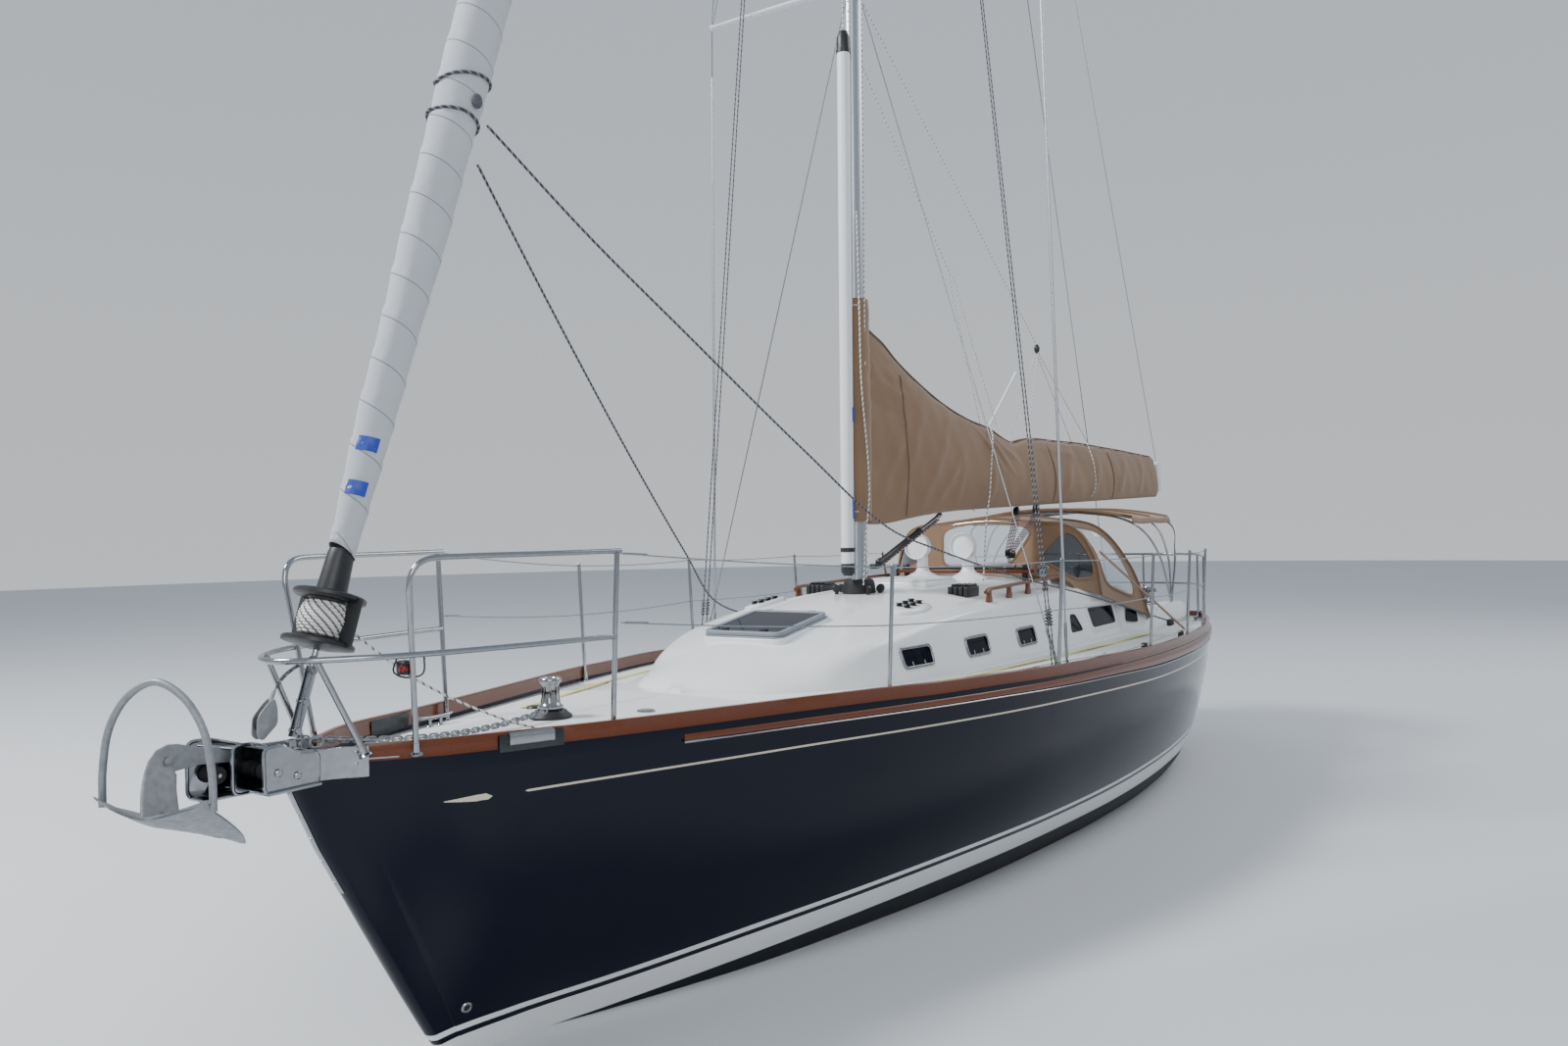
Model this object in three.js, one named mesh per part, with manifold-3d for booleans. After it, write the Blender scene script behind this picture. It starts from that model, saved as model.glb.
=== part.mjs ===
// Cruising sailing yacht, about 11 m long, keel and rudder below, sails stowed.
// Millimetres. +X to the bow, +Y to port, +Z up. X = 0 is amidships.
// Heights in the tables and calls are from the moulding datum. Every finished piece is lifted
// by FLOAT_RISE, so that Z = 0 of the model is the waterline.
import * as THREE from 'three';
import * as BufferGeometryUtils from 'three/addons/utils/BufferGeometryUtils.js';
import Module from 'manifold-3d';

const wasm = await Module();
wasm.setup();

// Driving dimensions.
const FLOAT_RISE = 120;
const LENGTH_OVERALL = 10990;
const HALF_BEAM = 1697;
const DECK_CAMBER = 50;
const STEM_RAKE = 0.5055;
const STEM_TOP_X = 5455;
const STEM_TOP_Z = 1330;
const TRANSOM_LEAN = -0.08;
const HULL_STATIONS = 30;
const FIT_GAP = 0.4;

const RAIL_HEIGHT = 90;
const RAIL_WIDTH = 34;
const RAIL_FRONT_X = 5030;
const RAIL_AFT_X = -5395;

const COCKPIT_FRONT_X = -2450;
const COCKPIT_AFT_X = -4800;
const SEAT_Z = 1000;
const SOLE_Z = 600;
const CABIN_SOLE_Z = -120;
const COMPANIONWAY_HALF = 300;

const MAST_X = 680;
const MAST_FOOT_Z = 1808;
const MAST_TOP_Z = 16500;
const MAST_RAKE = 0.02;
const MAST_CHORD = 166;
const MAST_WIDTH = 104;

const BOOM_PIVOT_X = 520;
const BOOM_LENGTH = 4700;
const BOOM_SWUNG_DEG = 10.7;

// Hull stations: share of length from the bow, deck half breadth as a share of the
// largest, and half breadths at set heights as shares of the deck half breadth.
const HULL_TABLE = {
  columns: ['share', 'deck', 'w75', 'w50', 'w33', 'w20', 'w10', 'w03'],
  rows: [
    [0.00, 0.038, 0.90, 0.78, 0.70, 0.60, 0.50, 0.40],
    [0.05, 0.217, 0.90, 0.76, 0.64, 0.47, 0.33, 0.18],
    [0.10, 0.330, 0.90, 0.78, 0.68, 0.53, 0.39, 0.20],
    [0.20, 0.542, 0.92, 0.83, 0.73, 0.59, 0.43, 0.22],
    [0.30, 0.747, 0.945, 0.86, 0.73, 0.55, 0.38, 0.19],
    [0.40, 0.900, 0.965, 0.875, 0.73, 0.54, 0.365, 0.18],
    [0.50, 0.972, 0.98, 0.89, 0.75, 0.565, 0.385, 0.19],
    [0.60, 1.000, 0.99, 0.905, 0.79, 0.61, 0.42, 0.21],
    [0.70, 0.983, 0.99, 0.92, 0.83, 0.69, 0.48, 0.25],
    [0.80, 0.912, 0.985, 0.93, 0.87, 0.78, 0.63, 0.36],
    [0.90, 0.785, 0.975, 0.92, 0.86, 0.77, 0.63, 0.38],
    [1.00, 0.622, 0.96, 0.89, 0.82, 0.72, 0.58, 0.36],
  ],
};
const LEVELS = [1, 0.75, 0.5, 0.33, 0.2, 0.1, 0.03, 0];

// Bottom of the hull on the centreline: X and Z.
const BOTTOM_TABLE = {
  columns: ['x', 'z'],
  rows: [
    [-5495, 260], [-5000, 100], [-4500, -50], [-4000, -190], [-3000, -420], [-2000, -560],
    [-1000, -630], [0, -650], [1000, -635], [2000, -585], [3000, -500], [3900, -400],
    [4300, -325], [4560, -225], [4817, 8], [5495, 1400],
  ],
};

// Coachroof stations: X, half width at its foot, half width at its shoulder, shoulder and crown Z.
const ROOF_TABLE = {
  columns: ['x', 'foot', 'shoulder', 'shoulderZ', 'crownZ'],
  rows: [
    [2920, 60, 40, 1362, 1372],
    [2750, 420, 330, 1380, 1425],
    [2500, 610, 500, 1420, 1500],
    [2200, 760, 640, 1480, 1590],
    [1800, 880, 740, 1560, 1665],
    [1200, 955, 805, 1635, 1750],
    [680, 985, 830, 1668, 1800],
    [-400, 1010, 850, 1690, 1835],
    [-1400, 1020, 860, 1700, 1850],
    [-2450, 1020, 860, 1700, 1855],
  ],
};
const ROOF_SKIN = 28;

// Cut windows: X of the middle, Z of the middle, length, height.
const WINDOW_TABLE = {
  columns: ['x', 'z', 'length', 'height'],
  rows: [
    [1500, 1446, 340, 125],
    [685, 1442, 340, 125],
    [-180, 1432, 340, 125],
    [-1270, 1448, 270, 140],
    [-1970, 1458, 660, 160],
  ],
};

const STANCHION_X = [2420, 700, -1090, -2400, -3700];
const STANCHION_TOP = 700;
const STANCHION_LEAN = 38;
const PULPIT_TOP = 2205;
const CHAINPLATE_X = 560;

// Winches: X, Y, Z of the seat, drum radius, drum height.
const WINCH_TABLE = {
  columns: ['name', 'x', 'y', 'z', 'radius', 'height'],
  rows: [
    ['primary_winch_port', -3100, 1065, 1481, 85, 170],
    ['primary_winch_starboard', -3100, -1065, 1481, 85, 170],
    ['halyard_winch_port', -1250, 700, 1800, 62, 135],
    ['halyard_winch_starboard', -1250, -700, 1800, 62, 135],
  ],
};

const PAINT = {
  navy: [0x0c1128, 0.15, 0.0],
  gelcoat: [0xeeeee9, 0.35, 0.0],
  teak: [0xa05a2c, 0.45, 0.0],
  steel: [0xc8ccd0, 0.15, 1.0],
  alloy: [0xb9bdc2, 0.35, 0.9],
  iron: [0x2a3138, 0.6, 0.2],
  canvas: [0xb08a63, 0.9, 0.0],
  cloth: [0xb9bcc2, 0.85, 0.0],
  black: [0x17181a, 0.5, 0.0],
  galvanised: [0x8b8f93, 0.55, 0.8],
  bronze: [0x9a7440, 0.35, 1.0],
  wire: [0xa9adb2, 0.3, 1.0],
  smoked: [0x20262e, 0.1, 0.0],
};

const group = new THREE.Group();
group.name = 'sailing_yacht';

function table({ columns, rows }) {
  return rows.map((row) => Object.fromEntries(columns.map((c, i) => [c, row[i]])));
}

// Smooth curve through the rows of a table, read by its first column.
function curveOf({ columns, rows }) {
  const order = [...rows].sort((a, b) => a[0] - b[0]);
  const at = new Float32Array(order.map((r) => r[0]));
  const width = columns.length - 1;
  const values = new Float32Array(order.flatMap((r) => r.slice(1)));
  const spline = new THREE.CubicInterpolant(at, values, width, new Float32Array(width));
  return (t) => {
    const clamped = Math.min(Math.max(t, at[0]), at[at.length - 1]);
    const result = spline.evaluate(clamped);
    return Object.fromEntries(columns.slice(1).map((c, i) => [c, result[i]]));
  };
}

const hullCurve = curveOf(HULL_TABLE);
const bottomCurve = curveOf(BOTTOM_TABLE);
const roofCurve = curveOf(ROOF_TABLE);

function shareAt(x) {
  return (LENGTH_OVERALL / 2 - x) / LENGTH_OVERALL;
}

function sheerZ(x) {
  const s = Math.min(Math.max(shareAt(x), 0), 1);
  return 1329 - 165 * s + 23 * s * s;
}

function deckHalf(x) {
  return HALF_BEAM * hullCurve(shareAt(x)).deck;
}

function deckZ(x, y) {
  const half = Math.max(deckHalf(x), 1);
  const k = Math.min(Math.abs(y) / half, 1);
  return sheerZ(x) + DECK_CAMBER * Math.min(half / 900, 1) * (1 - k * k);
}

// Closed body from rings of equal length, each a list of points.
function loft(rings) {
  const n = rings[0].length;
  const flat = rings.flat().flat();
  const index = [];
  for (let i = 0; i + 1 < rings.length; i += 1) {
    for (let j = 0; j < n; j += 1) {
      const a = i * n + j;
      const b = i * n + ((j + 1) % n);
      index.push(a, b, a + n, b, b + n, a + n);
    }
  }
  const cap = (start, flip) => {
    for (let j = 1; j + 1 < n; j += 1) {
      index.push(start, flip ? start + j : start + j + 1, flip ? start + j + 1 : start + j);
    }
  };
  cap(0, false);
  cap((rings.length - 1) * n, true);
  const geometry = new THREE.BufferGeometry();
  geometry.setAttribute('position', new THREE.Float32BufferAttribute(flat, 3));
  geometry.setIndex(index);
  return geometry;
}

function toManifold(geometry) {
  const bare = geometry.clone();
  bare.deleteAttribute('normal');
  bare.deleteAttribute('uv');
  const merged = BufferGeometryUtils.mergeVertices(bare, 1e-3);
  const positions = new Float32Array(merged.getAttribute('position').array);
  const kept = [];
  const source = merged.getIndex().array;
  for (let i = 0; i < source.length; i += 3) {
    const [a, b, c] = [source[i], source[i + 1], source[i + 2]];
    if (a !== b && b !== c && a !== c) {
      kept.push(a, b, c);
    }
  }
  const mesh = new wasm.Mesh({ numProp: 3, vertProperties: positions, triVerts: new Uint32Array(kept) });
  const body = new wasm.Manifold(mesh);
  return body.volume() < 0 ? turned(positions, kept) : body;
}

function turned(positions, triangles) {
  const flipped = [];
  for (let i = 0; i < triangles.length; i += 3) {
    flipped.push(triangles[i], triangles[i + 2], triangles[i + 1]);
  }
  const mesh = new wasm.Mesh({ numProp: 3, vertProperties: positions, triVerts: new Uint32Array(flipped) });
  return new wasm.Manifold(mesh);
}

function join(...pieces) {
  return pieces.flat().map((p) => (p.isBufferGeometry ? toManifold(p) : p)).reduce((a, b) => a.add(b));
}

function cut(body, ...tools) {
  let result = body.isBufferGeometry ? toManifold(body) : body;
  for (const tool of tools.flat()) {
    result = result.subtract(tool.isBufferGeometry ? toManifold(tool) : tool);
  }
  return result;
}

function piece(name, body, paint) {
  const solid = body.isBufferGeometry ? toManifold(body) : body;
  const mesh = solid.getMesh();
  const geometry = new THREE.BufferGeometry();
  geometry.setAttribute('position', new THREE.Float32BufferAttribute(mesh.vertProperties, 3));
  geometry.setIndex([...mesh.triVerts]);
  geometry.translate(0, 0, FLOAT_RISE);
  geometry.computeVertexNormals();
  const [color, roughness, metalness] = PAINT[paint];
  const material = new THREE.MeshStandardMaterial({ color, roughness, metalness });
  const result = new THREE.Mesh(geometry, material);
  result.name = name;
  group.add(result);
  return solid;
}

function box(x0, x1, y0, y1, z0, z1) {
  const geometry = new THREE.BoxGeometry(x1 - x0, y1 - y0, z1 - z0);
  geometry.translate((x0 + x1) / 2, (y0 + y1) / 2, (z0 + z1) / 2);
  return geometry;
}

// Round bar from a to b, radii at each end.
function bar(a, b, r, rEnd = r, sides = 8) {
  const from = new THREE.Vector3(...a);
  const to = new THREE.Vector3(...b);
  const along = to.clone().sub(from);
  const geometry = new THREE.CylinderGeometry(rEnd, r, along.length(), sides);
  geometry.translate(0, along.length() / 2, 0);
  const turn = new THREE.Quaternion().setFromUnitVectors(new THREE.Vector3(0, 1, 0), along.normalize());
  geometry.applyQuaternion(turn);
  geometry.translate(...a);
  return geometry;
}

// Bent tube through points, bends rounded.
function tube(points, r, steps = 16, sides = 6) {
  const path = new THREE.CatmullRomCurve3(points.map((p) => new THREE.Vector3(...p)), false, 'centripetal');
  const circle = new THREE.Shape();
  for (let i = 0; i < sides; i += 1) {
    const angle = (2 * Math.PI * i) / sides;
    const [u, v] = [r * Math.cos(angle), r * Math.sin(angle)];
    if (i === 0) {
      circle.moveTo(u, v);
    } else {
      circle.lineTo(u, v);
    }
  }
  circle.closePath();
  return new THREE.ExtrudeGeometry(circle, { steps, extrudePath: path, bevelEnabled: false });
}

function drum(x, y, z0, profile, sides = 20) {
  const points = profile.map(([r, z]) => new THREE.Vector2(r, z));
  const geometry = new THREE.LatheGeometry(points, sides);
  geometry.rotateX(Math.PI / 2);
  geometry.translate(x, y, z0);
  return geometry;
}

// The main body left when a piece has been trimmed by its neighbours.
function largest(body) {
  return body.decompose().reduce((a, b) => (b.volume() > a.volume() ? b : a));
}

function mirrored(body) {
  const solid = body.isBufferGeometry ? toManifold(body) : body;
  return solid.mirror([0, 1, 0]);
}

// Hull and deck, one moulding, with the cabin space and the cockpit well let in.
function hullRing(x) {
  const bow = Math.min(Math.max((x - 1500) / 3500, 0), 1);
  const row = hullCurve(shareAt(x));
  const top = sheerZ(x);
  const lean = STEM_RAKE * bow * bow;
  const aft = Math.min(Math.max((-3500 - x) / 2000, 0), 1);
  const shift = (z) => -lean * (STEM_TOP_Z - z) + TRANSOM_LEAN * aft * (top - z);
  let keel = bottomCurve(x).z;
  if (bow > 0) {
    for (let i = 0; i < 8; i += 1) {
      keel = bottomCurve(x + shift(keel)).z;
    }
  }
  keel = Math.min(keel, top - 60);
  const half = HALF_BEAM * row.deck;
  const shares = [1, row.w75, row.w50, row.w33, row.w20, row.w10, row.w03, 0];
  const side = LEVELS.map((level, i) => {
    const z = keel + (top - keel) * level;
    return [x + shift(z), Math.max(half * shares[i], 0), z];
  });
  const port = side.slice(0, -1);
  const centreBottom = [side[7][0], 0, side[7][2]];
  const crown = DECK_CAMBER * Math.min(half / 900, 1);
  const deckPort = [0.66, 0.33].map((k) => [x, half * k, top + crown * (1 - k * k)]);
  const deckStarboard = [0.33, 0.66].map((k) => [x, -half * k, top + crown * (1 - k * k)]);
  const starboard = port.map(([px, py, pz]) => [px, -py, pz]).reverse();
  const deckCentre = [x, 0, top + crown];
  return [
    deckCentre, ...deckPort.reverse(), ...port, centreBottom, ...starboard, ...deckStarboard.reverse(),
  ];
}

function hullBody() {
  const rings = [];
  for (let i = 0; i <= HULL_STATIONS; i += 1) {
    const t = i / HULL_STATIONS;
    const eased = t < 0.25 ? t * (0.55 + 1.8 * t) : t;
    rings.push(hullRing(LENGTH_OVERALL / 2 - 40 - eased * (LENGTH_OVERALL - 100)));
  }
  return toManifold(loft(rings));
}

const well = [
  box(COCKPIT_AFT_X, COCKPIT_FRONT_X, -900, 900, SEAT_Z, 2000),
  box(COCKPIT_AFT_X, -2850, -350, 350, SOLE_Z, 2000),
  box(COCKPIT_AFT_X, -3800, -760, 760, SOLE_Z, 2000),
];
const cabinSpace = box(-2330, 1700, -700, 700, CABIN_SOLE_Z, 2000);
const bulkheadWay = box(-2500, -2300, -COMPANIONWAY_HALF, COMPANIONWAY_HALF, SEAT_Z, 2000);
const fullHull = hullBody();
const RUDDER_X = -4250;
const RUDDER_TOP = -190;
const rudderBoss = bar([RUDDER_X, 0, RUDDER_TOP], [RUDDER_X, 0, 60], 50, 50, 16);
const hull = cut(join(fullHull, rudderBoss), well, cabinSpace, bulkheadWay);
piece('hull', hull, 'navy');
const cutter = fullHull.translate([0, 0, FIT_GAP]);

// Toe rail: runs round the deck edge and across the stern.
function railSection(x, side, z0, z1) {
  const half = deckHalf(x);
  const base = sheerZ(x);
  const outer = half - 13;
  const inner = outer - RAIL_WIDTH;
  const ring = [[x, outer, base + z0], [x, outer, base + z1], [x, inner, base + z1], [x, inner, base + z0]];
  return side > 0 ? ring : ring.map(([px, py, pz]) => [px, -py, pz]).reverse();
}

function toeRail() {
  const runs = [1, -1].map((side) => {
    const rings = [];
    for (let i = 0; i <= 26; i += 1) {
      rings.push(railSection(RAIL_FRONT_X + ((RAIL_AFT_X - RAIL_FRONT_X) * i) / 26, side, -8, RAIL_HEIGHT));
    }
    return toManifold(loft(rings));
  });
  const half = deckHalf(RAIL_AFT_X) - 20;
  const z = sheerZ(RAIL_AFT_X);
  return join(runs, box(RAIL_AFT_X, RAIL_AFT_X + RAIL_WIDTH, -half, half, z - 8, z + RAIL_HEIGHT));
}
const rail = cut(toeRail(), cutter);
piece('toe_rail', rail, 'teak');
const FOUR_WAYS = [[0, 1], [0, -1], [1, 0], [-1, 0]];
const railCutter = join(FOUR_WAYS.map(([x, y]) => rail.translate([x * FIT_GAP, y * FIT_GAP, 0])));

// Coachroof and cockpit coamings, hollow over the cabin.
function roofRing(x, inset) {
  const row = roofCurve(x);
  const foot = Math.max(row.foot - inset, 12);
  const shoulder = Math.max(row.shoulder - inset, 8);
  const shoulderZ = row.shoulderZ - inset;
  const crownZ = row.crownZ - inset;
  const low = inset > 0 ? 900 : 1120;
  const rise = crownZ - shoulderZ;
  const half = [
    [x, foot, low],
    [x, foot, sheerZ(x) + 40],
    [x, shoulder + (foot - shoulder) * 0.45, shoulderZ - rise * 0.55],
    [x, shoulder, shoulderZ],
    [x, shoulder * 0.82, shoulderZ + rise * 0.42],
    [x, shoulder * 0.55, shoulderZ + rise * 0.74],
  ];
  const centre = [x, 0, crownZ];
  return [...half, centre, ...half.map(([px, py, pz]) => [px, -py, pz]).reverse()];
}

function roofBody(inset, x0, x1) {
  const stations = table(ROOF_TABLE).map((r) => r.x).filter((x) => x <= x0 && x >= x1);
  const rings = [];
  const all = [x0, ...stations, x1].filter((x, i, list) => i === 0 || list[i - 1] - x > 30);
  for (let i = 0; i + 1 < all.length; i += 1) {
    rings.push(roofRing(all[i], inset), roofRing((all[i] + all[i + 1]) / 2, inset));
  }
  rings.push(roofRing(all[all.length - 1], inset));
  return toManifold(loft(rings));
}

function coaming(side) {
  const rows = [
    [-2440, 905, 1020, 1700],
    [-2700, 905, 1060, 1560],
    [-3000, 905, 1140, 1480],
    [-3900, 905, 1100, 1450],
    [-4600, 905, 1040, 1400],
    [-4950, 905, 980, 1290],
  ];
  const rings = rows.map(([x, inner, outer, top]) => [
    [x, inner, 1120], [x, outer + 20, 1120], [x, outer, top - 20], [x, outer - 20, top], [x, inner, top],
  ]);
  const body = toManifold(loft(rings));
  return side > 0 ? body : mirrored(body);
}

const houseShell = cut(
  roofBody(0, 2920, -2450),
  roofBody(ROOF_SKIN, 2700, -2422),
  box(-2500, -2300, -COMPANIONWAY_HALF, COMPANIONWAY_HALF, SEAT_Z, 2000),
  box(-2420, -1900, -COMPANIONWAY_HALF + 20, COMPANIONWAY_HALF - 20, 1700, 2000),
  box(1660, 2200, -270, 270, 1300, 2000),
  table(WINDOW_TABLE).map((w) => box(
    w.x - w.length / 2, w.x + w.length / 2, -1300, 1300, w.z - w.height / 2, w.z + w.height / 2,
  )),
);
const RUNNER_TOP = 1862;
const runners = [322, -322].map((y) => box(-2445, -1440, y - 12, y + 12, 1790, RUNNER_TOP));
const winchPads = table(WINCH_TABLE).map((w) => {
  const radius = w.radius + 8;
  return bar([w.x, w.y, w.z - 70], [w.x, w.y, w.z - FIT_GAP], radius, radius, 20);
});
const sternCoaming = box(-4950, -4820, -930, 930, 1120, 1330);
const coamings = [coaming(1), coaming(-1)];
const house = cut(join(houseShell, coamings, sternCoaming, runners, winchPads), cutter, well);
piece('coachroof', house, 'gelcoat');
const solidHouse = join(roofBody(0, 2920, -2450), coamings, winchPads, runners);
const houseCutter = solidHouse.translate([0, 0, FIT_GAP]);

// Foredeck hatch: frame fixed to the coachroof, lid hinged on its front edge.
const HATCH = { x: 1930, z: 1637, slope: 0.155 };
function onHatchSlope(body) {
  const tilt = (Math.atan(HATCH.slope) * 180) / Math.PI;
  return toManifold(body).rotate([0, tilt, 0]).translate([HATCH.x, 0, HATCH.z]);
}
const hatchFrame = cut(
  onHatchSlope(box(-320, 320, -315, 315, -35, 22)),
  onHatchSlope(box(-262, 262, -258, 258, -80, 80)),
);
piece('hatch_frame', cut(hatchFrame, houseCutter), 'alloy');
piece('hatch_lid', onHatchSlope(box(-305, 305, -300, 300, 22 + FIT_GAP, 48)), 'smoked');

// Companionway slide and washboard.
piece('companion_slide', box(-2450, -1870, -340, 340, RUNNER_TOP + FIT_GAP, RUNNER_TOP + 30), 'gelcoat');
piece('washboard', box(-2470, COCKPIT_FRONT_X - FIT_GAP, -310, 310, SEAT_Z + FIT_GAP, 1840), 'teak');

// Keel and rudder.
function foil(rows) {
  const rings = rows.map(([z, front, back, thick]) => {
    const chord = front - back;
    const shape = [[0, 0], [0.06, 0.55], [0.2, 0.92], [0.4, 1], [0.7, 0.62], [1, 0.04]];
    const port = shape.map(([u, v]) => [front - u * chord, (v * thick) / 2, z]);
    const starboard = shape.slice(1).map(([u, v]) => [front - u * chord, (-v * thick) / 2, z]).reverse();
    return [...port, ...starboard];
  });
  return toManifold(loft(rings));
}
const fin = foil([[-420, 1180, -780, 190], [-800, 1000, -780, 180], [-1560, 700, -760, 150]]);
const BULB_TABLE = {
  columns: ['x', 'w', 'h'],
  rows: [
    [1150, 20, 15], [1050, 90, 60], [800, 150, 105], [300, 185, 130],
    [-300, 170, 115], [-800, 95, 62], [-1180, 15, 12],
  ],
};
const bulbRings = table(BULB_TABLE).map(({ x, w, h }) => {
  const ring = [];
  for (let i = 0; i < 12; i += 1) {
    const a = (2 * Math.PI * i) / 12;
    ring.push([x, w * Math.cos(a), -1650 + h * Math.sin(a)]);
  }
  return ring;
});
const keel = cut(join(fin, toManifold(loft(bulbRings))), fullHull.translate([0, 0, -FIT_GAP]));
piece('keel', keel, 'iron');

const blade = foil([[-240, -4110, -4720, 85], [-700, -4130, -4700, 75], [-1420, -4170, -4600, 50]]);
const stock = bar([RUDDER_X, 0, -400], [RUDDER_X, 0, RUDDER_TOP - FIT_GAP], 34, 34, 16);
piece('rudder', join(cut(blade, fullHull.translate([0, 0, -14])), stock), 'navy');

// Shaft and its strut, propeller, engine.
const SHAFT = { from: [-2500, 0, -330], to: [-3450, 0, -640] };
const shaftDir = new THREE.Vector3(...SHAFT.to).sub(new THREE.Vector3(...SHAFT.from)).normalize();
const along = (d) => new THREE.Vector3(...SHAFT.to).addScaledVector(shaftDir, d).toArray();
const strut = join(
  bar(SHAFT.from, along(0), 15, 15, 12),
  bar(along(-170), along(-20), 36, 36, 16),
  box(-3420, -3300, -9, 9, -620, -200),
);
piece('shaft_and_strut', cut(strut, fullHull.translate([0, 0, -FIT_GAP])), 'bronze');

function propeller() {
  const hub = bar([0, 0, FIT_GAP], [0, 0, 95], 34, 22, 16);
  const blades = [0, 1, 2].map((i) => {
    const shape = box(-6, 6, 15, 215, 15, 75);
    shape.rotateY(0.55);
    shape.translate(0, 0, 25);
    shape.rotateZ((2 * Math.PI * i) / 3);
    return shape;
  });
  const body = join(hub, blades);
  const angle = (Math.atan2(-shaftDir.x, -shaftDir.z) * 180) / Math.PI;
  return body.rotate([0, 180 + angle, 0]).translate(along(0));
}
piece('propeller', propeller(), 'bronze');
piece('engine', box(-1900, -1150, -260, 260, CABIN_SOLE_Z + FIT_GAP, 420), 'iron');

const GOOSENECK_LOW = 2398;
const GOOSENECK_HIGH = 2505;

// Mast with two pairs of swept spreaders and the masthead crane.
const mastX = (z) => MAST_X - (z - MAST_FOOT_Z) * MAST_RAKE;
function mastRing(z, scale) {
  const [halfChord, halfWidth] = [(MAST_CHORD / 2) * scale, (MAST_WIDTH / 2) * scale];
  const ring = [];
  for (let i = 0; i < 14; i += 1) {
    const a = (2 * Math.PI * i) / 14;
    ring.push([mastX(z) + halfChord * Math.cos(a), halfWidth * Math.sin(a), z]);
  }
  return ring;
}
const SPREADERS = table({
  columns: ['z', 'half', 'sweep'],
  rows: [[6350, 1200, 60], [11200, 980, 50]],
});
const spreaderBodies = SPREADERS.flatMap(({ z, half, sweep }) => [1, -1].map((side) => bar(
  [mastX(z), 0, z], [mastX(z) - sweep, side * half, z + 60], 26, 16, 8,
)));
const gooseneckLugs = [GOOSENECK_LOW - 20 - FIT_GAP, GOOSENECK_HIGH + FIT_GAP].map(
  (z) => box(BOOM_PIVOT_X - 18, MAST_X - 40, -18, 18, z, z + 20),
);
const headX = mastX(MAST_TOP_Z);
const mast = cut(join(
  loft([mastRing(MAST_FOOT_Z - 20, 1), mastRing(14500, 1), mastRing(MAST_TOP_Z, 0.72)]),
  spreaderBodies,
  gooseneckLugs,
  box(headX - 160, headX + 130, -22, 22, MAST_TOP_Z - 60, MAST_TOP_Z + 20),
), houseCutter);
piece('mast', mast, 'alloy');
const collar = cut(
  bar([MAST_X, 0, MAST_FOOT_Z - 60], [MAST_X, 0, MAST_FOOT_Z + 90], 125, 105, 18),
  loft([mastRing(MAST_FOOT_Z - 200, 1.01), mastRing(2200, 1.01)]),
  houseCutter,
);
piece('mast_collar', collar, 'black');

// Standing rigging with the turnbuckles at the foot.
function stay(points, r = 4, foot = 260) {
  const runs = [];
  for (let i = 0; i + 1 < points.length; i += 1) {
    runs.push(bar(points[i], points[i + 1], r, r, 6));
    if (i > 0) {
      const ball = new THREE.IcosahedronGeometry(r * 1.6, 0);
      ball.translate(...points[i]);
      runs.push(ball);
    }
  }
  const a = new THREE.Vector3(...points[0]);
  const dir = new THREE.Vector3(...points[1]).sub(a).normalize();
  const low = a.clone().addScaledVector(dir, 60).toArray();
  const high = a.clone().addScaledVector(dir, foot).toArray();
  return join(runs, bar(low, high, 11, 11, 8));
}

function shrouds(side) {
  const y = side * (deckHalf(CHAINPLATE_X) - 95);
  const z = deckZ(CHAINPLATE_X, y) - 10;
  const tips = SPREADERS.map(({ z: sz, half, sweep }) => [mastX(sz) - sweep, side * (half + 6), sz + 62]);
  const head = [mastX(MAST_TOP_Z) - 20, side * 30, MAST_TOP_Z - 20];
  const lowerTop = [mastX(6250) + 20, side * 60, 6250];
  return join(
    box(CHAINPLATE_X - 150, CHAINPLATE_X + 90, y - 14, y + 14, z, z + 40),
    stay([[CHAINPLATE_X + 50, y, z + 30], ...tips, head], 5, 330),
    stay([[CHAINPLATE_X - 110, y, z + 30], lowerTop], 4.5, 300),
    stay([tips[0], [mastX(11100), side * 60, 11100]], 4, 120),
  );
}
for (const [name, side] of [['shrouds_port', 1], ['shrouds_starboard', -1]]) {
  piece(name, cut(shrouds(side), mast, cutter), 'wire');
}
const sternZ = deckZ(-5300, 0);
piece('backstay', cut(join(
  box(-5340, -5240, -12, 12, sternZ - 20, sternZ + 60),
  stay([[-5290, 0, sternZ + 50], [mastX(MAST_TOP_Z) - 145, 0, MAST_TOP_Z - 40]], 5, 420),
), box(-500, 500, -100, 100, MAST_TOP_Z - 60 - FIT_GAP, MAST_TOP_Z + 100), cutter), 'wire');

// Bow fitting with twin anchor rollers, forestay, furler and furled genoa.
const FORESTAY_FOOT = new THREE.Vector3(5440, 0, 1480);
const FORESTAY_HEAD = new THREE.Vector3(mastX(MAST_TOP_Z) + 110, 0, MAST_TOP_Z);
const stayDir = FORESTAY_HEAD.clone().sub(FORESTAY_FOOT).normalize();
const onStay = (d) => FORESTAY_FOOT.clone().addScaledVector(stayDir, d).toArray();

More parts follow.
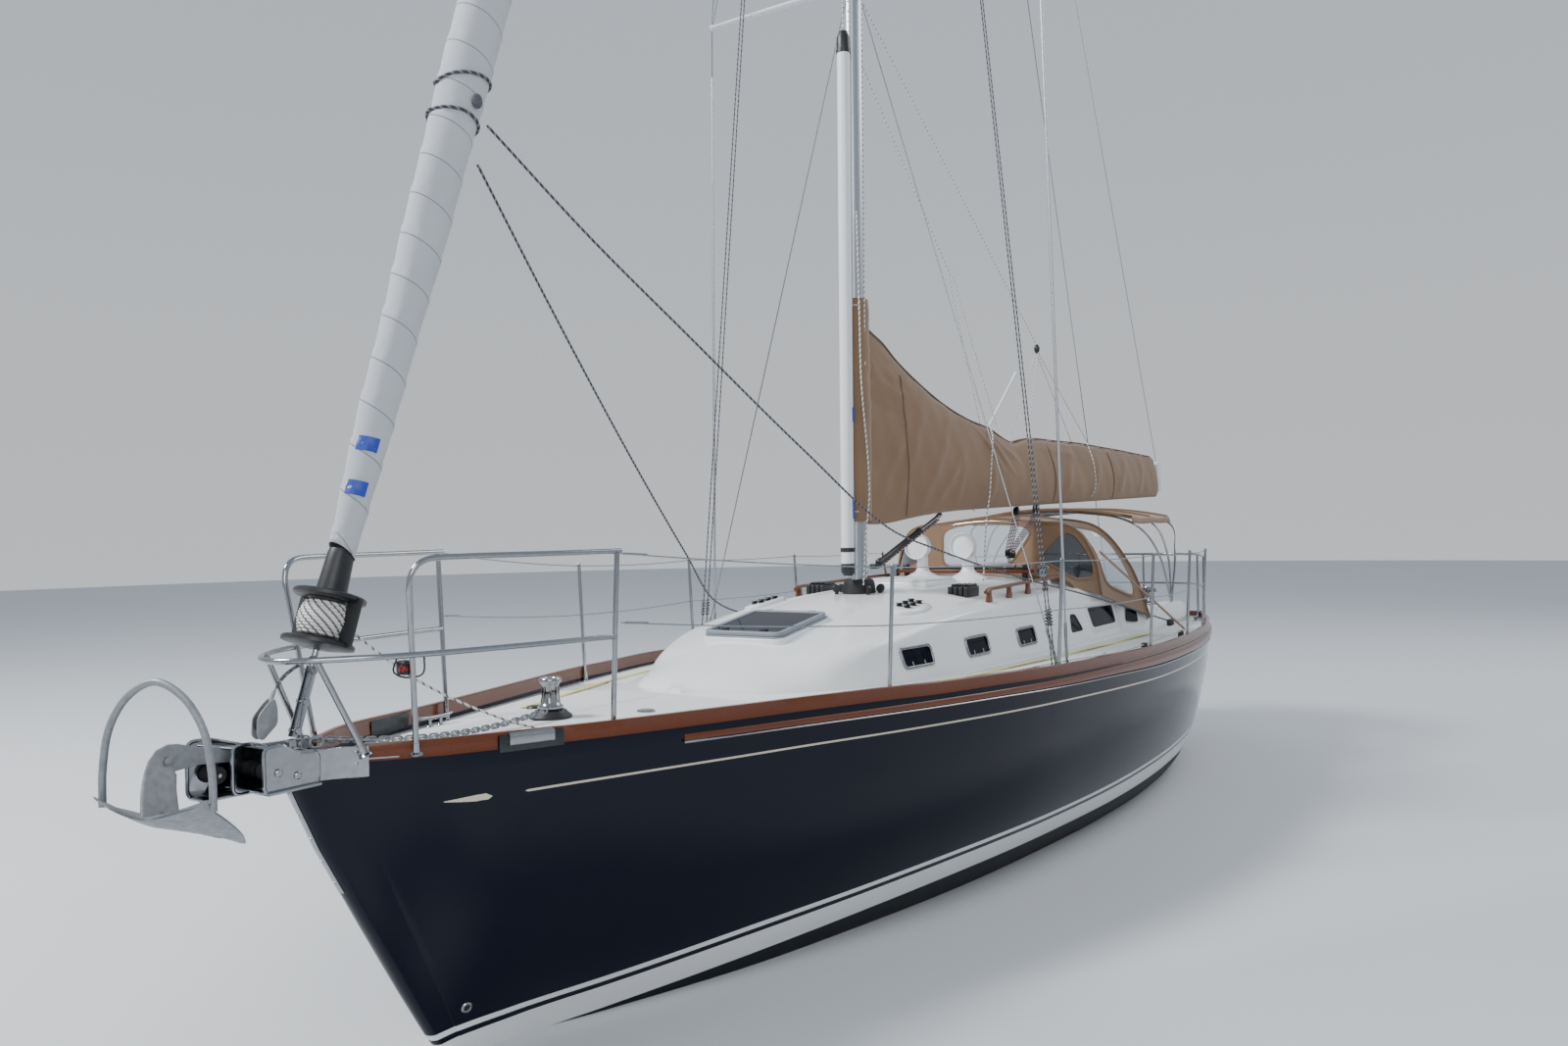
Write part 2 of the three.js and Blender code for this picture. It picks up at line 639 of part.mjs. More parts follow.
function bowFitting() {
  const plate = [];
  for (const x of [RAIL_FRONT_X + FIT_GAP, 5200, 5350, 5480]) {
    const half = deckHalf(Math.min(x, 5490)) + 6;
    const z = sheerZ(x);
    plate.push([[x, half, z - 40], [x, half, z + 96], [x, -half, z + 96], [x, -half, z - 40]]);
  }
  const cheeks = [-100, 0, 100].map((y) => {
    const cheek = [5400, 5620, 5900, 5985].map((x, i) => {
      const top = [1425, 1440, 1530, 1490][i];
      const low = [1340, 1300, 1300, 1350][i];
      return [[x, y + 5, low], [x, y + 5, top], [x, y - 5, top], [x, y - 5, low]];
    });
    return loft(cheek);
  });
  return join(
    loft(plate),
    cheeks,
    bar([5560, -100, 1395.6], [5560, 100, 1395.6], 32, 32, 16),
    bar([5900, -100, 1383.6], [5900, 100, 1383.6], 34, 34, 16),
    box(5410, 5470, -14, 14, 1380, 1478),
  );
}
const sideways = [FIT_GAP, -FIT_GAP].map((y) => fullHull.translate([0, y, 0]));
piece('bow_fitting', cut(bowFitting(), cutter, sideways, fullHull.translate([FIT_GAP, 0, 0])), 'steel');
const linkPlates = join(
  bar(onStay(3.6), onStay(330), 16, 16, 8),
  bar(onStay(300), onStay(16000 - 460), 8, 8, 8),
);
const drumBody = join(
  bar(onStay(385), onStay(405), 105, 105, 20),
  bar(onStay(395), onStay(590), 72, 72, 20),
  bar(onStay(580), onStay(600), 105, 105, 20),
  bar(onStay(590), onStay(790), 42, 36, 16),
);
piece('forestay', cut(linkPlates, mast.translate([FIT_GAP, 0, 0])), 'wire');
piece('furler_drum', cut(drumBody, bar(onStay(300), onStay(900), 8 + FIT_GAP, 8 + FIT_GAP, 8)), 'black');
const GENOA = table({
  columns: ['d', 'radius'],
  rows: [
    [792, 50], [1100, 66], [1900, 92], [3300, 122], [5200, 132], [9000, 118], [12500, 85], [14700, 40],
  ],
});
const genoaRings = GENOA.map(({ d, radius }) => {
  const centre = new THREE.Vector3(...onStay(d));
  const across = new THREE.Vector3(0, 1, 0);
  const forward = across.clone().cross(stayDir);
  const ring = [];
  for (let i = 0; i < 16; i += 1) {
    const a = (2 * Math.PI * i) / 16;
    ring.push(centre.clone().addScaledVector(across, radius * Math.cos(a))
      .addScaledVector(forward, radius * Math.sin(a)).toArray());
  }
  return ring;
});
const stayRoom = bar(onStay(300), onStay(15700), 8 + FIT_GAP, 8 + FIT_GAP, 8);
piece('furled_genoa', cut(loft(genoaRings), stayRoom), 'cloth');

// Anchor: shank on the rollers, flukes and roll bar ahead of the stem.
const anchor = join(
  loft([
    [[5330, 8, 1428], [5330, 8, 1460], [5330, -8, 1460], [5330, -8, 1428]],
    [[5700, 8, 1428], [5700, 8, 1466], [5700, -8, 1466], [5700, -8, 1428]],
    [[5960, 8, 1418], [5960, 8, 1478], [5960, -8, 1478], [5960, -8, 1418]],
    [[6050, 8, 1270], [6110, 8, 1330], [6110, -8, 1330], [6050, -8, 1270]],
  ]).translate(0, 50, 0),
  loft([
    [[5600, 52, 1075], [5600, 52, 1085], [5600, 48, 1085], [5600, 48, 1075]],
    [[5830, 160, 1195], [5830, 160, 1207], [5830, -60, 1207], [5830, -60, 1195]],
    [[6060, 295, 1290], [6060, 295, 1304], [6060, -195, 1304], [6060, -195, 1290]],
    [[6130, 290, 1330], [6130, 290, 1344], [6130, -190, 1344], [6130, -190, 1330]],
  ]),
  tube([[6080, 285, 1310], [6090, 270, 1560], [6100, 170, 1740], [6100, 50, 1790], [6100, -70, 1740],
    [6090, -170, 1560], [6080, -185, 1310]], 13, 16),
);
piece('anchor', anchor, 'galvanised');

// Windlass: base on deck, capstan turns.
const windlassX = 3950;
const windlassZ = deckZ(windlassX, 0);
const WINDLASS_BASE = [[0, 0], [110, 0], [110, 36], [80, 60], [0, 60]];
const CAPSTAN = [[0, 0], [62, 0], [66, 20], [44, 50], [40, 120], [58, 150], [58, 165], [0, 165]];
piece('windlass_base', cut(drum(windlassX, 0, windlassZ - 20, WINDLASS_BASE), cutter), 'black');
piece('windlass_capstan', drum(windlassX, 0, windlassZ + 40 + FIT_GAP, CAPSTAN), 'steel');

// Pulpit, pushpit, stanchions with lifelines.
const PULPIT_SIDE = table({
  columns: ['x', 'y', 'z'],
  rows: [
    [4950, 165, deckZ(4950, 160) - 10], [5110, 290, 1800], [5240, 400, 2080], [5180, 430, 2185],
    [4900, 480, PULPIT_TOP], [4500, 560, PULPIT_TOP], [4130, 620, PULPIT_TOP],
  ],
});
const PULPIT_NOSE = table({
  columns: ['x', 'y', 'z'],
  rows: [
    [4130, 600, 1815], [4700, 420, 1825], [5200, 260, 1835], [5480, 170, 1840], [5600, 80, 1840],
  ],
});
const pointsOf = (rows, side) => rows.map(({ x, y, z }) => [x, side * y, z]);
function pulpit() {
  const frames = [1, -1].flatMap((side) => [
    tube(pointsOf(PULPIT_SIDE, side), 13, 14),
    bar([4130, side * 575, deckZ(4130, 575) - 10], [4130, side * 620, PULPIT_TOP + 4], 13, 13, 8),
  ]);
  const nose = [...pointsOf(PULPIT_NOSE, 1), [5625, 0, 1840], ...pointsOf(PULPIT_NOSE, -1).reverse()];
  return join(frames, tube(nose, 13, 20));
}
piece('pulpit', cut(pulpit(), cutter), 'steel');

const postY = (x) => deckHalf(x) - 50;
function pushpit() {
  const z = sheerZ(-4700) + 700;
  const bends = [
    [-4200, postY(-4200)], [-4700, postY(-4700)], [-5150, postY(-5150) - 20], [-5330, postY(-5300) - 160],
  ];
  const loop = (h) => [
    ...bends.map(([x, y]) => [x, y, h]), [-5350, 0, h], ...bends.map(([x, y]) => [x, -y, h]).reverse(),
  ];
  const feet = [bends[0], bends[2], [-5350, 380]];
  const legs = [1, -1].flatMap((side) => feet.map(([x, y]) => (
    bar([x, side * y, deckZ(x, y) - 10], [x, side * y, z], 12.5, 12.5, 8)
  )));
  return join(tube(loop(z), 12.5, 22), tube(loop(z - 330), 11, 22), legs);
}
const backstayRoom = bar([-5290, 0, sternZ], [headX - 155, 0, MAST_TOP_Z - 10], 26, 26, 8);
piece('pushpit', cut(pushpit(), cutter, railCutter, backstayRoom), 'steel');

function lifelines(side) {
  const posts = STANCHION_X.map((x) => {
    const y = side * postY(x);
    return { x, y, foot: deckZ(x, y), top: sheerZ(x) + RAIL_HEIGHT + STANCHION_TOP };
  });
  const legs = posts.map(({ x, y, foot, top }) => (
    bar([x, y, foot - 10], [x, y + side * STANCHION_LEAN, top], 12.5, 11, 8)
  ));
  const feet = posts.map(({ x, y, foot }) => bar([x, y, foot - 10], [x, y, foot + 70], 22, 18, 8));
  const wire = (drop) => {
    const stops = [
      [4098, side * 612, PULPIT_TOP - 12 - drop],
      ...posts.map(({ x, y, foot, top }) => (
        [x, y + side * STANCHION_LEAN * (1 - (14 + drop) / (top - foot)), top - 14 - drop]
      )),
      [-4180, side * postY(-4180), sheerZ(-4180) + 690 - drop],
    ];
    return stops.slice(1).map((p, i) => bar(stops[i], p, 3.5, 3.5, 6));
  };
  return join(legs, feet, wire(0), wire(330));
}
for (const [name, side] of [['lifelines_port', 1], ['lifelines_starboard', -1]]) {
  const y = side * postY(-4200);
  const pushpitRoom = bar([-4200, y, 1100], [-4200, y, 2000], 13.5, 13.5, 8);
  piece(name, cut(lifelines(side), cutter, railCutter, pulpit(), pushpitRoom), 'steel');
}

// Boom with its end casting and tackle point, in the boom's own line, then swung out.
function swung(body) {
  const solid = body.isBufferGeometry ? toManifold(body) : body;
  return solid.rotate([0, 0, -BOOM_SWUNG_DEG]).translate([BOOM_PIVOT_X, 0, 0]);
}
const boomLow = (r) => 2392 + r * 0.035;
function boomBox(r0, r1, half, lift0, lift1) {
  const corners = [
    [1, lift0 + 30], [1, lift1 - 30], [0.5, lift1], [-0.5, lift1],
    [-1, lift1 - 30], [-1, lift0 + 30], [-0.5, lift0], [0.5, lift0],
  ];
  return loft([r0, r1].map((r) => corners.map(([across, up]) => [-r, half * across, boomLow(r) + up])));
}
const boom = join(
  boomBox(70, BOOM_LENGTH, 45, 0, 140),
  boomBox(BOOM_LENGTH - 10, BOOM_LENGTH + 70, 38, 30, 330),
  bar([0, 0, GOOSENECK_LOW], [0, 0, GOOSENECK_HIGH], 14, 14, 12),
  box(-90, 0, -12, 12, 2415, 2485),
  box(-1190, -1130, -14, 14, 2405, 2450),
  box(-960, -900, -14, 14, 2398, 2440),
);
piece('boom', swung(boom), 'alloy');

// Stowed mainsail in its cover, on the boom; r from the gooseneck, half width, low and high Z.
const COVER_DROP = 22;
const COVER = table({
  columns: ['r', 'half', 'high'],
  rows: [
    [130, 70, 3600], [220, 100, 3540], [420, 130, 3400], [650, 150, 3310], [1320, 165, 3150],
    [2470, 155, 3050], [3540, 130, 3000], [4530, 85, 2950],
  ],
});
const coverShape = [[0.62, 0], [0.85, 0.16], [1, 0.34], [0.9, 0.55], [0.6, 0.78], [0.28, 0.95], [0, 1]];
const coverBody = loft(COVER.map(({ r, half, high }) => {
  const low = boomLow(r) - COVER_DROP;
  const port = coverShape.map(([u, v]) => [-r, half * u, low + (high - low) * v]);
  const starboard = coverShape.slice(0, -1).map(([u, v]) => [-r, -half * u, low + (high - low) * v]);
  return [...port, ...starboard.reverse()];
}));
const boomRoom = join(FOUR_WAYS.map(([y, z]) => boom.translate([0, y * FIT_GAP, z * FIT_GAP])));
const tackleRoom = box(-1260, -800, -200, 200, 2300, boomLow(1000) + 18);
piece('sail_cover', swung(cut(coverBody, boomRoom, tackleRoom)), 'canvas');
const collarCover = cut(
  loft([[2330, 95, 75], [3000, 100, 80], [3900, 88, 66], [3985, 84, 62]].map(([z, chord, width]) => {
    const ring = [];
    for (let i = 0; i < 14; i += 1) {
      const a = (2 * Math.PI * i) / 14;
      ring.push([mastX(z) + 8 + chord * Math.cos(a), width * Math.sin(a), z]);
    }
    return ring;
  })),
  loft([mastRing(2200, 1.006), mastRing(4200, 1.006)]),
  box(480, 620, -30, 30, 2350, 2550),
);
piece('cover_collar', collarCover, 'canvas');

// Vang under the boom.
const vang = join(
  bar([-60, 0, 1985], [-930, 0, boomLow(930) - 46.4], 22, 22, 10),
  bar([-35, 0, 1965], [-95, 0, 2005], 34, 34, 10),
);
piece('vang', swung(vang), 'black');

// Whisker pole stowed on the fore side of the mast.
const poleX = (z) => mastX(z) + 168;
const poleBrackets = [2120, 5800].map((z) => (
  box(mastX(z) + MAST_CHORD / 2 + 1, poleX(z), -20, 20, z - 25, z + 25)
));
const pole = bar([poleX(1930), 0, 1930], [poleX(5950), 0, 5950], 33, 33, 12);
piece('whisker_pole', join(pole, poleBrackets), 'alloy');

// Traveller on the coachroof ahead of the dodger.
const travellerZ = 1885;
piece('traveller', cut(join(
  box(-1235, -1195, -600, 600, travellerZ, travellerZ + 28),
  box(-1245, -1185, -40, 40, travellerZ, travellerZ + 70),
  box(-1240, -1190, -580, -540, 1700, travellerZ + 10),
  box(-1240, -1190, 540, 580, 1700, travellerZ + 10),
  box(-1240, -1190, -20, 20, 1800, travellerZ + 10),
), houseCutter), 'black');

// Cowl vents, winches, handrails.
for (const [name, y] of [['cowl_vent_port', 210], ['cowl_vent_starboard', -210]]) {
  const vent = join(
    drum(-820, y, 1790, [[0, 0], [110, 0], [95, 50], [50, 62], [42, 180], [0, 180]], 16),
    bar([-790, y, 1990], [-890, y, 2010], 52, 92, 16),
  );
  piece(name, cut(vent, houseCutter), 'gelcoat');
}
for (const w of table(WINCH_TABLE)) {
  piece(w.name, drum(w.x, w.y, w.z, [
    [0, 0], [w.radius, 0], [w.radius * 0.7, w.height * 0.25], [w.radius * 0.62, w.height * 0.7],
    [w.radius * 0.85, w.height * 0.9], [w.radius * 0.8, w.height], [0, w.height],
  ]), 'steel');
}
for (const [name, side] of [['handrail_port', 1], ['handrail_starboard', -1]]) {
  const y = side * 730;
  const [x0, x1] = [1150, -1000];
  const runs = [];
  for (let i = 0; i < 6; i += 1) {
    const x = x0 + ((x1 - x0) * i) / 5;
    const z = roofCurve(x).shoulderZ;
    runs.push(box(x - 35, x + 35, y - 14, y + 14, z - 60, z + 125));
  }
  const top = [x0, 400, x1].map((x) => {
    const z = roofCurve(x).shoulderZ + 118;
    return [[x, y + 16, z], [x, y + 16, z + 26], [x, y - 16, z + 26], [x, y - 16, z]];
  });
  piece(name, cut(join(runs, loft(top)), houseCutter), 'teak');
}

// Dodger: canvas hood over the companionway, on two bows.
const DODGER = [
  { x: -1400, foot: [-1500, 880], low: 1725, shoulder: 700, shoulderZ: 1805, crown: 1868 },
  { x: -1780, foot: [-1900, 1000], low: 1590, shoulder: 790, shoulderZ: 2225, crown: 2325 },
  { x: -2260, foot: [-2850, 1070], low: 1560, shoulder: 840, shoulderZ: 2235, crown: 2350 },
];
function dodgerRing(row, inset, lift) {
  const [footX, footY] = row.foot;
  const middleZ = row.low + (row.shoulderZ - row.low) * 0.6;
  const half = [
    [footX, footY - inset, row.low + lift],
    [(footX + row.x) / 2, (footY + row.shoulder) / 2 + 50 - inset, middleZ],
    [row.x, row.shoulder - inset, row.shoulderZ - inset],
    [row.x, row.shoulder * 0.5, row.crown - 32 - inset],
  ];
  return [...half, [row.x, 0, row.crown - inset], ...half.map(([x, y, z]) => [x, -y, z]).reverse()];
}
const dodgerOuter = loft(DODGER.map((row) => dodgerRing(row, 0, 0)));
const movedAft = (row, by) => ({ ...row, x: row.x - by, foot: [row.foot[0] - by, row.foot[1]] });
const dodgerInner = loft([
  dodgerRing(movedAft(DODGER[0], 14), 14, -80),
  dodgerRing(DODGER[1], 14, -80),
  dodgerRing(movedAft(DODGER[2], 60), 14, -80),
]);
piece('dodger', largest(cut(dodgerOuter, dodgerInner, houseCutter)), 'canvas');

// Bimini canopy and its frame.
const BIMINI = { front: -3350, aft: -4740, half: 860, edge: 2310, crown: 2415, cloth: 12 };
const ARCH = [1, 0.8, 0.45, 0, -0.45, -0.8, -1].map((k) => (
  [BIMINI.half * k, BIMINI.edge + (BIMINI.crown - BIMINI.edge) * (1 - k * k)]
));
const canopy = loft(ARCH.map(([y, z]) => [
  [BIMINI.front, y, z], [BIMINI.aft, y, z],
  [BIMINI.aft, y, z - BIMINI.cloth], [BIMINI.front, y, z - BIMINI.cloth],
]));
piece('bimini', canopy, 'canvas');
const hoops = [-3420, -4050, -4670].map((x) => {
  const leg = [[-4050, 1035, 1425], [(x - 4050) / 2, 1000, 1950], [x, 880, 2255]];
  const over = ARCH.slice(1, -1).map(([y, z]) => [x, y, z - 27.2]);
  return tube([...leg, ...over, ...leg.map(([px, py, pz]) => [px, -py, pz]).reverse()], 11, 20);
});
piece('bimini_frame', cut(join(hoops), canopy.clone().translate(0, 0, -FIT_GAP), houseCutter), 'steel');

// Steering: binnacle and wheel.
piece('binnacle', cut(join(
  drum(-3880, 0, SOLE_Z + FIT_GAP, [[0, 0], [110, 0], [100, 30], [72, 60], [66, 700], [0, 700]], 16),
  box(-3960, -3800, -110, 110, 1220, 1400),
  drum(-3880, 0, 1395, [[0, 0], [95, 0], [80, 60], [0, 95]], 16),
)), 'gelcoat');
const WHEEL = { x: -3990 - FIT_GAP, z: 1310, radius: 480 };
const rim = new THREE.TorusGeometry(WHEEL.radius, 14, 6, 32);
const spokes = [];
for (let i = 0; i < 6; i += 1) {
  const a = (Math.PI * i) / 3;
  spokes.push(bar([0, 0, 0], [WHEEL.radius * Math.cos(a), WHEEL.radius * Math.sin(a), 0], 7, 7, 6));
}
const wheel = join(rim, spokes, bar([0, 0, -30], [0, 0, 30], 40, 40, 16));
piece('steering_wheel', wheel.rotate([0, 90, 0]).translate([WHEEL.x, 0, WHEEL.z]), 'steel');

// Locker lids on the cockpit seats.
for (const [name, side] of [['locker_lid_port', 1], ['locker_lid_starboard', -1]]) {
  const [y0, y1] = side > 0 ? [385, 860] : [-860, -385];
  piece(name, box(-3740, -2900, y0, y1, SEAT_Z + FIT_GAP, SEAT_Z + 30), 'gelcoat');
}

export default group;
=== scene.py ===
"""Cruising sailing yacht afloat, sails stowed: its visible pieces and finishes, in metres.

+X to the bow, +Y to port, +Z up, X = 0 amidships. Heights in the tables are from the moulding
datum, and shape() lifts every piece by DATUM, so that Z = 0 of the model is the waterline.
"""

import bpy
import numpy as np
from mathutils import Matrix


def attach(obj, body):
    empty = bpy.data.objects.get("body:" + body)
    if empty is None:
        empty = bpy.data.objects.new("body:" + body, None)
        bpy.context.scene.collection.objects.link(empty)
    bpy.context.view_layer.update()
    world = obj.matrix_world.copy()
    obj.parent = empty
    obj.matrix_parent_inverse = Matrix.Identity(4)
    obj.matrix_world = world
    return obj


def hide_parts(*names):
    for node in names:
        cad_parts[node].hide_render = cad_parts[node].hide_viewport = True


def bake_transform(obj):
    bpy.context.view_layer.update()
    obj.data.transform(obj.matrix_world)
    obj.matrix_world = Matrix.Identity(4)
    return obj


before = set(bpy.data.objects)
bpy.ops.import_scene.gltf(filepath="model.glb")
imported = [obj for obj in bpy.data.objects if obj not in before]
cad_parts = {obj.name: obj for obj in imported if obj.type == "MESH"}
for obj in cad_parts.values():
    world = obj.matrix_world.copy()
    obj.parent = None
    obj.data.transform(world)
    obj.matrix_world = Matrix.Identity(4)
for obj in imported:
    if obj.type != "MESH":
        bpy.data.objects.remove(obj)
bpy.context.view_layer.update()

bl_info = {
    "name": "Sailing yacht",
    "version": (1, 0, 0),
    "blender": (4, 5, 0),
    "location": "3D View > Sidebar > Yacht",
    "description": "Builds the visible pieces and finishes of a cruising yacht",
    "category": "Object",
}

# Rise of the moulding datum above the waterline.
DATUM = 0.12
LENGTH = 10.99
HALF_BEAM = 1.697
# Foremost station of the moulded hull, the stem's rake, and the height where it meets the deck.
FORE_STATION, STEM_RAKE, STEM_HEAD = 5.455, 0.5055, 1.33
# Height of the stanchions' tops above the sheer.
STANCHION_TOP = 0.79
# Value of a coachroof section's parameter at the crown.
CROWN = 1.478
MAST_HEAD = 16.5
# Ends of the furled sail along the stay, the pitch of its turns, and its mean girth.
ROLL_FOOT, ROLL_HEAD, ROLL_PITCH, ROLL_GIRTH = 0.79, 14.72, 0.205, 0.644
WINDLASS_X, CHAINPLATE_X, BINNACLE_X = 3.95, 0.56, -3.88
# Hub and radius of the steering wheel.
WHEEL_X, WHEEL_Z, WHEEL_RADIUS = -3.9904, 1.31, 0.48
# Faces of the dodger's cloth along the hood and round it.
HOOD_ROWS, HOOD_COLS = 96, 192
# Half breadth, edge height and crown of the bimini.
BIMINI_HALF, BIMINI_Z, BIMINI_CROWN = 0.86, 2.31, 0.105
HANDRAIL_Y = 0.83
# Distances aft of the gooseneck of the mainsheet's two points on the boom, and the place where
# the sheet meets the traveller's car.
SHEET_POINTS = (2.40, 2.06)
SHEET_CAR = (-1.215, 0.42, 1.975)
# Where the photograph's camera stands above the waterline, and its yaw, pitch and roll.
CAMERA_PLACE, CAMERA_TURN = (8.45, 4.343, 2.317 + DATUM), (32.754, 0.061, -1.078)
AHEAD, PORT, UP = (1, 0, 0), (0, 1, 0), (0, 0, 1)
# The boom's turn to port at rest, and the place of its gooseneck.
SWUNG = np.radians(10.7)
PIVOT = np.array([0.52, 0.0, 0.0])

# Share of the length from the bow, deck half breadth as a share of the largest, and half
# breadths at 0.75, 0.5, 0.33, 0.2, 0.1 and 0.03 of the depth as shares of the deck's.
HULL_ROWS = (
    (0.00, 0.038, 0.90, 0.78, 0.70, 0.60, 0.50, 0.40),
    (0.05, 0.217, 0.90, 0.76, 0.64, 0.47, 0.33, 0.18),
    (0.10, 0.330, 0.90, 0.78, 0.68, 0.53, 0.39, 0.20),
    (0.20, 0.542, 0.92, 0.83, 0.73, 0.59, 0.43, 0.22),
    (0.30, 0.747, 0.945, 0.86, 0.73, 0.55, 0.38, 0.19),
    (0.40, 0.900, 0.965, 0.875, 0.73, 0.54, 0.365, 0.18),
    (0.50, 0.972, 0.98, 0.89, 0.75, 0.565, 0.385, 0.19),
    (0.60, 1.000, 0.99, 0.905, 0.79, 0.61, 0.42, 0.21),
    (0.70, 0.983, 0.99, 0.92, 0.83, 0.69, 0.48, 0.25),
    (0.80, 0.912, 0.985, 0.93, 0.87, 0.78, 0.63, 0.36),
    (0.90, 0.785, 0.975, 0.92, 0.86, 0.77, 0.63, 0.38),
    (1.00, 0.622, 0.96, 0.89, 0.82, 0.72, 0.58, 0.36),
)
LEVELS = (1.0, 0.75, 0.5, 0.33, 0.2, 0.1, 0.03, 0.0)
# X and Z of the bottom on the centreline.
BOTTOM_ROWS = (
    (-5.495, 0.260), (-5.0, 0.100), (-4.5, -0.050), (-4.0, -0.190), (-3.0, -0.420), (-2.0, -0.560),
    (-1.0, -0.630), (0.0, -0.650), (1.0, -0.635), (2.0, -0.585), (3.0, -0.500), (3.9, -0.400),
    (4.3, -0.325), (4.56, -0.225), (4.817, 0.008), (5.495, 1.400),
)
# X, half width at the foot, half width at the shoulder, shoulder Z and crown Z of the coachroof.
ROOF_ROWS = (
    (2.92, 0.060, 0.040, 1.362, 1.372), (2.75, 0.420, 0.330, 1.380, 1.425),
    (2.50, 0.610, 0.500, 1.420, 1.500), (2.20, 0.760, 0.640, 1.480, 1.590),
    (1.80, 0.880, 0.740, 1.560, 1.665), (1.20, 0.955, 0.805, 1.635, 1.750),
    (0.68, 0.985, 0.830, 1.668, 1.800), (-0.40, 1.010, 0.850, 1.690, 1.835),
    (-1.40, 1.020, 0.860, 1.700, 1.850), (-2.45, 1.020, 0.860, 1.700, 1.855),
)
# X and Z of the four corners of each window in the coachroof side. The first three open.
WINDOWS = (
    ((1.67, 1.384), (1.67, 1.509), (1.33, 1.509), (1.33, 1.384)),
    ((0.855, 1.380), (0.855, 1.505), (0.515, 1.505), (0.515, 1.380)),
    ((-0.01, 1.370), (-0.01, 1.495), (-0.35, 1.495), (-0.35, 1.370)),
    ((-1.135, 1.380), (-1.19, 1.516), (-1.30, 1.510), (-1.405, 1.378)),
    ((-1.69, 1.380), (-1.64, 1.536), (-2.29, 1.528), (-2.30, 1.378)),
)
# X and the height of the broad boot stripe's head, then X and the cove line's depth below the
# sheer. Both run on unchanged past the last row.
STRIPE_ROWS = (
    (4.8, -0.035), (4.6, -0.016), (3.85, 0.046), (3.2, 0.104), (2.55, 0.153), (2.1, 0.185), (1.58, 0.214),
    (1.05, 0.232), (0.4, 0.240), (-0.2, 0.246), (-0.84, 0.256), (-1.6, 0.270), (-3.0, 0.285), (-5.5, 0.300),
)
COVE_ROWS = (
    (4.86, 0.172), (3.9, 0.167), (3.46, 0.165), (2.95, 0.161), (2.5, 0.160), (1.5, 0.160), (0.8, 0.163),
    (-0.2, 0.178), (-1.1, 0.193), (-2.0, 0.195),
)
# X, the height of the rail's wood above the sheer, and the depth of the rubbing strake.
RAIL_ROWS = (
    (5.03, 0.036, 0.045), (4.86, 0.036, 0.045), (4.3, 0.028, 0.045), (2.5, 0.028, 0.048), (2.06, 0.021, 0.050),
    (1.5, 0.021, 0.052), (0.8, 0.010, 0.062), (-0.2, 0.0, 0.078), (-1.1, -0.010, 0.098), (-2.0, -0.010, 0.100),
)
# X of the stanchions' feet, and how far outboard their tops lean.
STANCHIONS = (2.42, 0.70, -1.09, -2.40, -3.70)
LEAN = 0.038
# Height, half span and sweep aft of the two pairs of spreaders.
SPREADERS = ((6.35, 1.40, 0.12), (11.20, 0.98, 0.05))


# Curves and skins.

def unit(v):
    """Each vector divided by its own length."""
    v = np.asarray(v, float)
    return v / np.maximum(np.linalg.norm(v, axis=-1, keepdims=True), 1e-12)


def curve_through(rows, level_ends=True):
    """Smooth curve through the rows of a table, read by its first column.

    Between two rows it is the cubic whose slope at a row is the mean of the chords on both
    sides of it; at the ends the slope is nought, or the last chord's."""
    rows = np.asarray(sorted(map(tuple, rows)), float)
    t, v = rows[:, 0], rows[:, 1:]
    chord = np.diff(v, axis=0) / np.diff(t)[:, None]
    first, last = (chord[:1] * 0, chord[:1] * 0) if level_ends else (chord[:1], chord[-1:])
    slope = np.vstack([first, (chord[1:] + chord[:-1]) / 2, last])

    def at(x):
        x = np.clip(np.asarray(x, float), t[0], t[-1])
        i = np.clip(np.searchsorted(t, x, side="right") - 1, 0, len(t) - 2)
        d = (t[i + 1] - t[i])[..., None]
        p = (x - t[i])[..., None] / d
        start = (2 * p**3 - 3 * p**2 + 1) * v[i] + (p**3 - 2 * p**2 + p) * d * slope[i]
        return start + (3 * p**2 - 2 * p**3) * v[i + 1] + (p**3 - p**2) * d * slope[i + 1]
    return at


def smooth_path(points, steps):
    """Points spaced evenly by chord length on the smooth curve through the given points."""
    points = np.asarray(points, float)
    t = np.concatenate([[0], np.cumsum(np.linalg.norm(np.diff(points, axis=0), axis=1))])
    return curve_through(np.column_stack([t, points]), level_ends=False)(np.linspace(0, t[-1], steps))


def bent_path(points, radius, steps=7):
    """Straight runs with round bends: each corner becomes the quadratic curve between two
    points set back from it by the radius along both runs."""
    points = np.asarray(points, float)
    before, after = points[:-2] - points[1:-1], points[2:] - points[1:-1]
    reach = np.minimum(radius, 0.45 * np.minimum(
        np.linalg.norm(before, axis=1), np.linalg.norm(after, axis=1)))[:, None]
    start, end = points[1:-1] + unit(before) * reach, points[1:-1] + unit(after) * reach
    t = np.linspace(0, 1, steps)[None, :, None]
    bends = start[:, None] * (1 - t)**2 + points[1:-1][:, None] * 2 * t * (1 - t) + end[:, None] * t**2
    return np.concatenate([points[:1], bends.reshape(-1, 3), points[-1:]])


def rounded_ring(corners, radius, steps=5):
    """Closed outline with round corners: each corner becomes the quadratic curve between two
    points set back from it by the radius."""
    corners = np.asarray(corners, float)
    before, after = np.roll(corners, 1, 0) - corners, np.roll(corners, -1, 0) - corners
    reach = np.minimum(radius, 0.45 * np.minimum(
        np.linalg.norm(before, axis=1), np.linalg.norm(after, axis=1)))[:, None]
    t = np.linspace(0, 1, steps)[None, :, None]
    start, end = (corners + unit(before) * reach)[:, None], (corners + unit(after) * reach)[:, None]
    return (start * (1 - t)**2 + corners[:, None] * 2 * t * (1 - t) + end * t**2).reshape(-1, corners.shape[1])


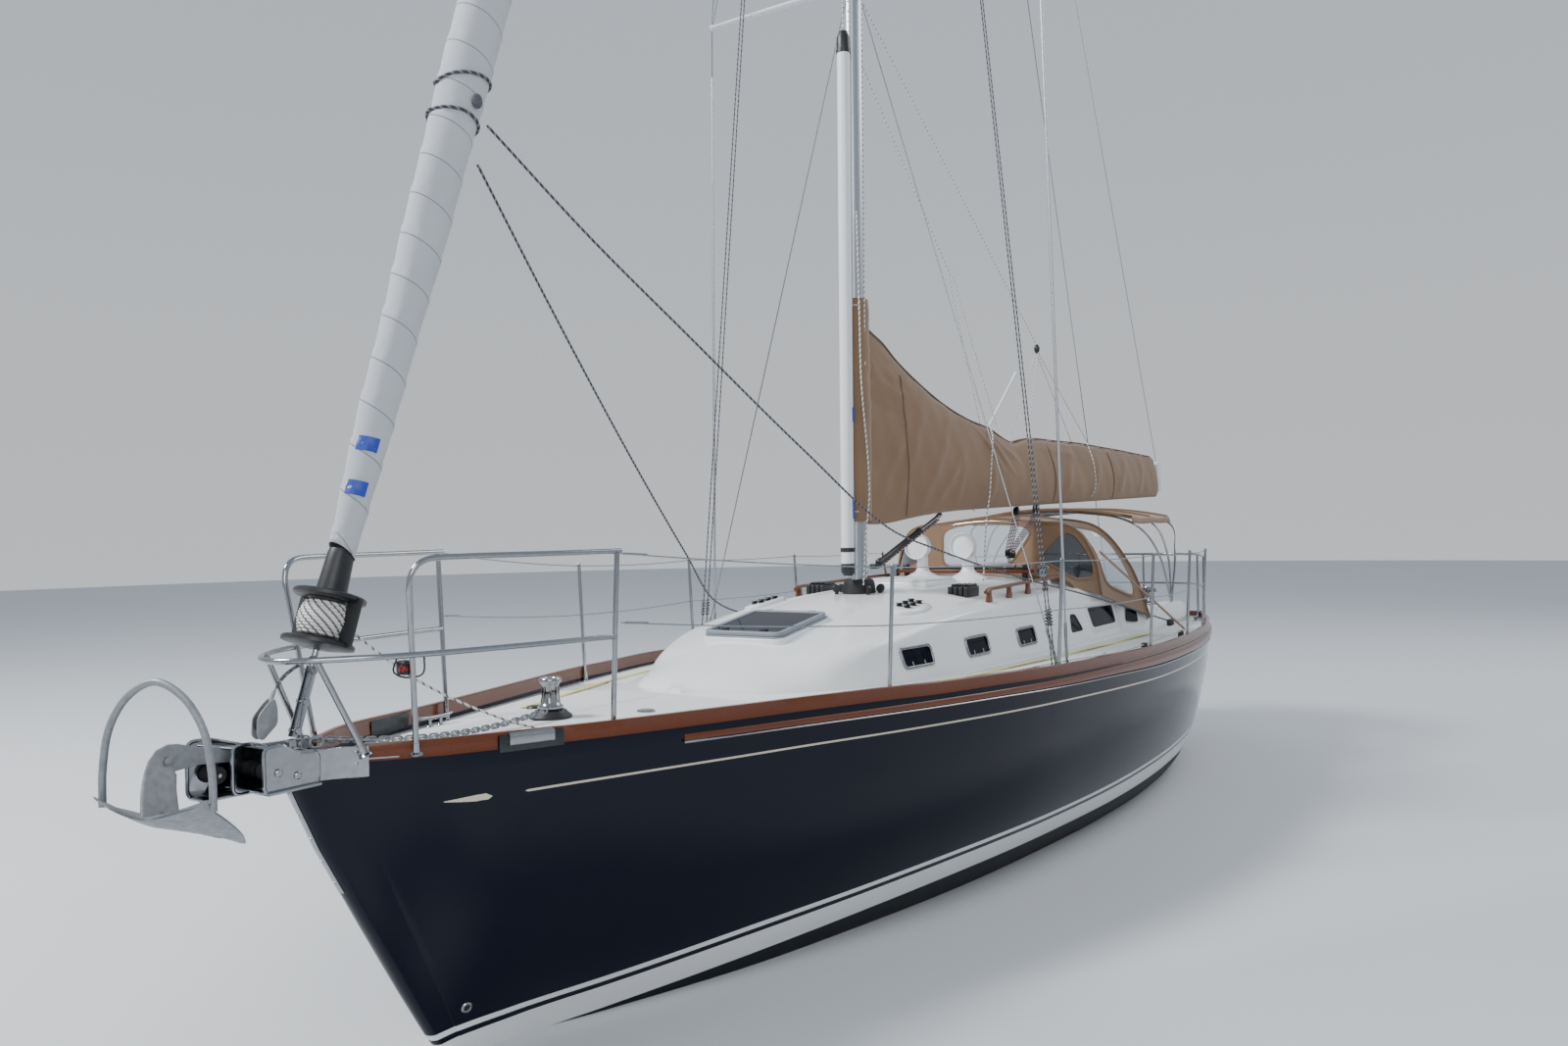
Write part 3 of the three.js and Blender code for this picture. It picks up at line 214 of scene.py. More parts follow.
def sagging(a, b, sag, steps=24):
    """Rope between two points: the straight line less a parabola of that depth."""
    t = np.linspace(0, 1, steps)[:, None]
    line = np.asarray(a, float) * (1 - t) + np.asarray(b, float) * t
    return line - np.array([0, 0, 4 * sag]) * t * (1 - t)


def frames(path, up=None):
    """Direction, side and lift of a path at each of its points. The side is square to the
    direction and to up, which is the axis that the path follows least unless it is given."""
    ahead = unit(np.gradient(path, axis=0))
    if up is None:
        axes = unit(np.array([[1, 0, 0], [0, 1, 0], [0, 0, 1], [1, 1, 1], [1, -1, 1], [-1, 1, 1]]))
        up = axes[np.abs(ahead @ axes.T).max(0).argmin()]
    side = unit(np.cross(ahead, up))
    return ahead, side, np.cross(side, ahead)


def grid(points, ring=False, ends=(False, False), loop=False):
    """Skin over rows of points. ring joins the last column to the first, loop the last row
    to the first, and ends closes the first and the last row with one face each. The UV map
    is the mean distance in metres along the columns and along the rows."""
    points = np.asarray(points, float)
    m, n = points.shape[:2]
    rows, cols = (m if loop else m - 1), (n if ring else n - 1)
    i, j = np.meshgrid(np.arange(rows), np.arange(cols), indexing="ij")
    ahead, aside = (i + 1) % m, (j + 1) % n
    quads = np.stack([i * n + j, i * n + aside, ahead * n + aside, ahead * n + j], -1).reshape(-1, 4)
    down = np.linalg.norm(np.roll(points, -1, 0) - points, axis=2).mean(1)
    across = np.linalg.norm(np.roll(points, -1, 1) - points, axis=2).mean(0)
    u = np.concatenate([[0], np.cumsum(down)])
    v = np.concatenate([[0], np.cumsum(across)])
    corners = [(i, j), (i, j + 1), (i + 1, j + 1), (i + 1, j)]
    uv = np.stack([np.stack([u[a], v[b]], -1) for a, b in corners], 2).reshape(-1, 4, 2)
    faces, uvs = [quads], [uv]
    for wanted, row, order in ((ends[0], 0, slice(None, None, -1)), (ends[1], m - 1, slice(None))):
        if wanted:
            faces.append((row * n + np.arange(n))[order][None])
            uvs.append(np.stack([np.full(n, u[row]), v[:n]], -1)[order][None])
    return {"co": points.reshape(-1, 3), "faces": faces, "uv": uvs}


def turned_in(skin):
    """The same skin with its faces turned over."""
    return {**skin, "faces": [f[:, ::-1] for f in skin["faces"]], "uv": [t[:, ::-1] for t in skin["uv"]]}


def closed(skin):
    """A closed skin with its faces outwards: they are turned over where its signed volume,
    summed over the fans of its faces, is below nought."""
    co, volume = skin["co"] - skin["co"].mean(0), 0.0
    for f in skin["faces"]:
        a = co[f[:, :1]]
        volume += (a * np.cross(co[f[:, 1:-1]], co[f[:, 2:]])).sum()
    return turned_in(skin) if volume < 0 else skin


def stations(x, y, z):
    """One row of points for each station X."""
    return np.stack([np.broadcast_to(x[:, None], y.shape), y, z], -1)


def levels(x, y, z):
    """One row of points for each height Z."""
    return np.stack([x, y, np.broadcast_to(z[:, None], x.shape)], -1)


def solid(points):
    """Closed skin over rings of points, with a face at both ends."""
    return closed(grid(points, ring=True, ends=(True, True)))


def closed_sheet(skin):
    """An open sheet whose faces look away from its own middle."""
    co = skin["co"]
    middle = co.mean(0)
    total = 0.0
    for f in skin["faces"]:
        a, b, c = co[f[:, 0]], co[f[:, 1]], co[f[:, 2]]
        total += (np.cross(b - a, c - a) * (a - middle)).sum()
    return turned_in(skin) if total < 0 else skin


def closed_up(skin):
    """An open sheet whose faces look up."""
    co = skin["co"]
    total = 0.0
    for f in skin["faces"]:
        total += np.cross(co[f[:, 1]] - co[f[:, 0]], co[f[:, 2]] - co[f[:, 0]])[:, 2].sum()
    return turned_in(skin) if total < 0 else skin


def carry(path, section, up=None, scale=1.0, lift_scale=None, ends=(True, True), ring=True, loop=False):
    """Section of side and lift offsets carried along a path and scaled at each point."""
    path, section = np.asarray(path, float), np.asarray(section, float)
    if loop:
        _, side, lift = (v[1:-1] for v in frames(np.concatenate([path[-1:], path, path[:1]]), up))
        ends = (False, False)
    else:
        _, side, lift = frames(path, up)
    wide = np.broadcast_to(scale, len(path))[:, None, None]
    high = wide if lift_scale is None else np.broadcast_to(lift_scale, len(path))[:, None, None]
    points = path[:, None] + wide * section[:, :1] * side[:, None] + high * section[:, 1:] * lift[:, None]
    skin = grid(points, ring=ring, ends=ends, loop=loop)
    return closed(skin) if ring and (loop or all(ends)) else skin


def around(steps):
    """Angles of a full turn in even steps."""
    return np.linspace(0, 2 * np.pi, steps, endpoint=False)


def circle(sides, wide=1.0, high=1.0):
    """Outline of an ellipse, a circle unless its half axes differ."""
    a = around(sides)
    return np.column_stack([wide * np.cos(a), high * np.sin(a)])


def rounded(wide, high, radius, steps=3):
    """Rectangle with round corners, as offsets from its middle."""
    a = np.linspace(0, np.pi / 2, steps)
    arc = radius * np.column_stack([np.cos(a), np.sin(a)])
    turns = [(1, 1, arc), (-1, 1, arc[::-1] * [-1, 1]), (-1, -1, -arc), (1, -1, arc[::-1] * [1, -1])]
    return np.concatenate([
        np.array([sx * (wide / 2 - radius), sy * (high / 2 - radius)]) + bend for sx, sy, bend in turns])


def tube(path, radius, sides=10, up=None):
    """Round bar along a path, with flat ends."""
    return carry(path, circle(sides), up, scale=radius)


def rod(a, b, radius, end=None, sides=10):
    """Straight round bar from a to b."""
    return tube([a, b], np.array([radius, radius if end is None else end]), sides)


def strip(path, wide, high, edge, up, steps=3, loop=False):
    """Flat bar with round edges along a path, its height along up."""
    return carry(path, rounded(wide, high, edge, steps), up, loop=loop)


def hoop(path, radius, sides, up):
    """Round bar along a path that closes on itself."""
    return carry(path, circle(sides), up, scale=radius, loop=True)


def turned(profile, foot=(0, 0, 0), axis=(0, 0, 1), sides=32, loop=False):
    """Profile of radius and height spun round an axis that starts at foot."""
    profile, axis = np.asarray(profile, float), unit(axis)
    side = unit(np.cross(axis, [0.9, 0.3, 0.1] if abs(axis[0]) < 0.8 else [0.1, 0.3, 0.9]))
    a = around(sides)[:, None]
    spoke = np.cos(a) * side + np.sin(a) * np.cross(axis, side)
    radius = np.maximum(profile[:, 0], 2e-4)[:, None, None]
    points = np.asarray(foot, float) + profile[:, 1][:, None, None] * axis + radius * spoke
    return closed(grid(points, ring=True, ends=(not loop, not loop), loop=loop))


def ball(centre, radius, squeeze=(1, 1, 1), sides=16):
    """Sphere of rings from pole to pole, squeezed along the axes."""
    a = np.linspace(0, np.pi, sides // 2 + 1)
    skin = turned(np.column_stack([np.sin(a), -np.cos(a)]), sides=sides)
    return {**skin, "co": skin["co"] * radius * np.array(squeeze) + np.asarray(centre, float)}


def block(low, high, edge=0.004, steps=3):
    """Box with round edges: its rounded outline carried upwards, drawn in by a quarter
    circle at the foot and at the head."""
    low, high = np.minimum(low, high).astype(float), np.maximum(low, high).astype(float)
    half, middle = (high - low) / 2, (high + low) / 2
    edge = min(edge, 0.45 * half.min() * 2)
    q = np.linspace(0, np.pi / 2, steps)
    inset, rise = edge * (1 - np.sin(q)), edge * (1 - np.cos(q))
    inset, z = np.concatenate([inset, inset[::-1]]), np.concatenate([low[2] + rise, high[2] - rise[::-1]])
    corner = rounded(2 * half[0], 2 * half[1], edge)
    outward = unit(corner - np.sign(corner) * (half[:2] - edge))
    flat = corner[None] - outward[None] * (inset * 0.98)[:, None, None] + middle[:2]
    points = np.concatenate([flat, np.broadcast_to(z[:, None, None], (len(z), len(corner), 1))], 2)
    return solid(points)


def moved(skin, by=(0, 0, 0), turn=(0, 0, 0)):
    """Skin turned about X, Y and Z in degrees, then shifted."""
    m = Matrix.Rotation(np.radians(turn[2]), 3, "Z") @ Matrix.Rotation(np.radians(turn[1]), 3, "Y") \
        @ Matrix.Rotation(np.radians(turn[0]), 3, "X")
    return {**skin, "co": skin["co"] @ np.array(m).T + np.asarray(by, float)}


def mirrored(skin):
    """Skin on the other side of the centreline, its faces turned to stay outwards."""
    return turned_in({**skin, "co": skin["co"] * [1, -1, 1]})


def other_side(skins):
    """The mirror images of the skins."""
    return [mirrored(s) for s in skins]


def numbered(skins, number):
    """The skins, each with the number of its finish."""
    return [(s, number) for s in skins]


def both(skins):
    """The skins and their mirror images."""
    return [*skins, *other_side(skins)]


def swung(skin):
    """From the boom's own line, which runs aft from the gooseneck, to its place off to port."""
    c, s = np.cos(SWUNG), np.sin(SWUNG)
    turn = np.array([[c, s, 0], [-s, c, 0], [0, 0, 1]])
    return {**skin, "co": skin["co"] @ turn.T + PIVOT}


def shape(name, skins, finishes, sharp=38):
    """One mesh object of several skins, each a skin or a pair of a skin and the number of
    its finish. Edges sharper than the angle in degrees stay sharp."""
    pairs = [s if isinstance(s, tuple) else (s, 0) for s in skins]
    counts = np.cumsum([0] + [len(s["co"]) for s, _ in pairs])
    faces = [(f + start, t, number) for (s, own), start in zip(pairs, counts)
             for f, t, number in zip(s["faces"], s["uv"], s.get("numbers", [own] * len(s["faces"])))]
    sizes = np.concatenate([np.full(len(f), f.shape[1]) for f, _, _ in faces])
    mesh = bpy.data.meshes.new(name)
    mesh.vertices.add(counts[-1])
    mesh.loops.add(int(sizes.sum()))
    mesh.polygons.add(len(sizes))

    def put(part, key, values, kind=np.int32):
        part.foreach_set(key, np.concatenate(values).astype(kind))
    put(mesh.vertices, "co", [(s["co"] + [0, 0, DATUM]).ravel() for s, _ in pairs], np.float32)
    put(mesh.loops, "vertex_index", [f.ravel() for f, _, _ in faces])
    put(mesh.polygons, "loop_start", [[0], np.cumsum(sizes)[:-1]])
    put(mesh.polygons, "material_index", [np.broadcast_to(number, len(f)) for f, _, number in faces])
    put(mesh.uv_layers.new(name="UVMap").data, "uv", [t.ravel() for _, t, _ in faces], np.float32)
    mesh.update(calc_edges=True)
    mesh.validate()
    smooth(mesh, sharp)
    for material in finishes:
        mesh.materials.append(material)
    obj = bpy.data.objects.new(name, mesh)
    bpy.context.scene.collection.objects.link(obj)
    return obj


def smooth(mesh, sharp):
    """Shades the mesh smooth but for the edges sharper than an angle in degrees."""
    mesh.polygons.foreach_set("use_smooth", np.ones(len(mesh.polygons), bool))
    mesh.set_sharp_from_angle(angle=np.radians(sharp))


def build(name, skins, looks, body="boat", node=None, sharp=38):
    """One visible piece in the finishes named. It rides on the body and stands for the node.
    A piece with no body yet is attached by its maker, or keeps its place in its own mesh."""
    looks = looks.split()
    obj = shape(name, skins, [FINISHES[look] for look in looks], sharp)
    if body:
        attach(obj, body)
    if node:
        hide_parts(node)
    return obj


def carved(obj, joined=(), taken=(), sharp=32):
    """Joins closed skins to a mesh object and takes others away with the exact boolean,
    then keeps the result as the object's own mesh."""
    helpers = []
    for kind, skins in (("UNION", joined), ("DIFFERENCE", taken)):
        for skin in skins:
            helper = shape("helper", [skin], obj.data.materials)
            helpers.append(helper)
            change = obj.modifiers.new("cut", "BOOLEAN")
            change.operation, change.object, change.solver = kind, helper, "EXACT"
    view = bpy.context.evaluated_depsgraph_get()
    view.update()
    made = bpy.data.meshes.new_from_object(obj.evaluated_get(view))
    obj.modifiers.clear()
    old, obj.data = obj.data, made
    for helper in helpers:
        bpy.data.objects.remove(helper)
    bpy.data.meshes.remove(old)
    smooth(made, sharp)
    return obj


def points_of(mesh):
    """The mesh's points as rows of X, Y and Z, the heights from the datum."""
    co = np.zeros(len(mesh.vertices) * 3, np.float32)
    mesh.vertices.foreach_get("co", co)
    return co.reshape(-1, 3).astype(float) - [0, 0, DATUM]


def cloth(name, skin, looks, node, thickness, sharp=60):
    """Sheet of cloth that stands for a node, with its thickness inwards and a rim all round."""
    obj = build(name, [skin], looks, None, node=node, sharp=sharp)
    wall = obj.modifiers.new("thickness", "SOLIDIFY")
    wall.thickness, wall.offset, wall.use_rim = thickness, -1.0, True
    return obj


# Finishes.

# Setting of a mix of two colours.
RGBA = {"data_type": "RGBA"}


def linear(value):
    """sRGB hex colour, or a colour property, as linear red, green, blue and 1."""
    if not isinstance(value, str):
        return (*value, 1.0)
    rgb = np.array([int(value[i:i + 2], 16) for i in (1, 3, 5)]) / 255
    return (*[float(v) for v in np.where(rgb <= 0.04045, rgb / 12.92, ((rgb + 0.055) / 1.055)**2.4)], 1.0)


def add(tree, kind, settings=None, inputs=None, to=None):
    """Adds a node with its own settings and its inputs, each a value or another's output,
    and may link its own output on to a socket."""
    made = tree.nodes.new("ShaderNode" + kind)
    for key, value in (settings or {}).items():
        setattr(made, key, value)
    for key, value in (inputs or {}).items():
        socket = made.inputs[key]
        if isinstance(value, bpy.types.NodeSocket):
            tree.links.new(value, socket)
        else:
            socket.default_value = value
    if to:
        tree.links.new(made.outputs[2 if kind == "Mix" else 0], to)
    return made


def shader(name, colour, roughness, sockets=None):
    """A material with the values of its principled shader's own sockets."""
    material = bpy.data.materials.new(name)
    material.use_nodes = True
    made = material.node_tree.nodes["Principled BSDF"]
    values = {"Base Color": linear(colour), "Roughness": roughness, **(sockets or {})}
    for key, value in values.items():
        made.inputs[key].default_value = value
    return material, material.node_tree, made


def finish(name, colour, roughness, second=None, patch=0.25, spread=0.05, stretch=(1, 1, 1),
           grain=0.002, depth=0.0, follow="Object", sockets=None):
    """A material whose colour wanders to a second one over patches of a size in metres,
    whose roughness wanders by a spread, and whose surface has a grain of a size and depth."""
    material, tree, made = shader(name, colour, roughness, sockets)
    where = add(tree, "TexCoord").outputs[follow]
    place = add(tree, "Mapping", inputs={"Vector": where, "Scale": stretch}).outputs[0]
    clouds = add(tree, "TexNoise", inputs={"Vector": place, "Scale": 1 / patch, "Detail": 5.0}).outputs[0]
    if second:
        add(tree, "Mix", RGBA, {0: clouds, 6: linear(colour), 7: linear(second)}, to=made.inputs["Base Color"])
    if spread:
        add(tree, "MapRange", inputs={
            "Value": clouds, "From Min": 0.3, "From Max": 0.7,
            "To Min": max(roughness - spread, 0.02), "To Max": roughness + spread}, to=made.inputs["Roughness"])
    if depth:
        fine = add(tree, "TexNoise", inputs={"Vector": place, "Scale": 1 / grain, "Detail": 2.0})
        add(tree, "Bump", inputs={"Height": fine.outputs[0], "Distance": depth, "Strength": 0.6},
            to=made.inputs["Normal"])
    return material


def hull_paint(colours):
    """Two-part polyurethane enamel, sprayed and polished: deep gloss with soft reflections.
    The attributes hold the height above each edge of the boot stripes and the cove line, and
    the colour changes where one turns positive."""
    material, tree, made = shader("hull_enamel", colours.topsides, 0.07, {
        "Specular IOR Level": 0.2, "Coat Weight": 0.04, "Coat Roughness": 0.03})
    last, steps = linear(colours.bottom), []
    for number, colour in enumerate((colours.stripe, colours.topsides, colours.stripe, colours.topsides,
                                     colours.cove, colours.topsides)):
        height = add(tree, "Attribute", {"attribute_name": f"edge_{number}"}).outputs["Fac"]
        steps.append(add(tree, "Math", {"operation": "GREATER_THAN"}, {0: height, 1: 0.0}).outputs[0])
        last = add(tree, "Mix", RGBA, {0: steps[-1], 6: last, 7: linear(colour)}).outputs[2]
    tree.links.new(last, made.inputs["Base Color"])
    where = add(tree, "TexCoord").outputs["Object"]
    ripple = add(tree, "TexNoise", inputs={"Vector": where, "Scale": 2.2, "Detail": 1.0})
    # Fairing never leaves topsides quite flat: a shallow ripple about half a metre long.
    add(tree, "Bump", inputs={"Height": ripple.outputs[0], "Distance": 0.004, "Strength": 0.35},
        to=made.inputs["Normal"])
    add(tree, "MapRange", inputs={"Value": steps[0], "To Min": 0.6, "To Max": 0.07}, to=made.inputs["Roughness"])
    return material


def varnished_teak(colours):
    """Teak, sanded and varnished: orange-brown with fine dark grain along the rail under a
    clear gloss, and a tone that changes slowly along its length."""
    material, tree, made = shader("varnished_teak", colours.teak, 0.32,
                                  {"Specular IOR Level": 0.3, "Coat Weight": 0.35, "Coat Roughness": 0.08})
    where = add(tree, "TexCoord").outputs["Object"]
    # Grain lines a few millimetres apart, drawn 12 times longer than wide.
    place = add(tree, "Mapping", inputs={"Vector": where, "Scale": (1.0, 12.0, 14.0)}).outputs[0]
    grain = add(tree, "TexNoise", inputs={"Vector": place, "Scale": 14.0, "Detail": 6.0, "Roughness": 0.65})
    tone = add(tree, "TexNoise", inputs={"Vector": where, "Scale": 1.3, "Detail": 2.0})
    ramp = add(tree, "Mix", RGBA, {
        0: grain.outputs[0], 6: linear(colours.teak_dark), 7: linear(colours.teak)})
    add(tree, "Mix", {"data_type": "RGBA", "blend_type": "MULTIPLY"}, {
        0: tone.outputs[0], 6: ramp.outputs[2], 7: linear("#e0b07c")}, to=made.inputs["Base Color"])
    add(tree, "Bump", inputs={"Height": grain.outputs[0], "Distance": 0.0006, "Strength": 0.4},
        to=made.inputs["Normal"])
    return material


def nonskid(colours):
    """Moulded gelcoat deck with a non-skid grain: white, matt, and slightly grey where it
    is walked on. The real grain is 2 mm and is drawn at 6 mm to show."""
    return finish("nonskid_gelcoat", colours.deck, 0.62, colours.deck_worn, 0.5, grain=0.006, depth=0.0012)


def canvas(name, colour, second, sockets=None):
    """Acrylic canvas, woven and dyed in the fibre: matt, soft sheen at the edges, faded on
    top. The real thread is 0.5 mm and is drawn at 3 mm to show."""
    material, tree, made = shader(name, colour, 0.92,
                                  {"Sheen Weight": 0.25, "Sheen Roughness": 0.5, **(sockets or {})})
    where = add(tree, "TexCoord")
    warp = add(tree, "TexWave", {"bands_direction": "X"}, {"Vector": where.outputs["UV"], "Scale": 55.0})
    weft = add(tree, "TexWave", {"bands_direction": "Y"}, {"Vector": where.outputs["UV"], "Scale": 55.0})
    weave = add(tree, "Math", {"operation": "MULTIPLY"}, {0: warp.outputs[1], 1: weft.outputs[1]})
    fade = add(tree, "TexNoise", inputs={"Vector": where.outputs["Object"], "Scale": 2.6, "Detail": 4.0})
    add(tree, "Mix", RGBA, {0: fade.outputs[0], 6: linear(colour), 7: linear(second)}, to=made.inputs["Base Color"])
    pucker = add(tree, "TexNoise", inputs={"Vector": where.outputs["Object"], "Scale": 26.0, "Detail": 3.0})
    height = add(tree, "Math", {"operation": "MULTIPLY_ADD"}, {0: weave.outputs[0], 1: 0.15, 2: pucker.outputs[0]})
    add(tree, "Bump", inputs={"Height": height.outputs[0], "Distance": 0.003, "Strength": 0.55},
        to=made.inputs["Normal"])
    return material


def furled_cloth(colours):
    """Ultraviolet-proof strip on the outer turns of the furled sail: grey woven cloth whose
    stitched, hemmed edge winds round the roll every 205 mm; a thin dark line of painted shadow runs along that
    edge.
    The UV map runs up the stay in U and round the roll in V."""
    material, tree, made = shader("furled_sail_strip", colours.sailcloth, 0.85, {"Sheen Weight": 0.15})
    where = add(tree, "TexCoord")
    apart = add(tree, "SeparateXYZ", inputs={0: where.outputs["UV"]}).outputs
    up = add(tree, "Math", {"operation": "MULTIPLY"}, {0: apart[0], 1: -1 / ROLL_PITCH}).outputs[0]
    turn = add(tree, "Math", {"operation": "MULTIPLY_ADD"}, {0: apart[1], 1: 1 / ROLL_GIRTH, 2: up}).outputs[0]
    share = add(tree, "Math", {"operation": "FRACT"}, {0: turn}).outputs[0]
    # Band along the hemmed edge: painted shadow in the colour, and a dip in the bump.
    hem_and_shadow = add(tree, "MapRange", inputs={"Value": share, "From Min": 0.965, "From Max": 0.99}).outputs[0]
    fade = add(tree, "TexNoise", inputs={"Vector": where.outputs["Object"], "Scale": 1.6, "Detail": 5.0})
    cloth = add(tree, "Mix", RGBA, {
        0: fade.outputs[0], 6: linear(colours.sailcloth), 7: linear("#a2a6ad")})
    # Painted shadow: a darker grey line along the strip's hemmed edge, where the edge shades the turn below.
    add(tree, "Mix", RGBA, {0: hem_and_shadow, 6: cloth.outputs[2], 7: linear("#6c7079")}, to=made.inputs["Base Color"])
    crease = add(tree, "TexNoise", inputs={"Vector": where.outputs["Object"], "Scale": 14.0, "Detail": 3.0})
    height = add(tree, "Math", {"operation": "MULTIPLY_ADD"}, {0: hem_and_shadow, 1: -1.5, 2: crease.outputs[0]})
    add(tree, "Bump", inputs={"Height": height.outputs[0], "Distance": 0.004, "Strength": 0.5},
        to=made.inputs["Normal"])
    return material


def braid(name, colour, fleck, pitch=0.02):
    """Braided polyester rope: matt, with flecks of a second yarn that wind round it. The
    yarns are drawn at 20 mm so that they show."""
    material, tree, made = shader(name, colour, 0.8)
    where = add(tree, "TexCoord").outputs["UV"]
    place = add(tree, "Mapping", inputs={"Vector": where, "Scale": (1 / pitch, 1 / pitch, 1.0)}).outputs[0]
    wave = add(tree, "TexWave", {"bands_direction": "DIAGONAL"}, {"Vector": place, "Scale": 0.32})
    flecks = add(tree, "MapRange", inputs={"Value": wave.outputs[1], "From Min": 0.72, "From Max": 0.8})
    add(tree, "Mix", RGBA, {0: flecks.outputs[0], 6: linear(colour), 7: linear(fleck)},
        to=made.inputs["Base Color"])
    add(tree, "Bump", inputs={"Height": wave.outputs[1], "Distance": 0.001, "Strength": 0.5},
        to=made.inputs["Normal"])
    return material


FINISHES = {}
# Slot of the pack that each finish belongs to, where the slot has another name.
SLOTS = {
    "enamel": "hull_paint", "nonskid": "gelcoat", "smoked": "smoked_lens", "rubber": "black_fittings",
    "black": "black_fittings", "dark_alloy": "stainless", "steel_wire": "stainless", "anodised": "spar_alloy",
    "painted_alloy": "spar_alloy", "canvas": "tan_canvas", "binding": "tan_canvas",
    **dict.fromkeys(("white_rope", "dark_rope", "red_rope", "furled", "blue_tape", "yellow_web"), "sail_cloth"),
}


def make_finishes(colours):
    """All finishes by name, made once for the whole boat."""
    metal = {"Metallic": 1.0}
    FINISHES.update({
        "enamel": hull_paint(colours),
        "plain_enamel": finish("topside_enamel", colours.topsides, 0.09, spread=0.02,
                               sockets={"Specular IOR Level": 0.2, "Coat Weight": 0.04}),
        "teak": varnished_teak(colours),
        "nonskid": nonskid(colours),
        # Gelcoat, moulded and waxed: even white with a soft gloss.
        "gelcoat": finish("waxed_gelcoat", colours.gelcoat, 0.22, second="#dfe3e6", patch=0.6,
                          grain=0.02, depth=0.0003, sockets={"Coat Weight": 0.3, "Coat Roughness": 0.1}),
        # Stainless steel, electropolished: mirror bright with faint drawn lines.
        "stainless": finish("polished_stainless", "#a6a9ac", 0.13, second="#8d9094", patch=0.03, spread=0.06,
                            sockets=metal),
        "steel_wire": finish("stainless_wire", "#8f949a", 0.32, patch=0.01, spread=0.1, grain=0.004,
                             depth=0.0006, sockets=metal),
        # Aluminium, extruded and clear anodised: satin silver with lengthwise streaks.
        "anodised": finish("clear_anodised_aluminium", "#b4b8bd", 0.36, second="#a5aab1", patch=0.03,
                           spread=0.08, stretch=(1, 1, 0.02), sockets=metal),
        "painted_alloy": finish("painted_aluminium", "#dfe1e4", 0.3, second="#d2d5da", patch=0.2,
                                stretch=(1, 1, 0.1)),
        "canvas": canvas("tan_acrylic_canvas", colours.canvas, colours.canvas_dark),
        "binding": canvas("tan_binding_tape", colours.canvas_dark, colours.canvas_dark),
        # Acetal and glass-filled nylon, moulded: black, satin.
        "black": finish("moulded_black_nylon", "#141517", 0.42, second="#1e2023", patch=0.04,
                        grain=0.003, depth=0.0004),
        "rubber": finish("black_rubber", "#101011", 0.7, grain=0.004, depth=0.0006),
        # Cast acrylic, tinted: near black with sharp reflections.
        "smoked": finish("smoked_acrylic", "#0a0f1b", 0.06, spread=0.02, sockets={"Specular IOR Level": 0.06}),
        # Pressed clear vinyl sheet: see-through with a soft milky gloss.
        "vinyl": finish("clear_vinyl", "#b9c6cf", 0.08, spread=0.04, grain=0.05, depth=0.002,
                        sockets={"Alpha": 0.32, "Coat Weight": 0.6}),
        # The same sheet, darker and less clear: painted shade of the shaded space behind it.
        "dark_vinyl": finish("shaded_clear_vinyl", "#2b2f36", 0.08, spread=0.04, grain=0.05, depth=0.002,
                             sockets={"Alpha": 0.78, "Coat Weight": 0.6}),
        # Hot-dipped galvanised steel: dull grey with a cloudy spangle.
        "galvanised": finish("hot_dipped_galvanised", "#9a9da1", 0.55, second="#7d8185", patch=0.03,
                             spread=0.12, grain=0.006, depth=0.0006, sockets={"Metallic": 0.7}),
        # Hatch extrusion, hard anodised: dull grey.
        "hatch_grey": finish("hard_anodised_hatch_frame", "#7f868e", 0.45, second="#757c84", patch=0.1,
                             spread=0.05),
        "bronze": finish("cast_bronze", "#8c6a3c", 0.4, second="#5f4a2e", patch=0.03, spread=0.1, sockets=metal),
        "iron": finish("antifouled_cast_iron", "#1c2229", 0.75, second="#12161b", patch=0.1,
                       grain=0.01, depth=0.002),
        "engine": finish("painted_engine_iron", "#2a3138", 0.5, grain=0.01, depth=0.001),
        "blue_tape": finish("blue_spinnaker_tape", "#1b3fae", 0.45, second="#16348f", patch=0.02,
                            grain=0.004, depth=0.0005),
        "white_rope": braid("white_furling_line", "#d9d7d0", "#5c5f68"),
        "dark_rope": braid("dark_sheet_braid", "#33363b", "#787c83"),
        "red_rope": braid("red_flecked_braid", "#4d3a41", "#c3a3a6"),
        "furled": furled_cloth(colours),
        # Dark grey metal below and round the chock's stainless insert: painted shade under the chock.
        "dark_alloy": finish("painted_chock_shade", "#4a4d50", 0.35, second="#3a3c3f", patch=0.05,
                             sockets=metal),
        "yellow_web": canvas("yellow_jackline_webbing", "#c9c65a", "#b0ac49"),
        "red_lens": finish("red_lens", "#7a1014", 0.1, spread=0.02),
    })


# The boat's own lines.

hull_at = curve_through(HULL_ROWS)
bottom_at = curve_through(BOTTOM_ROWS)
roof_at = curve_through(ROOF_ROWS)
stripe_at = curve_through(STRIPE_ROWS)
cove_at = curve_through(COVE_ROWS)
rail_at = curve_through(RAIL_ROWS)


def share_at(x):
    """How far aft of the bow a station is, as a share of the length."""
    return (LENGTH / 2 - np.asarray(x, float)) / LENGTH


def sheer(x):
    """Height of the deck edge: a falling line with a slight lift aft."""
    s = np.clip(share_at(x), 0, 1)
    return 1.329 - 0.165 * s + 0.023 * s * s


def deck_half(x):
    """Half breadth at the deck edge."""
    return HALF_BEAM * hull_at(share_at(x))[..., 0]


def deck_z(x, y):
    """Deck height: the sheer plus a crown that falls with the square of the half breadth."""
    half = np.maximum(deck_half(x), 0.001)
    k = np.minimum(np.abs(y) / half, 1)
    return sheer(x) + 0.05 * np.minimum(half / 0.9, 1) * (1 - k * k)


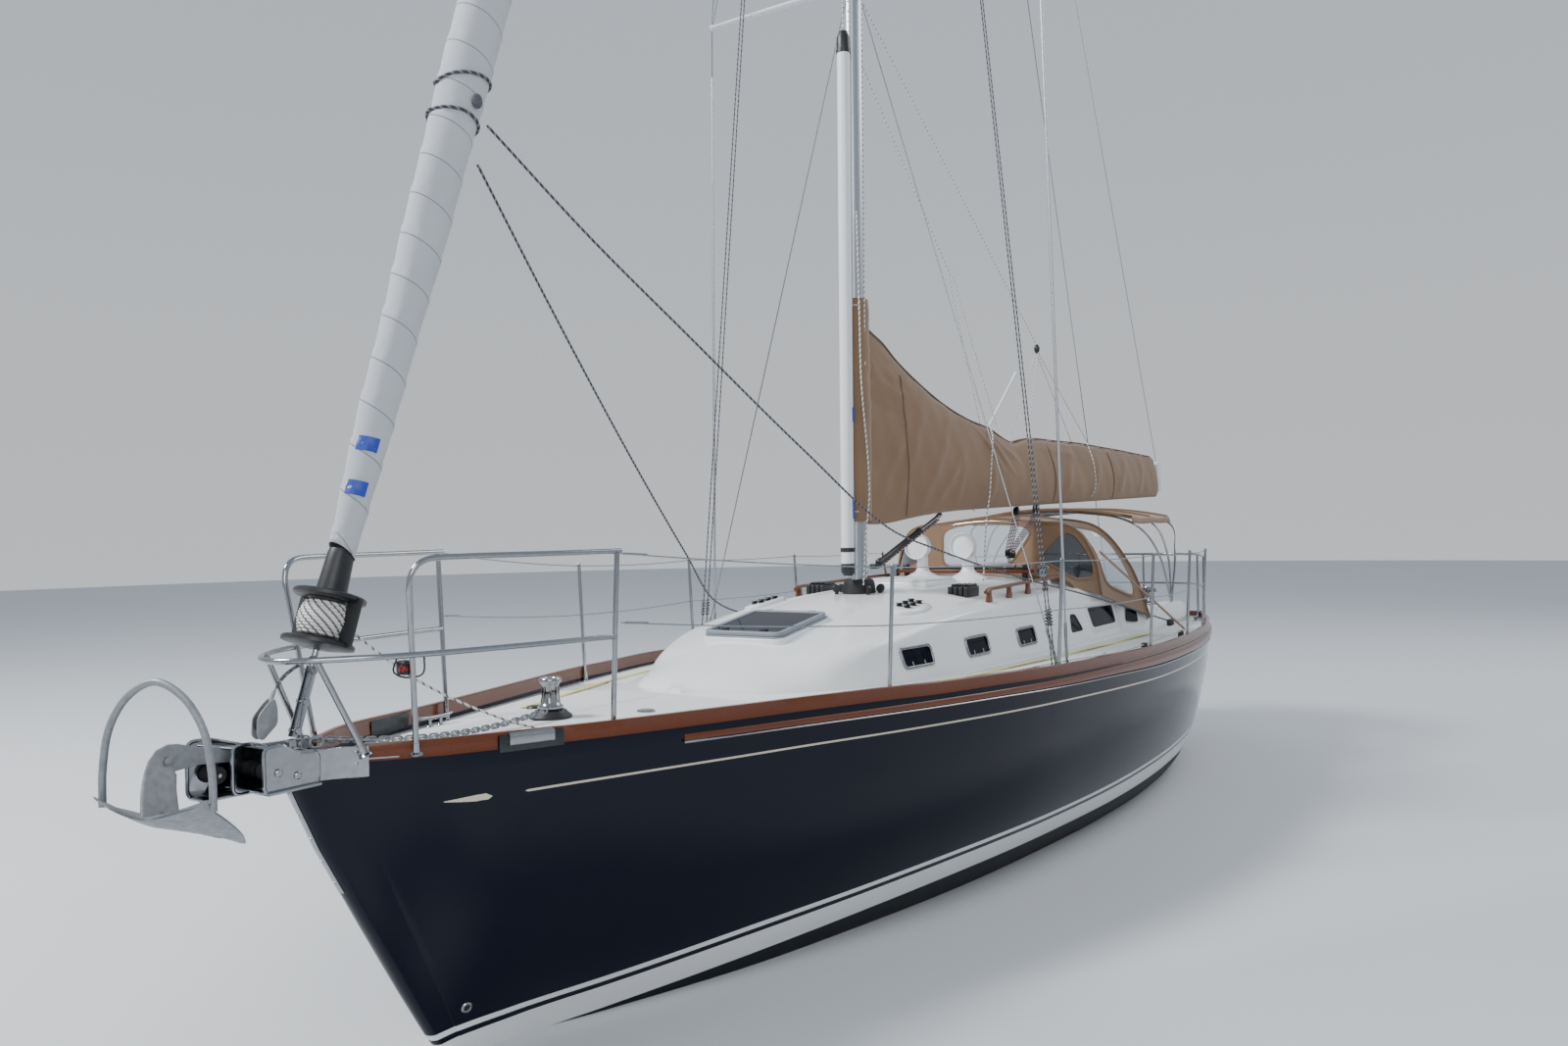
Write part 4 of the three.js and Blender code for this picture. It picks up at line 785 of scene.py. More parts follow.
def hull_side(x, level):
    """Port side of the hull at stations x and at shares of the depth, 0 on the keel line to
    1 at the deck: the half breadth is a smooth curve through the station's widths, and the
    station leans with the stem forward and with the transom aft."""
    x = np.asarray(x, float)
    row, top = hull_at(share_at(x)), sheer(x)
    bow, aft = np.clip((x - 1.5) / 3.5, 0, 1), np.clip((-3.5 - x) / 2, 0, 1)
    lean = STEM_RAKE * bow**2

    def shift(z):
        return -lean * (STEM_HEAD - z) - 0.08 * aft * (top - z)
    keel = bottom_at(x)[..., 0]
    for _ in range(8):
        keel = np.where(bow > 0, bottom_at(x + shift(keel))[..., 0], keel)
    keel = np.minimum(keel, top - 0.06)
    widths = np.column_stack([np.ones(len(x)), row[:, 1:], np.zeros(len(x))])
    rows = [(share, *widths[:, i]) for i, share in enumerate(LEVELS)]
    rows += [(-0.03, *(-widths[:, 6])), (1.25, *(2 - widths[:, 1]))]
    width = curve_through(rows)(np.asarray(level, float)).T
    z = keel[:, None] + (top - keel)[:, None] * np.asarray(level, float)
    return np.stack([x[:, None] + shift(z.T).T, HALF_BEAM * row[:, :1] * width, z], -1)


def roof_section(x, t, inset=0.0):
    """Coachroof section at stations x, from the foot, t = 0, to the crown, t = CROWN: a wall
    that leans inboard, a rounded corner and a crowned top. The corner is a quadratic curve,
    tight along the sides and wide at the nose, where the top runs down to the deck."""
    x, t = np.asarray(x, float), np.asarray(t, float)
    row = roof_at(x)
    foot = np.maximum(row[:, 0] - inset, 0.012)[:, None]
    shoulder = np.maximum(row[:, 1] - inset, 0.008)[:, None]
    crown = row[:, 3:4] - inset
    corner_y = shoulder + (foot - shoulder) * 0.30
    corner_z = row[:, 2:3] - inset + (row[:, 3:4] - row[:, 2:3]) * 0.12
    low = np.full_like(foot, 0.9 if inset else 1.12)
    base = np.minimum(sheer(x)[:, None] + 0.03, corner_z - 0.01)
    reach = np.interp(x, [1.9, 2.25, 2.5], [0.055, 0.10, 0.45])[:, None]
    wall = np.hypot(foot - corner_y, corner_z - base)
    part = np.minimum(reach / wall, 0.92)
    start_y, start_z = corner_y + (foot - corner_y) * part, corner_z + (base - corner_z) * part
    end = 1 - np.minimum(reach / corner_y, 0.55)
    end_y, end_z = corner_y * end, crown - (crown - corner_z) * end**2
    k = np.clip(t / 0.10, 0, 1)
    y, z = foot + 0 * t, low + (base - low) * k
    k = np.clip((t - 0.10) / 0.35, 0, 1)
    y, z = y + (start_y - foot) * k, z + (start_z - base) * k
    k = np.clip((t - 0.45) / 0.35, 0, 1)
    y = np.where(k > 0, start_y * (1 - k)**2 + corner_y * 2 * k * (1 - k) + end_y * k * k, y)
    z = np.where(k > 0, start_z * (1 - k)**2 + corner_z * 2 * k * (1 - k) + end_z * k * k, z)
    k = np.clip((t - 0.80) / (CROWN - 0.80), 0, 1)
    flat = end_y * (1 - k)
    return np.where(k > 0, flat, y), np.where(k > 0, crown - (crown - corner_z) * (flat / corner_y)**2, z)


def roof_side(x, z):
    """Half breadth of the coachroof's outside at given X and Z, between the two nearest
    points of its section."""
    x, z = np.broadcast_arrays(np.asarray(x, float), np.asarray(z, float))
    ys, zs = roof_section(x.ravel(), np.linspace(0.1, 1.4, 120))
    flat = z.ravel()[:, None]
    i = np.clip((zs < flat).sum(1) - 1, 0, zs.shape[1] - 2)
    r = np.arange(len(i))
    part = (flat[:, 0] - zs[r, i]) / np.maximum(zs[r, i + 1] - zs[r, i], 1e-9)
    return (ys[r, i] * (1 - part) + ys[r, i + 1] * part).reshape(x.shape)


def roof_top(x, y):
    """Height of the coachroof's top at given X and Y."""
    x, y = np.broadcast_arrays(np.asarray(x, float), np.asarray(y, float))
    ys, zs = roof_section(x.ravel(), np.linspace(0.15, CROWN, 120))
    flat = np.abs(y).ravel()[:, None]
    i = np.clip((ys > flat).sum(1) - 1, 0, ys.shape[1] - 2)
    r = np.arange(len(i))
    part = (flat[:, 0] - ys[r, i]) / np.minimum(ys[r, i + 1] - ys[r, i], -1e-9)
    return (zs[r, i] * (1 - part) + zs[r, i + 1] * part).reshape(x.shape)


def onto_side(path, out=0.0):
    """Points of X and Z laid on the port side of the coachroof and held that far off it."""
    path = np.asarray(path, float)
    return np.stack([path[..., 0], roof_side(path[..., 0], path[..., 1]) + out, path[..., 1]], -1)


def mast_x(z):
    """Middle of the mast, which leans aft as it rises."""
    return 0.68 - (np.asarray(z, float) - 1.808) * 0.02


def mast_ring(z, grow=1.0, sides=40, out=0.0):
    """Ring of the mast's oval section at a height: 166 by 104 mm, drawn in above 14.5 m."""
    z = np.asarray(z, float)
    k = np.interp(z, [14.5, MAST_HEAD], [1.0, 0.72])[:, None] * grow
    a = around(sides)
    x = mast_x(z)[:, None] + (0.083 * k + out) * np.cos(a)
    y = (0.052 * k + out) * np.sin(a)
    return levels(x, y, z)


def stay_point(d):
    """Point on the forestay at a distance above its foot."""
    foot, head = np.array([5.44, 0, 1.48]), np.array([mast_x(MAST_HEAD) + 0.11, 0, MAST_HEAD])
    return foot + unit(head - foot) * np.asarray(d, float)[..., None]


def round_stay(a):
    """Direction square to the forestay at an angle round it, that starts to port."""
    side = np.array([0, 1.0, 0])
    lift = unit(np.cross(side, unit(stay_point(1.0) - stay_point(0.0))))
    a = np.asarray(a, float)[..., None]
    return np.cos(a) * side + np.sin(a) * lift


def boom_low(r):
    """Underside of the boom at a distance aft of the gooseneck."""
    return 2.392 + 0.035 * np.asarray(r, float)


def edge_run(x, ring):
    """Closed run along the port deck edge: at each station a ring of offsets outboard from
    the edge and up from the sheer, the same for all stations or one for each."""
    x = np.asarray(x, float)
    ring = np.broadcast_to(np.asarray(ring, float), (len(x),) + np.shape(ring)[-2:])
    y, z = deck_half(x)[:, None] + ring[..., 0], sheer(x)[:, None] + ring[..., 1]
    return solid(stations(x, y, z))


def plate(x, inner, outer, height, rise=0.0015, thick=0.01, steps=14):
    """Panel that follows a surface: rows at stations x from an inner to an outer half
    breadth, held a little above the height function, and closed by its own underside."""
    x = np.asarray(x, float)
    inner, outer = np.broadcast_to(inner, x.shape), np.broadcast_to(outer, x.shape)
    share = np.linspace(0, 1, steps)
    y = inner[:, None] + (outer - inner)[:, None] * share
    y = np.concatenate([y, y[:, ::-1]], 1)
    z = height(np.broadcast_to(x[:, None], y.shape), y)
    z = z + np.where(np.arange(2 * steps) < steps, rise, -thick)
    return solid(stations(x, y, z))


def pane(outline, place, out, back, shares=(1.0, 0.98, 0.5, 0.1)):
    """Thin pane inside an outline: rings drawn in towards its middle, laid by a function at
    one height for the face and at another for the back."""
    outline = np.asarray(outline, float)
    middle = outline.mean(0)
    rings = [place(middle + (outline - middle) * k, back) for k in shares[::-1]]
    rings += [place(middle + (outline - middle) * k, out) for k in shares]
    return solid(np.stack(rings))


def upright(outline, y):
    """Points of X and Z as points of X, Y and Z at one Y."""
    return np.column_stack([outline[:, 0], np.full(len(outline), y), outline[:, 1]])


def slab(outline, y0, y1, edge=0.002, inset=0.985):
    """Flat plate of an outline of X and Z between two values of Y, its rims drawn in."""
    middle = outline.mean(0)
    return solid(np.stack([upright(middle + (outline - middle) * k, y) for y, k in (
        (y0, inset), (y0 + edge, 1.0), (y1 - edge, 1.0), (y1, inset))]))


# What a user may change.

def tint(name, description, value):
    """Colour property with its default given as a hex colour."""
    return bpy.props.FloatVectorProperty(
        name=name, description=description, subtype="COLOR", size=3, min=0, max=1, default=linear(value)[:3])


def size(name, description, value, low, high):
    """Length property in metres."""
    return bpy.props.FloatProperty(
        name=name, description=description, default=value, min=low, max=high, precision=4, unit="LENGTH",
        subtype="DISTANCE")


class YachtColours(bpy.types.PropertyGroup):
    """Colours of the yacht's finishes."""
    topsides: tint("Topsides", "Enamel of the hull's sides", "#04071a")
    bottom: tint("Bottom", "Antifouling below the boot stripes", "#15181d")
    stripe: tint("Boot stripes", "Stripes above the waterline", "#d9dbdc")
    cove: tint("Cove line", "Fine line below the deck edge", "#c6beaa")
    teak: tint("Teak", "Varnished wood in the light", "#7c3f12")
    teak_dark: tint("Teak grain", "Grain of the varnished wood", "#41200a")
    deck: tint("Deck", "Non-skid panels on deck", "#dcdddc")
    deck_worn: tint("Worn deck", "Non-skid panels where they are walked on", "#cdcfce")
    gelcoat: tint("Gelcoat", "Smooth mouldings", "#eceded")
    canvas: tint("Canvas", "Covers, dodger and bimini", "#82684f")
    canvas_dark: tint("Canvas in shade", "Bindings and unfaded canvas", "#755a43")
    sailcloth: tint("Sail strip", "Strip that covers the furled sail", "#b9bcc1")


class YachtSizes(bpy.types.PropertyGroup):
    """Sizes of the yacht's trim."""
    rail_width: size("Rail width", "Width of the toe rail", 0.036, 0.02, 0.06)
    rail_height: size("Rail height", "Height of the toe rail's wood", 0.075, 0.04, 0.1)
    stripe_width: size("Boot stripe", "Width of the broad boot stripe", 0.142, 0.05, 0.2)
    fine_stripe: size("Fine stripe", "Width of the fine stripe and of the gap below it", 0.029, 0.01, 0.05)
    cove_width: size("Cove line", "Width of the cove line", 0.011, 0.005, 0.03)
    tube: size("Rail tube", "Radius of the pulpit's tube", 0.013, 0.008, 0.02)
    wire: size("Lifeline", "Radius of the lifelines", 0.0035, 0.002, 0.006)
    lifeline_sag: size("Lifeline sag", "Sag of a lifeline between two stanchions", 0.012, 0.0, 0.05)
    rope: size("Rope", "Radius of sheets and halyards", 0.006, 0.003, 0.01)
    canvas: size("Canvas", "Thickness of the covers", 0.003, 0.001, 0.01)


class YachtStage(bpy.types.PropertyGroup):
    """Floor, lights and camera."""
    floor: size("Floor", "Radius of the floor", 60.0, 20.0, 200.0)
    light: bpy.props.FloatProperty(
        name="Key light", description="Power of the large key light", default=5200.0, min=0, unit="POWER")
    fill: bpy.props.FloatProperty(
        name="Sky", description="Strength of the soft light from all round", default=0.85, min=0, max=3)
    lens: bpy.props.FloatProperty(
        name="Lens", description="Focal length of the camera on a 36 mm sensor", default=27.38, min=10,
        max=200, unit="CAMERA")


# Pieces.

def hull_skin(sections=200, steps=48, across=23):
    """Hull and deck as one ring at each station: up the port side by shares of the depth,
    over the deck's crown, and down the starboard side. The last ring closes the transom."""
    t = np.linspace(0, 1, sections)
    x = FORE_STATION - np.where(t < 0.25, t * (0.55 + 1.8 * t), t) * (LENGTH - 0.1)
    side = hull_side(x, np.linspace(0, 1, steps))
    y = deck_half(x)[:, None] * np.linspace(1, -1, across + 2)[1:-1]
    rows = np.broadcast_to(x[:, None], y.shape)
    deck = np.stack([rows, y, deck_z(rows, y)], -1)
    skin = grid(np.concatenate([side, deck, side[:, :0:-1] * [1, -1, 1]], 1), ring=True, ends=(True, True))
    column = np.zeros(2 * steps - 1 + across, int)
    column[steps - 1:steps + across] = 1
    return {**closed(skin), "numbers": [np.tile(column, sections - 1), 0, 0]}


def drain(place, across):
    """Round through-hull fitting: a flange with a rounded rim, and a black disc in its bore that is painted shade.
    """
    flange = turned([(0.012, -0.01), (0.026, -0.01), (0.026, 0.002), (0.022, 0.006), (0.015, 0.006),
                     (0.012, 0.001)], place, across, 28)
    # Painted shade: a black plug stands in the opening, where the hole is in shade.
    bore_shade = turned([(0.013, -0.012), (0.013, 0.003)], place, across, 20)
    return [flange, (bore_shade, 1)]


def paint_edges(obj, sizes):
    """Writes the height of each point above the edges of the boot stripes and cove line."""
    points = points_of(obj.data)
    x, z = points[:, 0], points[:, 2]
    head, cove = stripe_at(x)[:, 0], sheer(x) - cove_at(x)[:, 0]
    half = np.interp(x, [4.60, 4.64, 4.71, 4.76, 4.82, 4.95],
                     [1.0, -3.0, -3.0, 3.0, 2.6, 0.0]) * sizes.cove_width / 2
    half = np.where(x > 4.95, -0.02, half)
    edges = (head - sizes.stripe_width, head, head + sizes.fine_stripe, head + 2 * sizes.fine_stripe)
    heights = [z - edge for edge in edges]
    heights += [z - cove + half, z - cove - half]
    for number, values in enumerate(heights):
        made = obj.data.attributes.new(f"edge_{number}", "FLOAT", "POINT")
        made.data.foreach_set("value", values.astype(np.float32))


class YACHT_OT_hull(bpy.types.Operator):
    """Makes the hull with its deck, cockpit wells and cabin."""
    bl_idname = "yacht.hull"
    bl_label = "Hull and deck"
    bl_options = {"REGISTER", "UNDO"}

    def execute(self, context):
        hull = shape("hull_shell", [hull_skin()], [FINISHES["enamel"], FINISHES["gelcoat"]])
        wells = [
            block((-4.8, -0.9, 1.0), (-2.446, 0.9, 2.0), 0.03), block((-4.8, -0.35, 0.6), (-2.85, 0.35, 2.0), 0.03),
            block((-4.8, -0.76, 0.6), (-3.8, 0.76, 2.0), 0.03), block((-2.33, -0.7, -0.12), (1.7, 0.7, 2.0), 0.03),
            block((-2.5, -0.3, 1.0), (-2.3, 0.3, 2.0), 0.004), block((1.65, -0.27, 0.2), (2.2, 0.27, 2.0), 0.004)]
        carved(hull, taken=[(well, 1) for well in wells])
        paint_edges(hull, context.scene.yacht_sizes)
        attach(hull, "boat")
        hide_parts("hull")
        build("through_hull", drain((4.637, 0.101, 0.117), (0.35, 0.92, -0.2)), "stainless rubber")
        x = np.linspace(3.3, -4.6, 90)
        inner = np.where(x > 2.9, 0.05, roof_at(np.minimum(x, 2.9))[:, 0]) + 0.07
        side = plate(x[x < 2.6], inner[x < 2.6], (deck_half(x) - 0.10)[x < 2.6], deck_z)
        front = np.linspace(4.9, 2.98, 30)
        fore = plate(front, 0.02, deck_half(front) - 0.12, deck_z)
        build("deck_nonskid", both([side, fore]), "nonskid")
        return {"FINISHED"}


class YACHT_OT_rail(bpy.types.Operator):
    """Makes the toe rail, and the rubbing strake with its bead."""
    bl_idname = "yacht.rail"
    bl_label = "Toe rail and strakes"
    bl_options = {"REGISTER", "UNDO"}

    def execute(self, context):
        sizes = context.scene.yacht_sizes
        x = np.linspace(5.225, -5.395, 224)
        lift = rail_at(x)[:, 0]
        wide, high = sizes.rail_width, sizes.rail_height
        share = np.array([(0, 0.0), (0.10, 0.5), (0.02, 0.93), (0.12, 1.0), (0.86, 1.0), (0.98, 0.93), (0.92, 0.5),
                          (1, 0.0)])
        ring = np.stack([
            np.broadcast_to(-0.004 - share[:, 0] * wide, (len(x), len(share))),
            lift[:, None] + share[:, 1] * high], -1)
        wood = edge_run(x, ring)
        lip = np.array([(0.0, -0.03), (0.001, 0.0), (0.0, 1.0), (-wide, 1.0), (-wide, -0.03)])
        bulwark = edge_run(x, np.stack([
            np.broadcast_to(lip[:, 0], (len(x), 5)),
            np.where(lip[:, 1] > 0.5, lift[:, None] + 0.001, lip[:, 1] * np.ones((len(x), 1)))], -1))
        half = deck_half(-5.395) - 0.03
        z = sheer(-5.395)
        stern = block((-5.395, -half, z - 0.02), (-5.355, half, z + 0.066), 0.008)
        wood_pieces = both([wood]) + [stern]
        build("toe_rail_wood", [*wood_pieces, *numbered(both([bulwark]), 1)], "teak plain_enamel", node="toe_rail")
        run = np.linspace(3.81, -5.37, 190)
        low = rail_at(run)[:, 1]
        outline = np.array([(-0.01, 0.0), (0.010, 0.02), (0.017, 0.25), (0.019, 0.55), (0.015, 0.9), (-0.01, 1.0)])
        ease = np.clip(np.minimum(3.81 - run, run + 5.37) / 0.25, 0.25, 1)[:, None]
        strake = edge_run(run, np.stack([
            outline[:, 0] * ease, -0.006 - outline[:, 1] * (low[:, None] - 0.012)], -1))
        bead = np.column_stack([0.011 + 0.008 * np.cos(np.linspace(-2, 2, 8)),
                                0.006 * np.sin(np.linspace(-2, 2, 8))])
        beads = edge_run(run, np.stack([
            bead[:, 0] * ease, bead[:, 1] - low[:, None]], -1))
        build("rubbing_strake", both([strake]), "teak")
        build("strake_bead", both([beads]), "stainless")
        return {"FINISHED"}


class YACHT_OT_coachroof(bpy.types.Operator):
    """Makes the coachroof with its coamings, windows and portlights."""
    bl_idname = "yacht.coachroof"
    bl_label = "Coachroof"
    bl_options = {"REGISTER", "UNDO"}

    def execute(self, context):
        x = np.concatenate([[2.92, 2.9, 2.86], np.linspace(2.8, -2.45, 88)])
        house = self.shell(x, 36)
        room = self.shell(np.linspace(2.7, -2.422, 60), 24, 0.028)
        rings = [rounded_ring(corners, 0.035 if i < 3 else 0.03) for i, corners in enumerate(WINDOWS)]
        openings = []
        for ring in rings:
            openings.append(solid(np.stack([upright(ring, y) for y in (0.5, 1.2)])))
        roof = shape("coachroof_shell", [house], [FINISHES["gelcoat"]])
        carved(roof, taken=[
            room, block((-2.5, -0.3, 1.0), (-2.3, 0.3, 2.0), 0.002),
            block((-2.42, -0.28, 1.7), (-1.9, 0.28, 2.0), 0.002),
            block((1.66, -0.27, 1.3), (2.2, 0.27, 2.0), 0.002), *both(openings)])
        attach(roof, "boat")
        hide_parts("coachroof")
        self.coamings()
        self.windows(rings)
        run = np.linspace(1.6, -1.8, 50)
        top = plate(run, 0.36, roof_at(run)[:, 1] - 0.10, roof_top)
        build("roof_nonskid", both([top]), "nonskid")
        return {"FINISHED"}

    def shell(self, x, steps, inset=0.0):
        """Closed skin of the coachroof: at each station the section from the port foot over
        the crown to the starboard foot."""
        y, z = roof_section(x, np.linspace(0, CROWN, steps), inset)
        y, z = np.concatenate([y, -y[:, -2::-1]], 1), np.concatenate([z, z[:, -2::-1]], 1)
        return solid(stations(x, y, z))

    def coamings(self):
        """Cockpit coamings: a rounded wall whose inner and outer faces and top follow a
        smooth curve through a few stations, with winch pads and the slide's runners."""
        rows = ((-2.30, 0.905, 1.020, 1.700), (-2.44, 0.905, 1.020, 1.700), (-2.70, 0.905, 1.060, 1.560),
                (-3.00, 0.905, 1.140, 1.480), (-3.90, 0.905, 1.100, 1.450), (-4.60, 0.905, 1.040, 1.400),
                (-4.95, 0.905, 0.980, 1.290))
        x = np.linspace(-2.44, -4.95, 60)
        inner, outer, top = curve_through(rows)(x).T[:, :, None]
        y = np.concatenate([inner, outer + 0.02, outer + 0.004, outer - 0.010, outer - 0.035, inner + 0.035,
                            inner + 0.010, inner], 1)
        low = np.full_like(top, 1.12)
        z = np.concatenate([low, low, top - 0.045, top - 0.012, top, top, top - 0.012, top - 0.04], 1)
        wall = solid(stations(x, y, z))
        pads = [turned([(0.093, -0.07), (0.093, -0.012), (0.081, 0.0)], (-3.10, 1.065, 1.481), sides=36),
                turned([(0.070, -0.07), (0.070, -0.008), (0.062, 0.0)], (-1.25, 0.70, 1.80), sides=32)]
        runner = block((-2.445, 0.310, 1.79), (-1.44, 0.334, 1.862), 0.005)
        stern = block((-4.95, -0.93, 1.12), (-4.82, 0.93, 1.33), 0.03)
        build("cockpit_coamings", [*both([wall, *pads, runner]), stern], "gelcoat")

    def windows(self, rings):
        """Dark lenses in the openings, with polished frames round the three that open."""
        glass, frames_made, gaskets, latches = [], [], [], []
        for i, ring in enumerate(rings):
            opens = i < 3
            middle = ring.mean(0)
            glass.append(pane(middle + (ring - middle) * (0.96 if opens else 0.995), onto_side,
                              -0.004 if opens else 0.002, -0.014))
            if opens:
                path = onto_side(ring, 0.004)
                frames_made.append(strip(path, 0.022, 0.014, 0.005, PORT, 4, loop=True))
                for dx in (-0.07, 0.07):
                    low, high = middle + [dx, -0.062], middle + [dx, -0.028]
                    latches.append(strip(onto_side(np.array([low, high]), -0.002), 0.014, 0.010, 0.003, PORT))
            else:
                path = onto_side(middle + (ring - middle) * 1.01, 0.001)
                gaskets.append(strip(path, 0.012, 0.005, 0.002, PORT, loop=True))
        surround_ring = rounded_ring(
            np.array(WINDOWS[4]) + [(0.05, -0.035), (0.05, 0.035), (-0.05, 0.035), (-0.05, -0.035)], 0.05)
        raised = strip(onto_side(surround_ring, -0.002), 0.05, 0.020, 0.009, PORT, 4, loop=True)
        small = rounded_ring(((-2.47, 1.372), (-2.47, 1.478), (-2.66, 1.462), (-2.69, 1.352)), 0.025)

        def onto_coaming(ring, out=0.0):
            y = np.interp(ring[:, 0], (-2.70, -2.44), (1.072, 1.032)) + 0.08 * (1.45 - ring[:, 1])
            return np.column_stack([ring[:, 0], y + out, ring[:, 1]])
        glass.append(pane(small, onto_coaming, 0.006, -0.02))
        gaskets.append(strip(onto_coaming(small, 0.004), 0.014, 0.006, 0.002, PORT, loop=True))
        build("window_lenses", both(glass), "smoked")
        build("portlight_frames", both([*frames_made, *latches]), "stainless")
        build("window_gaskets", both(gaskets), "rubber")
        build("window_surround", both([raised]), "gelcoat")


class YACHT_OT_hatches(bpy.types.Operator):
    """Makes the foredeck hatch, the companionway slide and the washboard."""
    bl_idname = "yacht.hatches"
    bl_label = "Hatches"
    bl_options = {"REGISTER", "UNDO"}

    def execute(self, context):
        tilt = float(np.degrees(np.arctan(0.155)))

        def on_slope(skin):
            return moved(skin, (1.93, 0, 1.637), (0, tilt, 0))

        def frame_ring(half_x, half_y, width, low, high, radius):
            path = rounded_ring([(half_x, half_y, 0), (-half_x, half_y, 0), (-half_x, -half_y, 0),
                                 (half_x, -half_y, 0)], radius)
            path[:, 2] = (low + high) / 2
            return on_slope(strip(path, width, high - low, 0.006, UP, 4, loop=True))
        plinth = frame_ring(0.291, 0.2865, 0.058, -0.035, 0.012, 0.05)
        rim = frame_ring(0.290, 0.285, 0.040, 0.010, 0.022, 0.045)
        build("foredeck_hatch_plinth", [plinth, (rim, 1)], "gelcoat hatch_grey",
              node="hatch_frame")
        lid = frame_ring(0.287, 0.282, 0.034, 0.0226, 0.050, 0.045)
        corners = np.array([(0.275, 0.27), (-0.275, 0.27), (-0.275, -0.27), (0.275, -0.27)])
        outline = rounded_ring(corners, 0.035)

        def lay(ring, height):
            return np.column_stack([ring, np.full(len(ring), height)])
        lens = on_slope(pane(outline, lay, 0.044, 0.028))
        latch = [on_slope(block((0.235, y - 0.022, 0.040), (0.275, y + 0.022, 0.062), 0.006))
                 for y in (-0.15, 0.15)]
        hinges = [on_slope(block((-0.315, y - 0.03, 0.024), (-0.285, y + 0.03, 0.052), 0.006))
                  for y in (-0.17, 0.17)]
        build("foredeck_hatch_lid", [lid, *hinges, (lens, 1), *numbered(latch, 2)], "hatch_grey smoked black",
              "foredeck_hatch", node="hatch_lid")
        slide = block((-2.45, -0.34, 1.8626), (-1.87, 0.34, 1.892), 0.012, 5)
        lip = block((-2.45, -0.30, 1.885), (-2.42, 0.30, 1.910), 0.008, 4)
        build("companionway_slide", [slide, lip], "gelcoat", "slide_hatch", node="companion_slide")
        board = block((-2.470, -0.31, 1.0006), (-2.4506, 0.31, 1.84), 0.003)
        build("companionway_board", [board], "teak", "board", node="washboard")
        return {"FINISHED"}


class YACHT_OT_underwater(bpy.types.Operator):
    """Gives the keel, rudder, propeller, shaft and engine their finishes."""
    bl_idname = "yacht.underwater"
    bl_label = "Below the water"
    bl_options = {"REGISTER", "UNDO"}

    def execute(self, context):
        for name, finish_name in (
                ("keel", "iron"), ("rudder", "iron"), ("propeller", "bronze"), ("shaft_and_strut", "bronze"),
                ("engine", "engine")):
            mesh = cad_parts[name].data
            mesh.materials.clear()
            mesh.materials.append(FINISHES[finish_name])
        return {"FINISHED"}


class YACHT_OT_finishes(bpy.types.Operator):
    """Makes the finishes that all the pieces share."""
    bl_idname = "yacht.finishes"
    bl_label = "Finishes"
    bl_options = {"REGISTER", "UNDO"}

    def execute(self, context):
        make_finishes(context.scene.yacht_colours)
        return {"FINISHED"}


class YACHT_OT_stage(bpy.types.Operator):
    """Sets the floor at the waterline, the soft lights and the camera."""
    bl_idname = "yacht.stage"
    bl_label = "Stage"
    bl_options = {"REGISTER", "UNDO"}

    def execute(self, context):
        stage = context.scene.yacht_stage
        a = around(96)
        rings = [np.column_stack([r * np.cos(a), r * np.sin(a), np.full(96, -DATUM - 0.002)])
                 for r in (0.01, 8, 20, stage.floor)]
        pale = finish("matt_studio_floor", "#d3d6d9", 0.8, second="#cdd0d3", patch=3.0)
        floor = shape("studio_floor", [grid(np.stack(rings), ring=True, ends=(True, False))], [pale])
        world = bpy.data.worlds.new("soft_sky")
        world.use_nodes = True
        tree = world.node_tree
        light = tree.nodes["Background"]
        where = add(tree, "TexCoord").outputs["Generated"]
        height = add(tree, "SeparateXYZ", inputs={0: where}).outputs[2]
        blend = add(tree, "MapRange", inputs={"Value": height, "From Min": -0.05, "From Max": 0.7})
        add(tree, "Mix", RGBA, {
            0: blend.outputs[0], 6: linear("#e6e9ec"), 7: linear("#c2cedb")}, to=light.inputs[0])
        light.inputs[1].default_value = stage.fill
        context.scene.world = world
        for name, place, power, width in (
                ("key_light", (13.0, -11.0, 17.0), stage.light * 1.15, 5.0),
                ("rim_light", (-14.0, 9.0, 15.0), stage.light * 0.25, 10.0),
                ("bow_light", (15.0, 9.0, 9.0), stage.light * 0.18, 9.0)):
            data = bpy.data.lights.new(name, "AREA")
            data.energy, data.size = power, width
            lamp = bpy.data.objects.new(name, data)
            aim = np.array([0, 0, 2.0]) - np.array(place)
            lamp.matrix_world = self.looking(np.array(place), aim)
            context.scene.collection.objects.link(lamp)
        yaw, pitch, roll = np.radians(CAMERA_TURN)
        ahead = np.array([-np.cos(yaw), -np.sin(yaw), 0.0])
        level = unit(np.cross(ahead, [0, 0, 1]))
        tilted = ahead * np.cos(pitch) + np.array([0, 0, 1]) * np.sin(pitch)
        above = np.array([0, 0, 1]) * np.cos(pitch) - ahead * np.sin(pitch)
        right = level * np.cos(roll) + above * np.sin(roll)
        up = above * np.cos(roll) - level * np.sin(roll)
        data = bpy.data.cameras.new("photo_camera")
        data.lens, data.sensor_width, data.clip_end = stage.lens, 36.0, 400.0
        camera = bpy.data.objects.new("photo_camera", data)
        m = np.eye(4)
        m[:3, 0], m[:3, 1], m[:3, 2], m[:3, 3] = right, up, -tilted, CAMERA_PLACE
        camera.matrix_world = Matrix(m.tolist())
        context.scene.collection.objects.link(camera)
        context.scene.camera = camera
        return {"FINISHED"}

    def looking(self, place, aim):
        """Matrix of a lamp at a place that looks along a direction."""
        back = -unit(aim)
        right = unit(np.cross([0, 0, 1], back))
        m = np.eye(4)
        m[:3, 0], m[:3, 1], m[:3, 2], m[:3, 3] = right, np.cross(back, right), back, place
        return Matrix(m.tolist())


